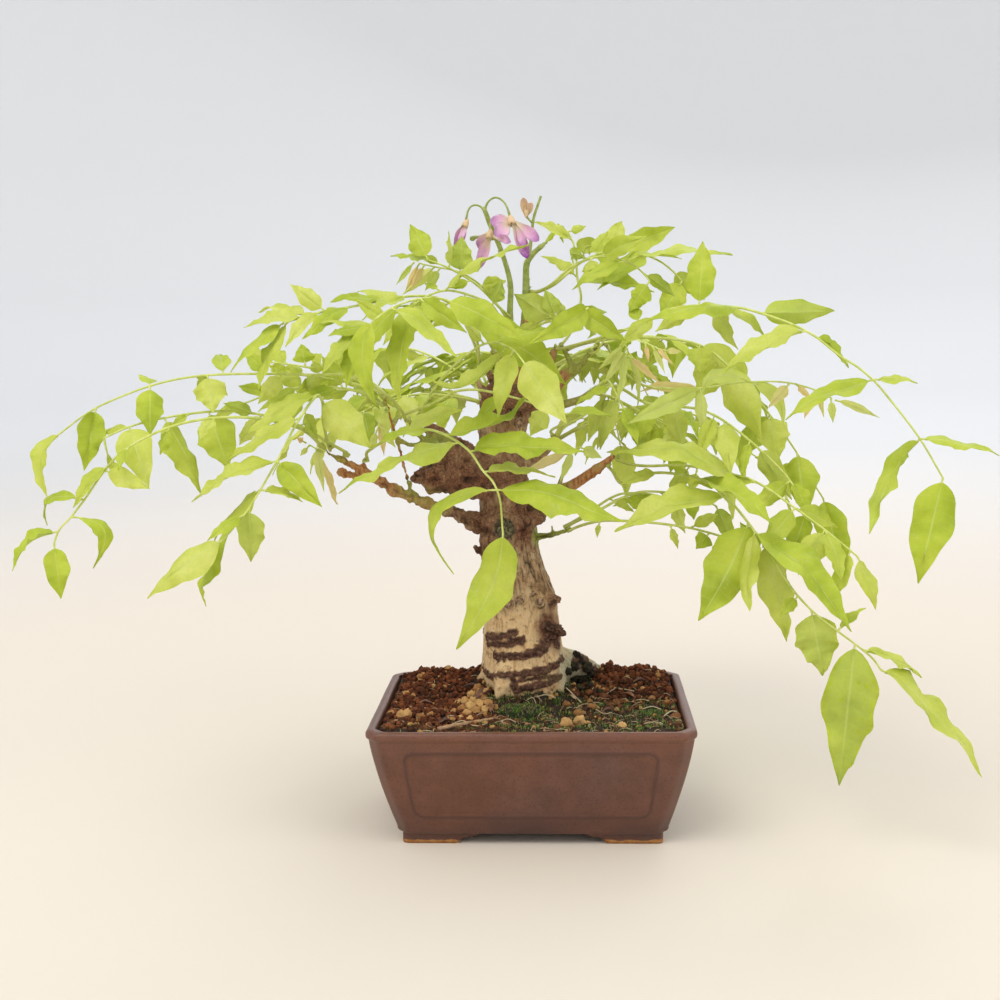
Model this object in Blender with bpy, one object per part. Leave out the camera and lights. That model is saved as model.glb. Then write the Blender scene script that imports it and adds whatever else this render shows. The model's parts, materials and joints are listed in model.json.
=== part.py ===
"""A Japanese wisteria bonsai, rooted in its glazed rectangular pot, in leaf and with a few late flowers.

Lengths are in millimetres while the shapes are worked out, and each mesh is written in metres.
Trunk, twigs, leaves and flowers are placed by where they are seen in a 1000 by 1000 view of the
tree: two pixel numbers and a depth, which is how far behind the pot's middle the point lies.
"""

import math
import random

import bmesh
import bpy
from mathutils import Matrix, Vector, noise
from mathutils.bvhtree import BVHTree

MM = 0.001

# The pot
POT_LENGTH = 173.5
POT_DEPTH = 126.0
POT_HEIGHT = 65.9
POT_TAPER = 15.4
WALL_BOW = 1.35
WALL_LEVELS = (9.0, 17.0, 27.0, 38.0, 50.0)
INNER_LEVELS = (20.0, 34.0, 50.0)
POT_CORNER = 8.5
CORNER_POINTS = 4
POT_WALL = 5.5
POT_FLOOR = 6.0
LIP_DEPTH = 4.2
LIP_PROUD = 1.1
FOOT_HEIGHT = 6.0
FOOT_LENGTH = 29.0
FOOT_STEP_LENGTH = 42.0
FOOT_STEP_HEIGHT = 2.4
FOOT_WIDTH = 9.0
FOOT_CORNER = 2.5
FOOT_SLOPE = 3.0
FEET_LENGTH = 139.4
FEET_DEPTH = 93.0
DRAIN_RADIUS = 7.0
DRAIN_PLACE = 38.0
SCREEN_BARS = (-12.0, 0.0, 12.0)
SCREEN_BAR_WIDTH = 3.6
SCREEN_THICKNESS = 0.9

# The soil
SOIL_EDGE = 61.6
SOIL_MOUND = 3.4
SOIL_MOUND_SPREAD = 27.4
GRAIN_RELIEF = 1.1
GROUND_CELLS_X = 17
GROUND_CELLS_Y = 12
SEAT_GAP = 0.32
HOLE_ROOM = 0.45
MERGE_WITHIN = 1e-6

# The leaves
BLADE_RIB = 1.1
PETIOLE_RADIUS = 1.0
RACHIS_RADIUS = 0.62
LEAFLET_ROOT = 1.7
LONG_LEAFLET = 47.5
PATH_STEPS = 5
BEND_SLACK = 0.5
SEAT_ROOM = 3.4
STEM_ROOM = 0.3
BLADE_ROOM = 0.3
BLADE_WAVE = 0.05

# What a stem or a leaflet may try, in turn, to come clear of the rest: the stem's bulge in depth, the
# leaflet's share of its full length with its extra turn in degrees, and the swing of its tip in depth.
STEM_BULGES = (0, -5, 5, -10, 10, -15, 15, -20, 20)
BLADE_TRIES = ((1, 0), (1, 12), (1, -12), (0.86, 0), (0.86, 20), (0.86, -20), (0.72, 0), (0.6, 0))
TIP_SWINGS = (0, -5, 5, -10, 10, -15, 15, -20, 20, -26, 26, -32, 32)
MOST_STRETCH = 1.35

# A leafy stem that only the back shows: pairs of leaflets by rule, their lengths drawn from this range
PAIR_LENGTHS = (34.0, 47.0)
PAIR_RATIO = 0.38
END_LEAFLET = 46.0

# The view that the pixel numbers belong to
VIEW_FOCAL = 1334.7
VIEW_CENTRE = 500.0
EYE = Vector((19.64, -728.69, 276.61))
VIEW_YAW = math.radians(-2.856)
VIEW_PITCH = math.radians(7.609)
VIEW_ROLL = math.radians(-0.921)

# The trunk and the branches: (pixel x, pixel y, depth, radius)
TRUNK = [
    (527, 728, 28, 19), (526, 690, 28, 26), (523, 660, 28, 24.2), (522, 631, 28, 22.6),
    (521, 600, 28, 21), (515, 575, 28, 18.4), (510, 550, 28, 17), (508, 520, 28, 16.2),
    (504, 490, 28, 14), (502, 460, 28, 13.4), (502, 430, 28, 14), (506, 404, 28, 14.4),
    (508, 386, 27, 10), (504, 374, 26, 5.5),
]
ROOTS = {
    "right": [(550, 664, 32, 12.5), (578, 664, 41, 7.4), (598, 674, 48, 5.2), (614, 687, 53, 3.2)],
    "front": [(506, 668, 10, 7), (500, 688, 3.5, 5), (497, 704, 0, 3)],
    "left": [(500, 672, 28, 9), (484, 684, 30, 6), (474, 698, 32, 3.5)],
    "back": [(532, 660, 42, 9), (541, 673, 49, 5.5), (551, 690, 51, 3)],
}
BRANCHES = {
    "low_left": [(497, 528, 26, 5.4), (478, 521, 22, 5), (452, 512, 14, 4.6), (425, 503, 6, 4.3),
                 (400, 493, 0, 4), (380, 481, -4, 3.8), (364, 471, -7, 3.4)],
    "cut_stub_high": [(372, 475, -5, 3.2), (352, 465, -9, 3), (336, 457, -11, 3)],
    "cut_stub_low": [(376, 480, -4, 3), (352, 475, -1, 2.8), (337, 470, 1, 2.8)],
    "burl_arm": [(494, 482, 26, 12), (470, 481, 22, 11), (450, 480, 18, 9.4), (432, 484, 14, 7),
                 (424, 487, 13, 5)],
    "left_twig_high": [(487, 464, 24, 4.4), (462, 446, 18, 3.8), (440, 432, 12, 3.2), (425, 428, 9, 2.5)],
    "right": [(526, 506, 30, 5.4), (553, 496, 22, 3.9), (578, 482, 18, 3.5), (600, 467, 15, 3),
              (615, 455, 13, 1.6)],
    "right_top": [(536, 404, 32, 6), (556, 386, 30, 4.2), (566, 374, 28, 3.4), (580, 368, 25, 3.2)],
    "right_bud": [(520, 394, 28, 5), (540, 376, 28, 3.6), (551, 362, 26, 3), (555, 348, 25, 2.2)],
    "right_twig": [(540, 410, 30, 4.4), (562, 405, 26, 2.9), (582, 399, 22, 2.5), (598, 386, 19, 1.6)],
    "top_stub": [(508, 382, 26, 7), (518, 358, 25, 4.6), (527, 338, 24, 3.6), (528, 320, 24, 3.3)],
    "back_left": [(503, 444, 36, 8), (499, 432, 52, 5), (490, 414, 66, 3.8), (484, 396, 76, 2.6)],
    "back_right": [(512, 412, 36, 8), (524, 402, 52, 4.8), (538, 388, 68, 3.6), (545, 371, 80, 2.4)],
    "back_low": [(508, 472, 38, 7), (524, 466, 54, 4.6), (544, 452, 68, 3.4), (558, 438, 78, 2.4)],
}
TWIGS = {
    "spur_low_left": [(338, 459, -11, 2.2), (327, 452, -11, 1.9), (323, 445, -12, 1.3)],
    "spur_low_mid": [(352, 468, -8, 2.2), (351, 459, -9, 1.6)],
    "spur_low_right": [(366, 472, -7, 2.4), (364, 461, -8, 1.6)],
    "left_riser": [(414, 499, 4, 2.2), (405, 471, 3, 1.7), (399, 447, 2, 1.5), (391, 420, 1, 1.3),
                   (385, 398, 0, 1.1)],
    "left_twig_low": [(474, 454, 18, 3.4), (447, 441, 12, 2.6), (426, 432, 7, 2.1)],
    "left_spur": [(446, 440, 11, 2.4), (428, 443, 6, 2.6), (417, 433, 1, 2.2), (409, 421, -3, 1.8)],
    "left_bud": [(428, 445, 5, 2.4), (436, 444, 3, 3.2), (442, 447, 3, 1.5)],
    "left_spur_tip": [(422, 445, 4, 2.2), (408, 445, 2, 1.9), (398, 438, 0, 1.4)],
    "under_spur": [(480, 532, 20, 3), (468, 526, 13, 2.6), (457, 520, 9, 1.8)],
    "side_stub": [(484, 552, 24, 3), (474, 547, 20, 1.8)],
    "low_right_shoot": [(530, 538, 26, 2.8), (552, 535, 18, 2.1), (568, 530, 11, 1.7)],
    "low_right_spur": [(553, 535, 18, 1.4), (552, 525, 17, 0.9)],
    "right_shoot_up": [(574, 370, 26, 2.6), (568, 357, 24, 2.2), (563, 348, 23, 1.7)],
    "right_shoot_out": [(578, 369, 25, 2.4), (590, 352, 22, 1.9), (605, 343, 21, 1.5)],
    "right_spur": [(556, 495, 20, 2.4), (561, 480, 13, 1.8), (566, 462, 8, 1.3)],
    "crown_left": [(500, 386, 24, 4), (490, 376, 17, 2.6), (486, 364, 14, 1.9)],
    "crown_low_left": [(492, 400, 18, 3.4), (483, 392, 12, 2.6), (478, 381, 9, 1.9)],
    "crown_orange": [(512, 380, 22, 4), (505, 366, 17, 3), (492, 351, 12, 1.8)],
    "flower_shoot": [(514, 364, 28, 3.2), (511, 335, 29, 2.5), (510, 312, 29, 2.2)],
    "flower_shoot_right": [(522, 346, 30, 3.4), (525, 315, 33, 2.9), (526, 290, 34, 2.4)],
}
# Knobs and burrs: (pixel x, pixel y, depth, radius)
KNOBS = [
    (438, 463, 13, 7.5), (452, 467, 16, 12), (470, 464, 19, 13), (487, 466, 22, 12), (419, 475, 12, 5.4),
    (430, 474, 12, 7.4), (460, 449, 14, 5.4), (446, 478, 6, 4.6), (493, 453, 18, 6.5), (490, 396, 20, 6.5),
    (500, 384, 20, 6), (518, 398, 17, 8.5), (534, 406, 24, 8), (543, 401, 29, 5), (526, 416, 18, 5),
    (537, 517, 20, 6), (526, 524, 14, 5), (490, 521, 15, 5.5), (489, 541, 15, 5), (557, 629, 12, 6),
    (563, 634, 17, 4.5), (556, 601, 16, 4.8), (541, 603, 9, 3.4), (508, 604, 8, 3.4), (516, 422, 13, 4),
]
# Raised flakes of bark round the foot: the pixels that each passes over, and its radius
BARK_RIDGES = [
    ([(480, 638), (494, 636), (508, 639), (520, 638)], 2.0),
    ([(494, 655), (512, 655), (530, 652), (546, 645), (558, 640)], 2.3),
    ([(484, 673), (505, 674), (525, 674), (545, 671), (562, 662)], 2.1),
    ([(510, 686), (526, 687), (542, 684), (556, 680)], 1.9),
]
CUT_SCAR = (506, 528, 7.2, 2.3)

# Compound leaves. "stem" runs from the wood to the last leaflet: (pixel x, pixel y, depth).
# "leaves": (pixel x, y on the stem, pixel x, y of the tip, width seen in pixels, tip's depth past
# its root's, and the pixel x, y that a bent one passes over).
FRONDS = {
    "far_left_high": {
        "stem": [(408, 420, -3), (388, 396, -8), (352, 376, -14), (312, 375, -20), (275, 374, -24),
                 (232, 374, -28), (191, 377, -30), (150, 386, -32), (96, 408, -34), (62, 432, -36)],
        "leaves": [(62, 432, 47, 497, 14, -6, 41, 460), (98, 408, 84, 471, 30, -8),
                   (150, 387, 150, 436, 29, -12), (147, 386, 142, 376, 12, 24),
                   (206, 373, 213, 413, 34, -12), (226, 373, 220, 354, 20, 20),
                   (205, 374, 197, 387, 14, 12), (282, 374, 258, 404, 20, -8),
                   (270, 374, 246, 352, 18, 8), (320, 375, 296, 395, 16, 14)],
    },
    "far_left_mid": {
        "stem": [(351, 457, -9), (326, 441, -13), (300, 426, -18), (262, 415, -24), (228, 411, -28),
                 (196, 413, -32), (164, 418, -36), (129, 427, -40), (104, 438, -42)],
        "leaves": [(104, 438, 131, 440, 9, -4, 116, 468), (129, 427, 149, 488, 36, -12),
                   (129, 427, 84, 441, 8, -4), (106, 437, 103, 506, 8, 6), (162, 419, 202, 497, 26, -4),
                   (188, 414, 170, 428, 9, -8), (208, 412, 229, 470, 41, -12),
                   (255, 413, 223, 403, 14, -14), (262, 415, 240, 445, 16, 16),
                   (300, 426, 322, 419, 7, 14)],
    },
    "far_left_low": {
        "stem": [(325, 447, -13), (303, 430, -26), (262, 419, -38), (215, 418, -48), (170, 427, -56),
                 (129, 447, -62), (109, 465, -65), (88, 495, -67), (71, 517, -69), (58, 532, -70),
                 (54, 544, -71)],
        "leaves": [(54, 544, 61, 599, 27, -4), (58, 532, 12, 571, 9, -6, 30, 542),
                   (71, 517, 93, 569, 17, -4, 104, 531), (77, 498, 47, 526, 9, 4, 50, 499),
                   (109, 466, 73, 508, 13, -5), (110, 471, 150, 489, 19, -4), (131, 446, 118, 470, 10, 8),
                   (170, 427, 160, 455, 14, 18), (215, 418, 200, 440, 16, 20)],
    },
    "left_front": {
        "stem": [(324, 447, -14), (323, 420, -22), (320, 394, -32), (300, 418, -46), (277, 461, -58),
                 (249, 508, -70), (223, 540, -78)],
        "leaves": [(223, 540, 147, 599, 28, -8), (247, 511, 251, 562, 31, -6),
                   (243, 512, 207, 541, 13, -10), (230, 530, 206, 607, 9, 14, 204, 570),
                   (270, 463, 191, 502, 14, -12), (277, 460, 322, 507, 29, -8),
                   (262, 487, 303, 502, 9, 6), (258, 491, 213, 545, 11, 14),
                   (297, 420, 224, 466, 17, -10), (318, 400, 372, 449, 38, -14),
                   (318, 396, 247, 433, 20, -6), (305, 412, 318, 440, 14, 14)],
    },
    "left_inner": {
        "stem": [(386, 399, 1), (366, 384, 6), (345, 376, 10), (325, 371, 14), (300, 366, 18),
                 (268, 362, 22)],
        "leaves": [(268, 362, 243, 350, 18, 6), (345, 376, 344, 343, 14, 6), (308, 368, 301, 344, 21, 6),
                   (300, 366, 266, 388, 17, -10), (286, 364, 273, 350, 14, 8),
                   (330, 372, 318, 398, 16, 10), (366, 384, 380, 410, 12, 10)],
    },
    "left_inner_low": {
        "stem": [(386, 403, 2), (362, 393, -1), (338, 388, -4), (305, 387, -7), (272, 393, -10),
                 (248, 402, -12)],
        "leaves": [(248, 402, 212, 420, 12, -4), (272, 393, 238, 386, 14, 6), (303, 387, 270, 370, 15, 8),
                   (296, 389, 258, 412, 14, -8), (338, 388, 300, 403, 13, -8),
                   (345, 389, 322, 356, 19, 8)],
    },
    "left_high": {
        "stem": [(487, 372, 15), (470, 332, 6), (448, 302, -4), (414, 296, -12), (380, 301, -19),
                 (350, 307, -25), (325, 311, -28), (303, 317, -31), (284, 323, -34)],
        "leaves": [(284, 323, 230, 373, 13, -10), (288, 322, 258, 390, 14, -12),
                   (303, 317, 243, 327, 13, 4), (306, 316, 258, 312, 9, 12), (325, 310, 290, 284, 20, 6),
                   (322, 312, 285, 347, 14, -10), (352, 307, 302, 339, 17, -12),
                   (385, 301, 330, 302, 9, -8), (400, 298, 357, 292, 9, 10),
                   (405, 297, 362, 320, 12, -10), (430, 297, 404, 318, 14, 8)],
    },
    "front_high": {
        "stem": [(494, 354, 12), (484, 334, -2), (468, 314, -20), (446, 300, -42), (420, 299, -62),
                 (396, 306, -82), (374, 320, -98)],
        "leaves": [(374, 320, 376, 405, 27, -6, 362, 358), (470, 316, 566, 384, 38, -14),
                   (444, 300, 524, 340, 29, -6), (418, 300, 467, 333, 24, -12),
                   (392, 309, 457, 358, 17, -10), (414, 301, 398, 402, 25, -6),
                   (390, 310, 388, 392, 16, 10), (400, 304, 352, 372, 17, -4),
                   (448, 302, 408, 338, 16, 12)],
    },
    "crown_left_up": {
        "stem": [(510, 318, 28), (500, 308, 18), (478, 286, 8), (460, 274, 2), (442, 265, -4),
                 (428, 260, -8)],
        "leaves": [(428, 260, 410, 224, 25, 4), (442, 265, 390, 256, 9, -12), (461, 274, 462, 236, 25, 0),
                   (448, 268, 448, 231, 8, 12), (480, 287, 506, 281, 17, 8),
                   (470, 280, 448, 288, 10, -8)],
    },
    "crown_left_young": {
        "young": True,
        "stem": [(509, 322, 30), (490, 294, 24), (464, 274, 16), (440, 268, 10), (414, 262, 6)],
        "leaves": [(414, 262, 396, 285, 6, -3), (417, 262, 405, 292, 7, 3), (424, 264, 411, 290, 8, -5),
                   (434, 267, 402, 295, 13, 6), (441, 268, 425, 291, 11, -5)],
    },
    "crown_front_sweep": {
        "stem": [(508, 326, 22), (492, 306, 10), (466, 294, 0), (440, 291, -8), (416, 303, -14)],
        "leaves": [(444, 291, 529, 244, 8, -22), (416, 303, 398, 320, 10, -3),
                   (492, 306, 502, 280, 18, 4), (466, 294, 452, 322, 16, -8), (440, 291, 424, 283, 7, 8)],
    },
    "centre_front": {
        "stem": [(364, 461, -9), (374, 447, -17), (400, 434, -28), (431, 430, -36), (465, 447, -46),
                 (484, 472, -52), (497, 490, -55), (503, 533, -58)],
        "leaves": [(503, 533, 456, 650, 42, -8, 490, 590), (499, 490, 625, 522, 30, -14),
                   (496, 489, 454, 575, 16, -10, 434, 512), (470, 450, 585, 452, 26, -8),
                   (460, 446, 338, 494, 17, -16), (408, 432, 463, 411, 15, -4, 434, 415),
                   (446, 434, 530, 392, 16, -4, 492, 424), (428, 430, 370, 446, 10, -8),
                   (484, 473, 556, 477, 10, 12)],
    },
    "centre_sweep": {
        "stem": [(412, 419, -5), (444, 376, -14), (484, 344, -26), (510, 348, -38), (522, 360, -48)],
        "leaves": [(522, 360, 567, 424, 40, -14), (505, 346, 432, 380, 12, -12, 470, 384),
                   (514, 351, 498, 418, 24, -6), (484, 344, 462, 320, 12, -8),
                   (495, 344, 558, 330, 16, 14)],
    },
    "centre_right": {
        "stem": [(410, 421, -3), (436, 402, -10), (462, 390, -14), (500, 394, -18), (535, 404, -22),
                 (566, 414, -26)],
        "leaves": [(566, 414, 613, 417, 10, -6), (545, 407, 530, 436, 22, -4),
                   (564, 413, 578, 448, 19, -4), (500, 394, 476, 428, 14, -6),
                   (520, 400, 548, 388, 12, 10)],
    },
    "crown_front": {
        "stem": [(527, 332, 22), (538, 322, 12), (552, 318, 2), (572, 312, -8), (588, 308, -14)],
        "leaves": [(588, 308, 529, 344, 26, -12), (552, 318, 514, 294, 29, -4),
                   (556, 317, 545, 289, 18, 4), (570, 312, 607, 312, 14, 6), (580, 310, 626, 341, 22, -8),
                   (540, 321, 508, 344, 14, 6)],
    },
    "top_riser": {
        "stem": [(553, 350, 27), (572, 330, 34), (581, 301, 38), (577, 277, 41), (572, 240, 45),
                 (559, 224, 47)],
        "leaves": [(577, 281, 655, 292, 14, -8), (576, 278, 541, 256, 11, -6),
                   (573, 242, 534, 222, 13, -6), (567, 230, 586, 226, 9, 8), (559, 224, 544, 247, 5, -4),
                   (563, 227, 563, 243, 4, 4)],
    },
    "top_right": {
        "stem": [(526, 292, 32), (536, 292, 34), (551, 286, 36), (580, 263, 40), (600, 254, 43),
                 (618, 250, 45), (648, 256, 47), (667, 266, 48), (682, 281, 48)],
        "leaves": [(583, 262, 611, 253, 19, -6, 588, 246), (608, 252, 611, 272, 24, -12),
                   (610, 251, 622, 221, 22, 8), (619, 250, 675, 227, 25, 6), (648, 256, 733, 255, 8, -6),
                   (650, 257, 597, 290, 21, -10), (682, 281, 660, 318, 27, -6),
                   (672, 270, 705, 300, 18, 10)],
    },
    "right_reach": {
        "stem": [(556, 350, 24), (600, 338, 12), (640, 324, 4), (675, 308, -4), (715, 306, -12),
                 (750, 310, -18), (806, 331, -28), (840, 356, -34), (873, 380, -38), (920, 439, -44),
                 (943, 478, -47)],
        "leaves": [(943, 478, 918, 584, 45, -6), (921, 440, 869, 534, 18, -6, 890, 478),
                   (922, 440, 1000, 456, 9, -4), (873, 380, 785, 420, 20, -8),
                   (875, 382, 918, 383, 8, -4), (808, 332, 722, 374, 20, -10), (817, 338, 849, 368, 7, 4),
                   (758, 312, 835, 311, 31, 14), (745, 309, 646, 321, 12, -14),
                   (698, 307, 703, 241, 30, 8), (690, 308, 655, 332, 18, -10), (722, 307, 766, 338, 9, 8),
                   (655, 318, 618, 348, 18, -10), (640, 324, 630, 302, 14, 8),
                   (715, 306, 738, 350, 18, 14)],
    },
    "right_young_high": {
        "young": True,
        "stem": [(604, 343, 20), (640, 384, 8), (700, 388, -4), (750, 382, -12), (790, 383, -18),
                 (815, 390, -22), (835, 400, -26)],
        "leaves": [(835, 400, 880, 418, 9, -4), (790, 383, 768, 408, 12, -4), (794, 384, 812, 400, 7, 6),
                   (816, 391, 804, 419, 9, -4), (820, 393, 824, 418, 6, 6), (830, 398, 833, 423, 8, -4),
                   (752, 382, 783, 427, 14, -6, 776, 398), (748, 382, 701, 396, 16, -10, 716, 376),
                   (702, 388, 627, 424, 22, -10), (698, 388, 636, 392, 11, 6),
                   (705, 388, 703, 432, 13, 4)],
    },
    "right_drape_back": {
        "stem": [(564, 348, 25), (620, 338, 32), (690, 342, 35), (728, 366, 37), (770, 415, 39),
                 (797, 453, 40), (823, 498, 41)],
        "leaves": [(823, 498, 845, 578, 33, -8), (797, 453, 806, 516, 35, -8),
                   (800, 458, 762, 500, 24, 12), (818, 490, 868, 604, 20, 10, 858, 545),
                   (770, 415, 778, 462, 34, -10), (730, 368, 762, 440, 36, -8),
                   (726, 364, 690, 400, 24, 12), (696, 344, 700, 372, 26, -8),
                   (700, 346, 752, 384, 22, 14), (660, 338, 640, 372, 22, 14),
                   (768, 412, 735, 460, 26, 12)],
    },
    "right_drape_mid": {
        "stem": [(598, 387, 18), (650, 404, 6), (705, 411, -3), (750, 441, -11), (790, 481, -17),
                 (806, 512, -21)],
        "leaves": [(806, 512, 790, 562, 26, -6), (712, 414, 697, 460, 18, -8),
                   (728, 424, 731, 475, 24, -10), (752, 443, 742, 480, 14, -12),
                   (755, 446, 792, 500, 24, 8), (786, 478, 748, 512, 20, -8),
                   (788, 480, 812, 520, 16, 10), (668, 407, 684, 450, 24, 10),
                   (650, 404, 640, 440, 20, -8)],
    },
    "right_pale": {
        "stem": [(614, 456, 12), (650, 463, 4), (690, 466, -6), (735, 475, -16), (758, 483, -22),
                 (795, 508, -32), (825, 530, -40), (857, 556, -46)],
        "leaves": [(857, 556, 876, 610, 16, -4), (853, 553, 833, 603, 18, -8),
                   (825, 531, 798, 575, 26, -6), (828, 532, 842, 582, 18, 8),
                   (795, 508, 762, 548, 25, -8), (797, 510, 838, 528, 18, 10),
                   (757, 482, 692, 484, 14, 8), (735, 475, 606, 452, 13, -14, 672, 452),
                   (690, 466, 668, 500, 16, 12)],
    },
    "right_low_sweep": {
        "stem": [(606, 463, 14), (622, 484, 8), (650, 473, -2), (697, 478, -16), (726, 497, -26),
                 (755, 532, -38), (798, 596, -54), (830, 625, -62), (869, 655, -68), (881, 670, -70)],
        "leaves": [(881, 670, 982, 778, 20, -8, 938, 712), (858, 647, 839, 786, 56, -8),
                   (862, 650, 922, 678, 9, 6), (757, 534, 852, 632, 25, -12),
                   (748, 524, 698, 621, 50, -10, 726, 575), (752, 528, 749, 624, 24, 10),
                   (764, 545, 787, 642, 29, 4), (697, 478, 786, 532, 12, -12),
                   (814, 612, 823, 676, 46, -8), (798, 596, 779, 617, 14, -8), (842, 634, 866, 608, 9, 8),
                   (726, 496, 614, 532, 30, -16), (655, 473, 620, 485, 12, -6)],
    },
    "right_low_under": {
        "stem": [(568, 530, 11), (600, 521, 2), (640, 522, -6), (690, 528, -16), (737, 542, -26),
                 (775, 561, -34)],
        "leaves": [(775, 561, 788, 606, 16, -4), (708, 533, 696, 549, 20, -6),
                   (737, 542, 708, 568, 26, 8), (672, 526, 678, 549, 8, -4), (600, 521, 597, 538, 6, -4),
                   (757, 551, 740, 522, 18, 8), (690, 528, 718, 514, 14, 8)],
    },
    "right_low_thin": {
        "stem": [(569, 529, 12), (603, 508, 16), (640, 492, 18), (690, 496, 20), (716, 506, 21)],
        "leaves": [(716, 506, 734, 545, 18, 4), (624, 498, 653, 515, 12, -6),
                   (690, 496, 634, 506, 12, -6), (690, 496, 694, 520, 16, 8), (655, 492, 672, 503, 9, 6)],
    },
    "right_young_cluster": {
        "young": True,
        "stem": [(604, 342, 22), (614, 333, 14), (624, 338, 7), (628, 356, 1)],
        "leaves": [(628, 356, 661, 385, 8, -4), (628, 357, 645, 400, 8, 4), (626, 349, 638, 407, 7, -8),
                   (627, 352, 619, 409, 9, -4), (625, 346, 598, 370, 8, 4), (626, 350, 604, 384, 10, -8)],
    },
    "right_young_front": {
        "young": True,
        "stem": [(590, 352, 21), (610, 334, 12), (628, 330, 6), (644, 342, 0), (662, 350, -8)],
        "leaves": [(662, 350, 682, 352, 7, -3), (650, 346, 665, 374, 6, -4), (656, 348, 673, 366, 5, 4),
                   (644, 343, 649, 363, 5, -4), (632, 333, 716, 326, 12, -10, 672, 320)],
    },
    "right_dark": {
        "stem": [(597, 386, 17), (606, 380, 10), (612, 386, 4), (622, 405, -4)],
        "leaves": [(622, 405, 638, 447, 14, -6), (612, 387, 575, 406, 9, -8),
                   (618, 398, 600, 450, 18, 12)],
    },
    "right_shade": {
        "stem": [(596, 389, 20), (625, 404, 20), (663, 424, 18), (690, 447, 16), (697, 470, 14)],
        "leaves": [(697, 470, 690, 494, 12, -4), (691, 448, 664, 442, 24, -8),
                   (663, 424, 656, 452, 10, -6), (640, 412, 640, 452, 22, 10),
                   (605, 393, 597, 450, 20, 12), (663, 424, 690, 420, 16, 10)],
    },
    "right_spur_young": {
        "young": True,
        "stem": [(566, 462, 7), (570, 452, 2), (580, 447, -4)],
        "leaves": [(580, 447, 602, 458, 12, -4), (569, 453, 524, 474, 10, -6, 545, 462),
                   (573, 450, 560, 482, 9, -4)],
    },
    "left_riser_young": {
        "young": True,
        "stem": [(388, 408, 0), (381, 418, -6), (377, 430, -10)],
        "leaves": [(377, 430, 370, 452, 9, -3), (380, 421, 384, 456, 8, -4), (379, 425, 396, 448, 9, 5)],
    },
    "left_spur_young": {
        "young": True,
        "stem": [(322, 452, -11), (315, 448, -10), (306, 443, -8)],
        "leaves": [(306, 443, 297, 438, 6, -3), (310, 445, 300, 456, 6, -4), (316, 449, 324, 492, 10, -4),
                   (318, 450, 338, 504, 8, 3, 330, 485)],
    },
    "back_left_far": {
        "stem": [(483, 397, 77), (458, 372, 96), (415, 350, 120), (370, 352, 142), (328, 374, 158)],
        "pairs": 5,
    },
    "back_left_near": {
        "stem": [(485, 402, 73), (452, 394, 84), (410, 390, 94), (360, 400, 98), (318, 420, 98)],
        "pairs": 5,
    },
    "back_left_deep": {
        "stem": [(486, 396, 78), (482, 374, 104), (472, 362, 134), (460, 368, 162), (450, 388, 186)],
        "pairs": 5,
    },
    "back_middle": {
        "stem": [(544, 372, 82), (544, 354, 110), (540, 347, 140), (532, 354, 170), (526, 376, 194)],
        "pairs": 5,
    },
    "back_right_far": {
        "stem": [(547, 371, 80), (590, 348, 98), (642, 336, 118), (692, 346, 138), (733, 372, 154)],
        "pairs": 5,
    },
    "back_right_deep": {
        "stem": [(547, 375, 81), (572, 360, 108), (602, 356, 138), (630, 368, 166), (647, 394, 188)],
        "pairs": 5,
    },
    "back_right_near": {
        "stem": [(558, 439, 78), (606, 414, 90), (658, 406, 98), (710, 422, 100), (752, 454, 98)],
        "pairs": 5,
    },
    "back_low_deep": {
        "stem": [(556, 439, 79), (580, 418, 106), (600, 408, 132), (614, 420, 156), (620, 444, 174)],
        "pairs": 4,
    },
}
LEAFLET_RATIO = 0.36
YOUNG_RATIO = 0.2

# Flowers: a calyx, then petals from root to tip: (pixel x, y, depth, pixel x, y, depth, width, thickness)
FLOWER_STEMS = {
    "raceme_left": [
        [(510, 310, 29, 2.1), (511, 285, 29, 1.9), (500, 250, 28, 1.5), (490, 226, 27, 1.3),
         (484, 210, 26, 1.1)],
        [(484, 211, 26, 0.8), (476, 205, 24, 0.6), (468, 211, 22, 0.6), (466, 219, 21, 0.6)],
        [(485, 212, 26, 0.8), (490, 200, 25, 0.6), (499, 198, 23, 0.6), (507, 205, 20, 0.6),
         (509, 216, 18, 0.6)],
        [(492, 231, 27, 0.9), (491, 224, 20, 0.6), (490, 231, 16, 0.6)],
        [(496, 240, 27, 1), (484, 238, 26, 0.9), (471, 238, 25, 1.6)],
    ],
    "raceme_right": [
        [(526, 288, 34, 2.2), (526, 262, 33, 2), (535, 252, 33, 1.4), (544, 245, 34, 0.9)],
        [(527, 264, 33, 1.4), (531, 240, 36, 1), (532, 222, 36, 0.9), (541, 196, 36, 0.7)],
        [(532, 223, 36, 0.8), (528, 220, 34, 0.6), (526, 217, 33, 0.6)],
    ],
}
BLOOMS = {
    "bud_left": {"colour": "lilac", "calyx": (466, 223, 21, 2.4),
                 "petals": [(466, 222, 21, 455, 251, 18, 6, 4.4)]},
    "bloom_low": {"colour": "lilac", "calyx": (490, 234, 15, 2.6),
                  "petals": [(490, 236, 15, 477, 270, 9, 7, 4.6), (488, 233, 15, 478, 248, 22, 8, 1.4),
                             (492, 236, 14, 511, 242, 7, 6, 1.2)]},
    "bloom_high": {"colour": "lilac", "calyx": (511, 220, 17, 3),
                   "petals": [(510, 223, 16, 496, 236, 9, 10, 1.6), (511, 221, 18, 490, 221, 15, 9, 1.4),
                              (514, 223, 16, 528, 259, 8, 8, 5.2), (516, 222, 17, 539, 241, 14, 8, 1.5)]},
    "bud_peach": {"colour": "peach", "calyx": (526, 214, 33, 1.8),
                  "petals": [(526, 215, 33, 523, 198, 33, 4.2, 3),
                             (527, 215, 34, 531, 204, 37, 3.6, 2.6)]},
}

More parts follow.
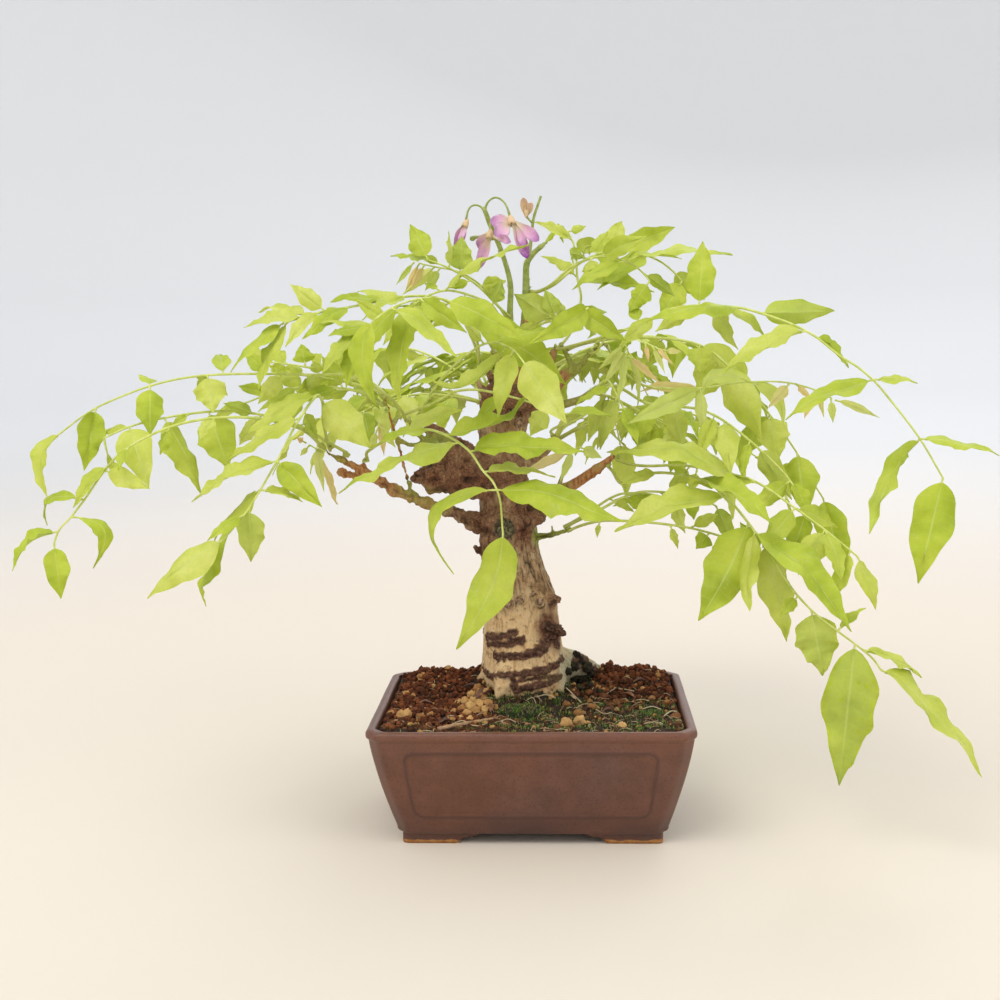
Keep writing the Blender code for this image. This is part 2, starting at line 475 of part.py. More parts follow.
# What lies on the soil: (pixel x, pixel y, radius)
PEBBLE_BANK = [(466, 706, 2.7), (475, 703, 2.9), (484, 700, 2.7), (472, 698, 2.6), (481, 695, 2.6),
               (462, 711, 2.5), (471, 710, 2.8), (480, 707, 2.9), (488, 705, 2.5), (467, 716, 2.4),
               (476, 714, 2.7), (485, 712, 2.6), (478, 691, 2.4), (486, 694, 2.3)]
PEBBLES = {"pebble_left": (404, 718, 3.6), "pebble_right": (580, 725, 3.2)}
MOSS = {"moss_front": (521, 712, 14, 11, 3.4), "moss_right": (650, 716, 13, 7.5, 2.4)}
FALLEN_TWIG = [(438, 731), (458, 727), (478, 723), (498, 720)]

COLOURS = {
    "glaze": ((0.115, 0.048, 0.036, 1), 0.35),
    "soil": ((0.09, 0.032, 0.018, 1), 0.9),
    "bark": ((0.2, 0.13, 0.08, 1), 0.85),
    "leaf": ((0.46, 0.64, 0.08, 1), 0.5),
    "young_leaf": ((0.6, 0.62, 0.22, 1), 0.5),
    "stem": ((0.2, 0.3, 0.06, 1), 0.5),
    "lilac": ((0.72, 0.42, 0.68, 1), 0.5),
    "peach": ((0.8, 0.55, 0.35, 1), 0.5),
    "moss": ((0.05, 0.1, 0.015, 1), 0.95),
    "pebble": ((0.55, 0.33, 0.14, 1), 0.85),
    "dry_leaf": ((0.3, 0.2, 0.13, 1), 0.8),
    "screen": ((0.03, 0.03, 0.03, 1), 0.5),
}


def clear_scene():
    for thing in list(bpy.data.objects):
        bpy.data.objects.remove(thing)


def view_axes():
    """The view's rightward, upward and forward directions."""
    forward = Vector((math.sin(VIEW_YAW), math.cos(VIEW_YAW), 0)) * math.cos(VIEW_PITCH)
    forward.z = -math.sin(VIEW_PITCH)
    right = Vector((math.cos(VIEW_YAW), -math.sin(VIEW_YAW), 0))
    up = right.cross(forward)
    turn = Matrix.Rotation(-VIEW_ROLL, 3, forward)
    return turn @ right, turn @ up, forward


VIEW_RIGHT, VIEW_UP, VIEW_FORWARD = view_axes()


def ray_of(px, py):
    """The direction in which the eye sees a pixel."""
    across = (px - VIEW_CENTRE) / VIEW_FOCAL
    down = (py - VIEW_CENTRE) / VIEW_FOCAL
    return VIEW_FORWARD + VIEW_RIGHT * across - VIEW_UP * down


def place(px, py, depth):
    """The point seen at a pixel, as far behind the pot's middle as depth says."""
    ray = ray_of(px, py)
    return EYE + ray * ((depth - EYE.y) / ray.y)


def seen(point):
    """The pixel at which a point is seen."""
    way = point - EYE
    reach = way.dot(VIEW_FORWARD)
    return Vector((VIEW_CENTRE + VIEW_FOCAL * way.dot(VIEW_RIGHT) / reach,
                   VIEW_CENTRE - VIEW_FOCAL * way.dot(VIEW_UP) / reach))


def shift_depth(point, deeper):
    """The point that is seen at the same pixel, that much further from the eye along Y."""
    return EYE + (point - EYE) * ((point.y + deeper - EYE.y) / (point.y - EYE.y))


def mm_per_pixel(point):
    return (point - EYE).dot(VIEW_FORWARD) / VIEW_FOCAL


def material(name):
    found = bpy.data.materials.get(name)
    if found:
        return found
    colour, roughness = COLOURS[name]
    made = bpy.data.materials.new(name)
    made.use_nodes = True
    made.diffuse_color = colour
    shader = made.node_tree.nodes["Principled BSDF"]
    shader.inputs["Base Color"].default_value = colour
    shader.inputs["Roughness"].default_value = roughness
    return made


def solid(name, form, finish):
    """An object in metres from a bmesh in millimetres, its faces turned out."""
    bmesh.ops.recalc_face_normals(form, faces=form.faces[:])
    bmesh.ops.scale(form, vec=(MM, MM, MM), verts=form.verts[:])
    mesh = bpy.data.meshes.new(name)
    form.to_mesh(mesh)
    form.free()
    made = bpy.data.objects.new(name, mesh)
    made.data.materials.append(material(finish))
    bonsai.objects.link(made)
    return made


def smooth_path(points, steps):
    """Points along a smooth curve through the given ones, steps to each stretch."""
    ends = [points[0] * 2 - points[1]] + list(points) + [points[-1] * 2 - points[-2]]
    path = []
    for i in range(1, len(ends) - 2):
        a, b, c, d = ends[i - 1:i + 3]
        for k in range(steps):
            t = k / steps
            bend = (2 * a - 5 * b + 4 * c - d) * t ** 2 + (3 * b - a - 3 * c + d) * t ** 3
            path.append(b + ((c - a) * t + bend) * 0.5)
    path.append(points[-1].copy())
    return path


def tube(name, points, sides, grow=0.0):
    """A closed tube through (point, radius) pairs, in metres. grow swells it and lengthens it."""
    curve = bpy.data.curves.new(name, "CURVE")
    curve.dimensions = "3D"
    curve.bevel_depth = MM
    curve.bevel_resolution = (sides - 4) // 2
    curve.use_fill_caps = True
    spline = curve.splines.new("POLY")
    spline.points.add(len(points) - 1)
    ends = [p.copy() for p, _ in points]
    ends[0] += (ends[0] - ends[1]).normalized() * grow
    ends[-1] += (ends[-1] - ends[-2]).normalized() * grow
    for slot, at, (_, radius) in zip(spline.points, ends, points):
        slot.co = (*(at * MM), 1)
        slot.radius = radius + grow
    shape = bpy.data.objects.new(name, curve)
    helpers.objects.link(shape)
    bpy.context.view_layer.update()
    evaluated = shape.evaluated_get(bpy.context.evaluated_depsgraph_get())
    mesh = bpy.data.meshes.new_from_object(evaluated)
    form = bmesh.new()
    form.from_mesh(mesh)
    bmesh.ops.remove_doubles(form, verts=form.verts[:], dist=MERGE_WITHIN)
    bmesh.ops.recalc_face_normals(form, faces=form.faces[:])
    form.to_mesh(mesh)
    form.free()
    bpy.data.objects.remove(shape)
    made = bpy.data.objects.new(name, mesh)
    helpers.objects.link(made)
    return made


def lump(name, centre, radius, seed, fineness, squash=1.0, rough=0.22):
    """A knobbly ball, as a mesh object in metres."""
    form = bmesh.new()
    bmesh.ops.create_icosphere(form, subdivisions=fineness, radius=1)
    for v in form.verts:
        swell = 1 + rough * noise.noise(v.co * 1.7 + Vector((seed * 3.1, seed * 1.3, seed * 0.7)))
        v.co = v.co * radius * swell
        v.co.z *= squash
        v.co = (v.co + centre) * MM
    mesh = bpy.data.meshes.new(name)
    form.to_mesh(mesh)
    form.free()
    made = bpy.data.objects.new(name, mesh)
    helpers.objects.link(made)
    return made


def combine(target, others, operation):
    """Joins others to target, or cuts them from it, by one Boolean, and removes them."""
    group = bpy.data.collections.new("operands")
    bpy.context.scene.collection.children.link(group)
    for other in others:
        for home in list(other.users_collection):
            home.objects.unlink(other)
        group.objects.link(other)
    step = target.modifiers.new(operation.lower(), "BOOLEAN")
    step.operation = operation
    step.operand_type = "COLLECTION"
    step.collection = group
    step.solver = "EXACT"
    bpy.context.view_layer.update()
    evaluated = target.evaluated_get(bpy.context.evaluated_depsgraph_get())
    mesh = bpy.data.meshes.new_from_object(evaluated)
    target.modifiers.clear()
    old = target.data
    target.data = mesh
    mesh.name = target.name
    bpy.data.meshes.remove(old)
    for other in others:
        bpy.data.objects.remove(other)
    bpy.data.collections.remove(group)
    tidy_mesh(mesh)


def tidy_mesh(mesh):
    """Dissolves flat edges that a Boolean left, drops loose scraps and cuts the faces into triangles."""
    form = bmesh.new()
    form.from_mesh(mesh)
    bmesh.ops.remove_doubles(form, verts=form.verts[:], dist=MERGE_WITHIN)
    bmesh.ops.dissolve_degenerate(form, edges=form.edges[:], dist=MERGE_WITHIN)
    bmesh.ops.triangulate(form, faces=form.faces[:])
    keep_largest(form)
    form.to_mesh(mesh)
    form.free()


def keep_largest(form):
    """Removes every piece but the one with the most faces."""
    left = set(form.faces)
    pieces = []
    while left:
        front = [left.pop()]
        piece = list(front)
        while front:
            face = front.pop()
            near = {other for edge in face.edges for other in edge.link_faces} & left
            left -= near
            front.extend(near)
            piece.extend(near)
        pieces.append(piece)
    pieces.sort(key=len)
    for piece in pieces[:-1]:
        bmesh.ops.delete(form, geom=piece, context="FACES")


def round_rectangle(half_x, half_y, radius, per_corner):
    """Corner points of a rounded rectangle, anticlockwise, per_corner to each corner."""
    points = []
    for turn, (cx, cy) in enumerate(((1, 1), (-1, 1), (-1, -1), (1, -1))):
        for k in range(per_corner):
            angle = math.radians(90 * (turn + k / (per_corner - 1)))
            points.append(Vector((cx * (half_x - radius) + radius * math.cos(angle),
                                  cy * (half_y - radius) + radius * math.sin(angle), 0)))
    return points


def wall_inset(z):
    """How far the bowed wall has come in at height z."""
    return POT_TAPER * max(0.0, 1 - z / (POT_HEIGHT - 2)) ** WALL_BOW


def loft(form, sections):
    """Bridges like rings of points, and caps the first and last."""
    rings = [[form.verts.new(p) for p in section] for section in sections]
    for a, b in zip(rings, rings[1:]):
        for k in range(len(a)):
            n = (k + 1) % len(a)
            form.faces.new((a[k], a[n], b[n], b[k]))
    form.faces.new(rings[0])
    form.faces.new(reversed(rings[-1]))


def pot_section(z, inset, corner):
    points = round_rectangle(POT_LENGTH / 2 - inset, POT_DEPTH / 2 - inset, corner, CORNER_POINTS)
    return [p + Vector((0, 0, z)) for p in points]


def inner_section(z, gap):
    return pot_section(z, POT_WALL + gap + wall_inset(z), POT_CORNER - POT_WALL * 0.5)


def foot(name, corner_x, corner_y, length, inset, low, top):
    """One corner bracket of the foot: a flat angle of that length from low to top."""
    outer_x = FEET_LENGTH / 2 - inset
    outer_y = FEET_DEPTH / 2 - inset
    outline = [(-FOOT_CORNER, 0), (-length, 0), (FOOT_SLOPE - length, -FOOT_WIDTH),
               (-FOOT_WIDTH, -FOOT_WIDTH), (-FOOT_WIDTH, FOOT_SLOPE - length), (0, -length), (0, -FOOT_CORNER)]
    plan = [((outer_x + x) * corner_x, (outer_y + y) * corner_y) for x, y in outline]
    form = bmesh.new()
    rings = [[form.verts.new((x, y, z)) for x, y in plan] for z in (low, top)]
    for k in range(len(outline)):
        n = (k + 1) % len(outline)
        form.faces.new((rings[0][k], rings[0][n], rings[1][n], rings[1][k]))
    form.faces.new(rings[0])
    form.faces.new(rings[1])
    bmesh.ops.recalc_face_normals(form, faces=form.faces[:])
    bmesh.ops.scale(form, vec=(MM, MM, MM), verts=form.verts[:])
    mesh = bpy.data.meshes.new(name)
    form.to_mesh(mesh)
    form.free()
    made = bpy.data.objects.new(name, mesh)
    helpers.objects.link(made)
    return made


def drain(name, x, bottom, top, radius):
    """A cutter for a drain hole."""
    form = bmesh.new()
    bmesh.ops.create_cone(form, cap_ends=True, segments=14, radius1=radius, radius2=radius,
                          depth=top - bottom)
    bmesh.ops.translate(form, vec=(x, 0, (top + bottom) / 2), verts=form.verts[:])
    bmesh.ops.scale(form, vec=(MM, MM, MM), verts=form.verts[:])
    mesh = bpy.data.meshes.new(name)
    form.to_mesh(mesh)
    form.free()
    made = bpy.data.objects.new(name, mesh)
    helpers.objects.link(made)
    return made


def make_pot():
    """The glazed pot: bowed walls, a rounded lip, a floor with two drain holes, and four corner feet."""
    outer = [pot_section(FOOT_HEIGHT, wall_inset(FOOT_HEIGHT) + 0.6, POT_CORNER)]
    for z in (*WALL_LEVELS, POT_HEIGHT - LIP_DEPTH - 1):
        outer.append(pot_section(z, wall_inset(z) + LIP_PROUD, POT_CORNER))
    outer.append(pot_section(POT_HEIGHT - LIP_DEPTH, 0.3, POT_CORNER))
    outer.append(pot_section(POT_HEIGHT - 1.4, 0, POT_CORNER))
    outer.append(pot_section(POT_HEIGHT, 1.3, POT_CORNER))
    outer.append(pot_section(POT_HEIGHT, POT_WALL - 1, POT_CORNER - 2))
    floor_top = FOOT_HEIGHT + POT_FLOOR
    for z in (POT_HEIGHT - 1.6, *reversed(INNER_LEVELS), floor_top):
        outer.append(inner_section(z, 0))
    form = bmesh.new()
    loft(form, outer)
    pot = solid("pot", form, "glaze")
    feet = []
    for i, (cx, cy) in enumerate(((1, 1), (-1, 1), (-1, -1), (1, -1))):
        low = FOOT_HEIGHT - FOOT_STEP_HEIGHT
        feet.append(foot(f"step_{i}", cx, cy, FOOT_STEP_LENGTH, 0.5, low, FOOT_HEIGHT + 2))
        feet.append(foot(f"foot_{i}", cx, cy, FOOT_LENGTH, 0, 0, FOOT_HEIGHT + 3))
    combine(pot, feet, "UNION")
    holes = [drain(f"drain_{i}", x, FOOT_HEIGHT - 3, floor_top + 3, DRAIN_RADIUS)
             for i, x in enumerate((-DRAIN_PLACE, DRAIN_PLACE))]
    combine(pot, holes, "DIFFERENCE")
    return pot


def make_screens():
    """A plastic net square over each drain hole, under the soil."""
    low = FOOT_HEIGHT + POT_FLOOR + SEAT_GAP
    half = SCREEN_BAR_WIDTH / 2
    lines = sorted(bar + edge for bar in SCREEN_BARS for edge in (-half, half))
    for x, name in ((-DRAIN_PLACE, "drain_net_left"), (DRAIN_PLACE, "drain_net_right")):
        form = bmesh.new()
        grid = [[form.verts.new((x + across, along, low)) for along in lines] for across in lines]
        for i in range(len(lines) - 1):
            for j in range(len(lines) - 1):
                if i % 2 == 0 or j % 2 == 0:
                    form.faces.new((grid[i][j], grid[i + 1][j], grid[i + 1][j + 1], grid[i][j + 1]))
        raised = bmesh.ops.extrude_face_region(form, geom=form.faces[:])
        lifted = [v for v in raised["geom"] if isinstance(v, bmesh.types.BMVert)]
        bmesh.ops.translate(form, vec=(0, 0, SCREEN_THICKNESS), verts=lifted)
        solid(name, form, "screen")


def soil_height(x, y):
    """The soil's top: level at the rim, mounded up to the trunk, with the grains' relief."""
    trunk = place(526, 684, 28)
    near = math.exp(-((x - trunk.x) ** 2 + (y - trunk.y) ** 2) / (2 * SOIL_MOUND_SPREAD ** 2))
    coarse = noise.noise(Vector((x * 0.31, y * 0.31, 4)))
    fine = noise.noise(Vector((x * 0.7, y * 0.7, 9)))
    grains = coarse + 0.6 * fine
    return SOIL_EDGE + SOIL_MOUND * near + GRAIN_RELIEF * grains


def make_soil():
    """The soil: a block a little off the pot's walls, under the relief of its top."""
    low = FOOT_HEIGHT + POT_FLOOR + SCREEN_THICKNESS + 2 * SEAT_GAP
    form = bmesh.new()
    loft(form, [inner_section(z, SEAT_GAP) for z in (low, *INNER_LEVELS, POT_HEIGHT + 8)])
    soil = solid("soil", form, "soil")
    ground = bmesh.new()
    bmesh.ops.create_grid(ground, x_segments=GROUND_CELLS_X, y_segments=GROUND_CELLS_Y, size=1)
    for v in ground.verts:
        v.co = Vector((v.co.x * POT_LENGTH / 2, v.co.y * POT_DEPTH / 2, 0))
        v.co.z = soil_height(v.co.x, v.co.y)
    raised = bmesh.ops.extrude_face_region(ground, geom=ground.faces[:])
    for v in raised["geom"]:
        if isinstance(v, bmesh.types.BMVert):
            v.co.z = 0
    bmesh.ops.triangulate(ground, faces=ground.faces[:])
    relief = solid("relief", ground, "soil")
    bonsai.objects.unlink(relief)
    helpers.objects.link(relief)
    combine(soil, [relief], "INTERSECT")
    return soil


def placed(points):
    """(point, radius) pairs from (pixel x, pixel y, depth, radius) rows."""
    return [(place(px, py, depth), radius) for px, py, depth, radius in points]


def mesh_tree(shape):
    """A search tree of an object's faces, in millimetres."""
    points = [shape.matrix_world @ v.co / MM for v in shape.data.vertices]
    faces = [tuple(p.vertices) for p in shape.data.polygons]
    return BVHTree.FromPolygons(points, faces)


def bark_ridge(i, pixels, radius, tree):
    """A flake of bark that runs across the front of the trunk, half sunk in it."""
    points = []
    for k, (px, py) in enumerate(pixels):
        hit = tree.ray_cast(EYE, ray_of(px, py))[0]
        if hit is None:
            continue
        slim = 0.5 if k in (0, len(pixels) - 1) else 1
        points.append((hit, radius * slim))
    return tube(f"ridge_{i}", points, 4)


def make_wood():
    """Trunk, roots, branches, spurs and burrs, as one grown piece."""
    trunk = tube("wood", placed(TRUNK), 12)
    tree = mesh_tree(trunk)
    extra = [tube(f"root_{name}", placed(row), 8) for name, row in ROOTS.items()]
    extra += [tube(f"branch_{name}", placed(row), 6) for name, row in BRANCHES.items()]
    extra += [tube(f"twig_{name}", placed(row), 4) for name, row in TWIGS.items()]
    for i, (px, py, depth, radius) in enumerate(KNOBS):
        extra.append(lump(f"knob_{i}", place(px, py, depth), radius, i, 2 if radius > 7.5 else 1))
    extra += [bark_ridge(i, pixels, radius, tree) for i, (pixels, radius) in enumerate(BARK_RIDGES)]
    px, py, ring, rim = CUT_SCAR
    hit, normal = tree.ray_cast(EYE, ray_of(px, py))[:2]
    around = normal.to_track_quat("Z", "Y").to_matrix()
    loop = [(hit + around @ Vector((ring * math.cos(a), ring * math.sin(a), 0)), rim)
            for a in (math.radians(k * 40) for k in range(8))]
    extra.append(tube("cut_scar", loop, 4))
    combine(trunk, extra, "UNION")
    helpers.objects.unlink(trunk)
    bonsai.objects.link(trunk)
    trunk.data.materials.clear()
    trunk.data.materials.append(material("bark"))
    return trunk


def soil_point(px, py):
    """Where the eye sees that pixel on the soil."""
    ray = ray_of(px, py)
    at = EYE + ray * ((SOIL_EDGE - EYE.z) / ray.z)
    for _ in range(6):
        at = EYE + ray * ((soil_height(at.x, at.y) - EYE.z) / ray.z)
    return at


def hull_around(shape, grow):
    """A convex shape that holds another with room all round it."""
    form = bmesh.new()
    form.from_mesh(shape.data)
    hull = bmesh.ops.convex_hull(form, input=form.verts[:])
    loose = {v for v in hull["geom_interior"] + hull["geom_unused"] if isinstance(v, bmesh.types.BMVert)}
    bmesh.ops.delete(form, geom=list(loose), context="VERTS")
    kept = [v.co.copy() for v in form.verts if v.link_faces]
    form.free()
    middle = sum(kept, Vector()) / len(kept)
    form = bmesh.new()
    for co in kept:
        form.verts.new(co + (co - middle).normalized() * grow * MM)
    bmesh.ops.convex_hull(form, input=form.verts[:])
    bmesh.ops.delete(form, geom=[v for v in form.verts if not v.link_faces], context="VERTS")
    bmesh.ops.recalc_face_normals(form, faces=form.faces[:])
    mesh = bpy.data.meshes.new(f"around_{shape.name}")
    form.to_mesh(mesh)
    form.free()
    made = bpy.data.objects.new(mesh.name, mesh)
    helpers.objects.link(made)
    return made


def mound(name, at, half_sizes):
    """A flattened cushion, such as moss grows in."""
    made = lump(name, Vector((0, 0, 0)), 1, 5, 2, 1, 0.12)
    for v in made.data.vertices:
        v.co = Vector([part * half for part, half in zip(v.co, half_sizes)]) + at * MM
    return made


def bury(soil):
    """Cuts the soil's hollows for the roots, and seats moss, pebbles and the fallen twig in theirs."""
    cutters = [tube("cut_trunk", placed(TRUNK)[:3], 12, HOLE_ROOM)]
    cutters += [tube(f"cut_{name}", placed(row), 8, HOLE_ROOM) for name, row in ROOTS.items()]
    for name, (px, py, *half_sizes) in MOSS.items():
        at = soil_point(px, py)
        dress(mound(name, at, half_sizes), "moss")
        cutters.append(mound(f"cut_{name}", at, [half + HOLE_ROOM for half in half_sizes]))
    for name, (px, py, radius) in PEBBLES.items():
        at = soil_point(px, py) + Vector((0, 0, radius * 0.25))
        dress(lump(name, at, radius, radius, 1, 0.8, 0.3), "pebble")
        cutters.append(lump(f"cut_{name}", at, radius + HOLE_ROOM, radius, 1, 0.84, 0.3))
    bank = []
    for i, (px, py, radius) in enumerate(PEBBLE_BANK):
        at = soil_point(px, py) + Vector((0, 0, radius * (0.3 + 0.5 * (i % 3 == 0))))
        bank.append(lump(f"bank_{i}" if i else "pebble_bank", at, radius * 1.5, i, 1, 0.8, 0.25))
    combine(bank[0], bank[1:], "UNION")
    dress(bank[0], "pebble")
    cutters.append(hull_around(bank[0], HOLE_ROOM))
    stick = [(soil_point(px, py) + Vector((0, 0, 0.9)), 1.2) for px, py in FALLEN_TWIG]
    dress(tube("fallen_twig", stick, 6), "dry_leaf")
    cutters.append(tube("cut_stick", stick, 6, HOLE_ROOM))
    combine(soil, cutters, "DIFFERENCE")


def dress(shape, finish):
    """Moves a helper shape in among the object's own pieces, with its material."""
    shape.data.materials.clear()
    shape.data.materials.append(material(finish))
    for home in list(shape.users_collection):
        home.objects.unlink(shape)
    bonsai.objects.link(shape)


def frames_along(path):
    """Direction, side and up at each point of a path, turning as little as they can."""
    frames = []
    up = Vector((0, 0, 1))
    for i in range(len(path)):
        way = (path[min(i + 1, len(path) - 1)] - path[max(i - 1, 0)]).normalized()
        flat = up - way * up.dot(way)
        if flat.length < 1e-3:
            flat = Vector((0, 1, 0)) - way * way.y
        up = flat.normalized()
        frames.append((way, way.cross(up), up))
    return frames


class Blade:
    """One leaflet or petal: a thin arched blade, thickest along its rib."""

    def __init__(self, root, tip, width, upper, through=None, arch=0.08, rib=BLADE_RIB, wave=0.0, seed=0):
        self.root, self.tip, self.width, self.upper = root, tip, width, upper
        self.rib, self.wave, self.seed = rib, wave, seed
        middle = (root + tip) / 2 + upper * (tip - root).length * arch if through is None else through
        self.pull = middle * 2 - (root + tip) / 2

    def at(self, f):
        return self.root * (1 - f) ** 2 + self.pull * 2 * f * (1 - f) + self.tip * f * f

    def frame(self, f):
        way = ((self.pull - self.root) * (1 - f) + (self.tip - self.pull) * f).normalized()
        side = way.cross(self.upper).normalized()
        return way, side, side.cross(way)

    def ring(self, f, share, grow=0.0):
        """The four points of the blade's section at f: left edge, upper rib, right edge, lower rib."""
        _, side, up = self.frame(f)
        centre = self.at(f)
        half = self.width * share / 2 + grow
        thick = self.rib * (0.55 + 0.45 * share) / 2 + grow
        lift = self.wave * self.width * share
        left = centre - side * half + up * lift * math.sin(self.seed + f * 7)
        right = centre + side * half + up * lift * math.cos(self.seed * 1.7 + f * 8)
        return [left, centre + up * thick, right, centre - up * thick]

    def centre(self, f):
        ring = self.ring(f, 1)
        return (ring[1] + ring[3]) / 2

    def stations(self):
        """Where along the blade its sections lie, and each one's share of the full width."""
        if (self.tip - self.root).length < LONG_LEAFLET:
            return ((0.34, 0.95), (0.7, 0.7))
        return ((0.2, 0.78), (0.46, 1.0), (0.76, 0.6))

    def form(self, start, grow):
        """The blade alone as a closed shape, from start on the way to its first section out to its tip."""
        made = bmesh.new()
        first = self.ring(*self.stations()[0])
        middle = (first[1] + first[3]) / 2
        rings = [[self.root.lerp(p, start) + (p - middle).normalized() * grow for p in first]]
        rings += [self.ring(f, share, grow) for f, share in self.stations()]
        rings = [[made.verts.new(p) for p in ring] for ring in rings]
        for a, b in zip(rings, rings[1:]):
            bridge(made, a, b)
        way = self.frame(1)[0]
        close_tip(made, rings[-1], made.verts.new(self.tip + way * grow * 1.5))
        made.faces.new(rings[0])
        return made


def bridge(form, a, b):
    """Joins two four-point sections, split alike above and below."""
    left_a, top_a, right_a, under_a = a
    left_b, top_b, right_b, under_b = b
    for edge_a, edge_b in ((left_a, left_b), (right_a, right_b)):
        for rib_a, rib_b in ((top_a, top_b), (under_a, under_b)):
            form.faces.new((edge_a, rib_a, rib_b))
            form.faces.new((edge_a, rib_b, edge_b))


def close_tip(form, ring, tip):
    left, top, right, under = ring
    for a, b in ((left, top), (top, right), (right, under), (under, left)):
        form.faces.new((a, b, tip))


def tree_of(form):
    bmesh.ops.triangulate(form, faces=form.faces[:])
    tree = BVHTree.FromBMesh(form)
    low = Vector([min(v.co[k] for v in form.verts) for k in range(3)])
    high = Vector([max(v.co[k] for v in form.verts) for k in range(3)])
    form.free()
    return tree, low, high


class Crowd:
    """Everything placed so far, each with its owner's name, to keep what comes next clear of it."""

    def __init__(self):
        self.placed = {}

    def add(self, entry, owner, part=None):
        self.placed[owner, part] = entry

    def remove(self, owner, part):
        del self.placed[owner, part]

    def clear(self, entry, only=None, skip=None):
        """True where a shape crosses nothing, or nothing of only's, or nothing apart from skip's."""
        tree, low, high = entry
        for (owner, _), (other, other_low, other_high) in self.placed.items():
            if (only and owner != only) or (skip and owner == skip):
                continue
            if any(low[k] > other_high[k] or high[k] < other_low[k] for k in range(3)):
                continue
            if tree.overlap(other):
                return False
        return True


def crossings(form):
    """The pairs of faces of one shape that cross, apart from neighbours that share a point."""
    form.faces.ensure_lookup_table()
    tree = BVHTree.FromBMesh(form)
    corners = [{v.index for v in face.verts} for face in form.faces]
    return [(a, b) for a, b in tree.overlap(tree) if a < b and not corners[a] & corners[b]]


def object_entry(shape):
    points = [shape.matrix_world @ v.co / MM for v in shape.data.vertices]
    low = Vector([min(p[k] for p in points) for k in range(3)])
    high = Vector([max(p[k] for p in points) for k in range(3)])
    return mesh_tree(shape), low, high


def stem_radius(share):
    """A petiole's radius: swollen at its foot, then slimmer towards the end."""
    if share == 0:
        return PETIOLE_RADIUS * 1.35
    return PETIOLE_RADIUS + (RACHIS_RADIUS - PETIOLE_RADIUS) * share ** 0.8


def stem_ring(centre, frame, radius):
    """Top, left and right points of a three-sided section."""
    _, side, up = frame
    return [centre + up * radius, centre - side * radius * 0.87 - up * radius * 0.5,
            centre + side * radius * 0.87 - up * radius * 0.5]


def off_line(point, a, b):
    """How far a point lies from the line from a to b."""
    along = (b - a).normalized()
    away = point - a
    return (away - along * away.dot(along)).length


def thin_out(path, first, last):
    """The few points between two of a path that keep straight stretches within BEND_SLACK of it."""
    if last - first < 2:
        return []
    spot = max(range(first + 1, last), key=lambda i: off_line(path[i], path[first], path[last]))
    if off_line(path[spot], path[first], path[last]) < BEND_SLACK:
        return []
    return thin_out(path, first, spot) + [spot] + thin_out(path, spot, last)


class Stem:
    """A compound leaf's petiole and rachis: a smooth path, and the few points of it that the solid has."""

    def __init__(self, through, frond):
        self.path = smooth_path(through, PATH_STEPS)
        self.frames = frames_along(self.path)
        self.leaves = leaflets_of(frond, self.path, self.frames)
        fixed = sorted({0, PATH_STEPS, len(self.path) - 1} | {leaf["at"] for leaf in self.leaves})
        self.kept = [0]
        for a, b in zip(fixed, fixed[1:]):
            self.kept += thin_out(self.path, a, b) + [b]
        self.points = [self.path[i] for i in self.kept]
        self.blades = {}
        self.reach = [0.0]
        for a, b in zip(self.points, self.points[1:]):
            self.reach.append(self.reach[-1] + (b - a).length)

    def root_reach(self, number):
        """How far along the stem a leaflet is rooted."""
        return self.reach[self.kept.index(self.leaves[number]["at"])]

    def section(self, s, grow=0.0):
        """The three points of the section at the distance s along the stem."""
        i = min(max(k for k in range(len(self.reach)) if self.reach[k] <= s + 1e-9), len(self.points) - 2)
        t = (s - self.reach[i]) / (self.reach[i + 1] - self.reach[i])
        a, b = self.frames[self.kept[i]], self.frames[self.kept[i + 1]]
        way = a[0].lerp(b[0], t).normalized()
        up = a[2].lerp(b[2], t)
        up = (up - way * up.dot(way)).normalized()
        centre = self.points[i].lerp(self.points[i + 1], t)
        return stem_ring(centre, (way, way.cross(up), up), stem_radius(s / self.reach[-1]) + grow), way, up

    def form(self, grow, first=0):
        """The stem alone as a closed shape, from its point number first on."""
        made = bmesh.new()
        rings = [[made.verts.new(p) for p in self.section(s, grow)[0]] for s in self.reach[first:]]
        for a, b in zip(rings, rings[1:]):
            for k in range(3):
                n = (k + 1) % 3
                made.faces.new((a[k], a[n], b[n]))
                made.faces.new((a[k], b[n], b[k]))
        made.faces.new(rings[0])
        made.faces.new(rings[-1])
        return made


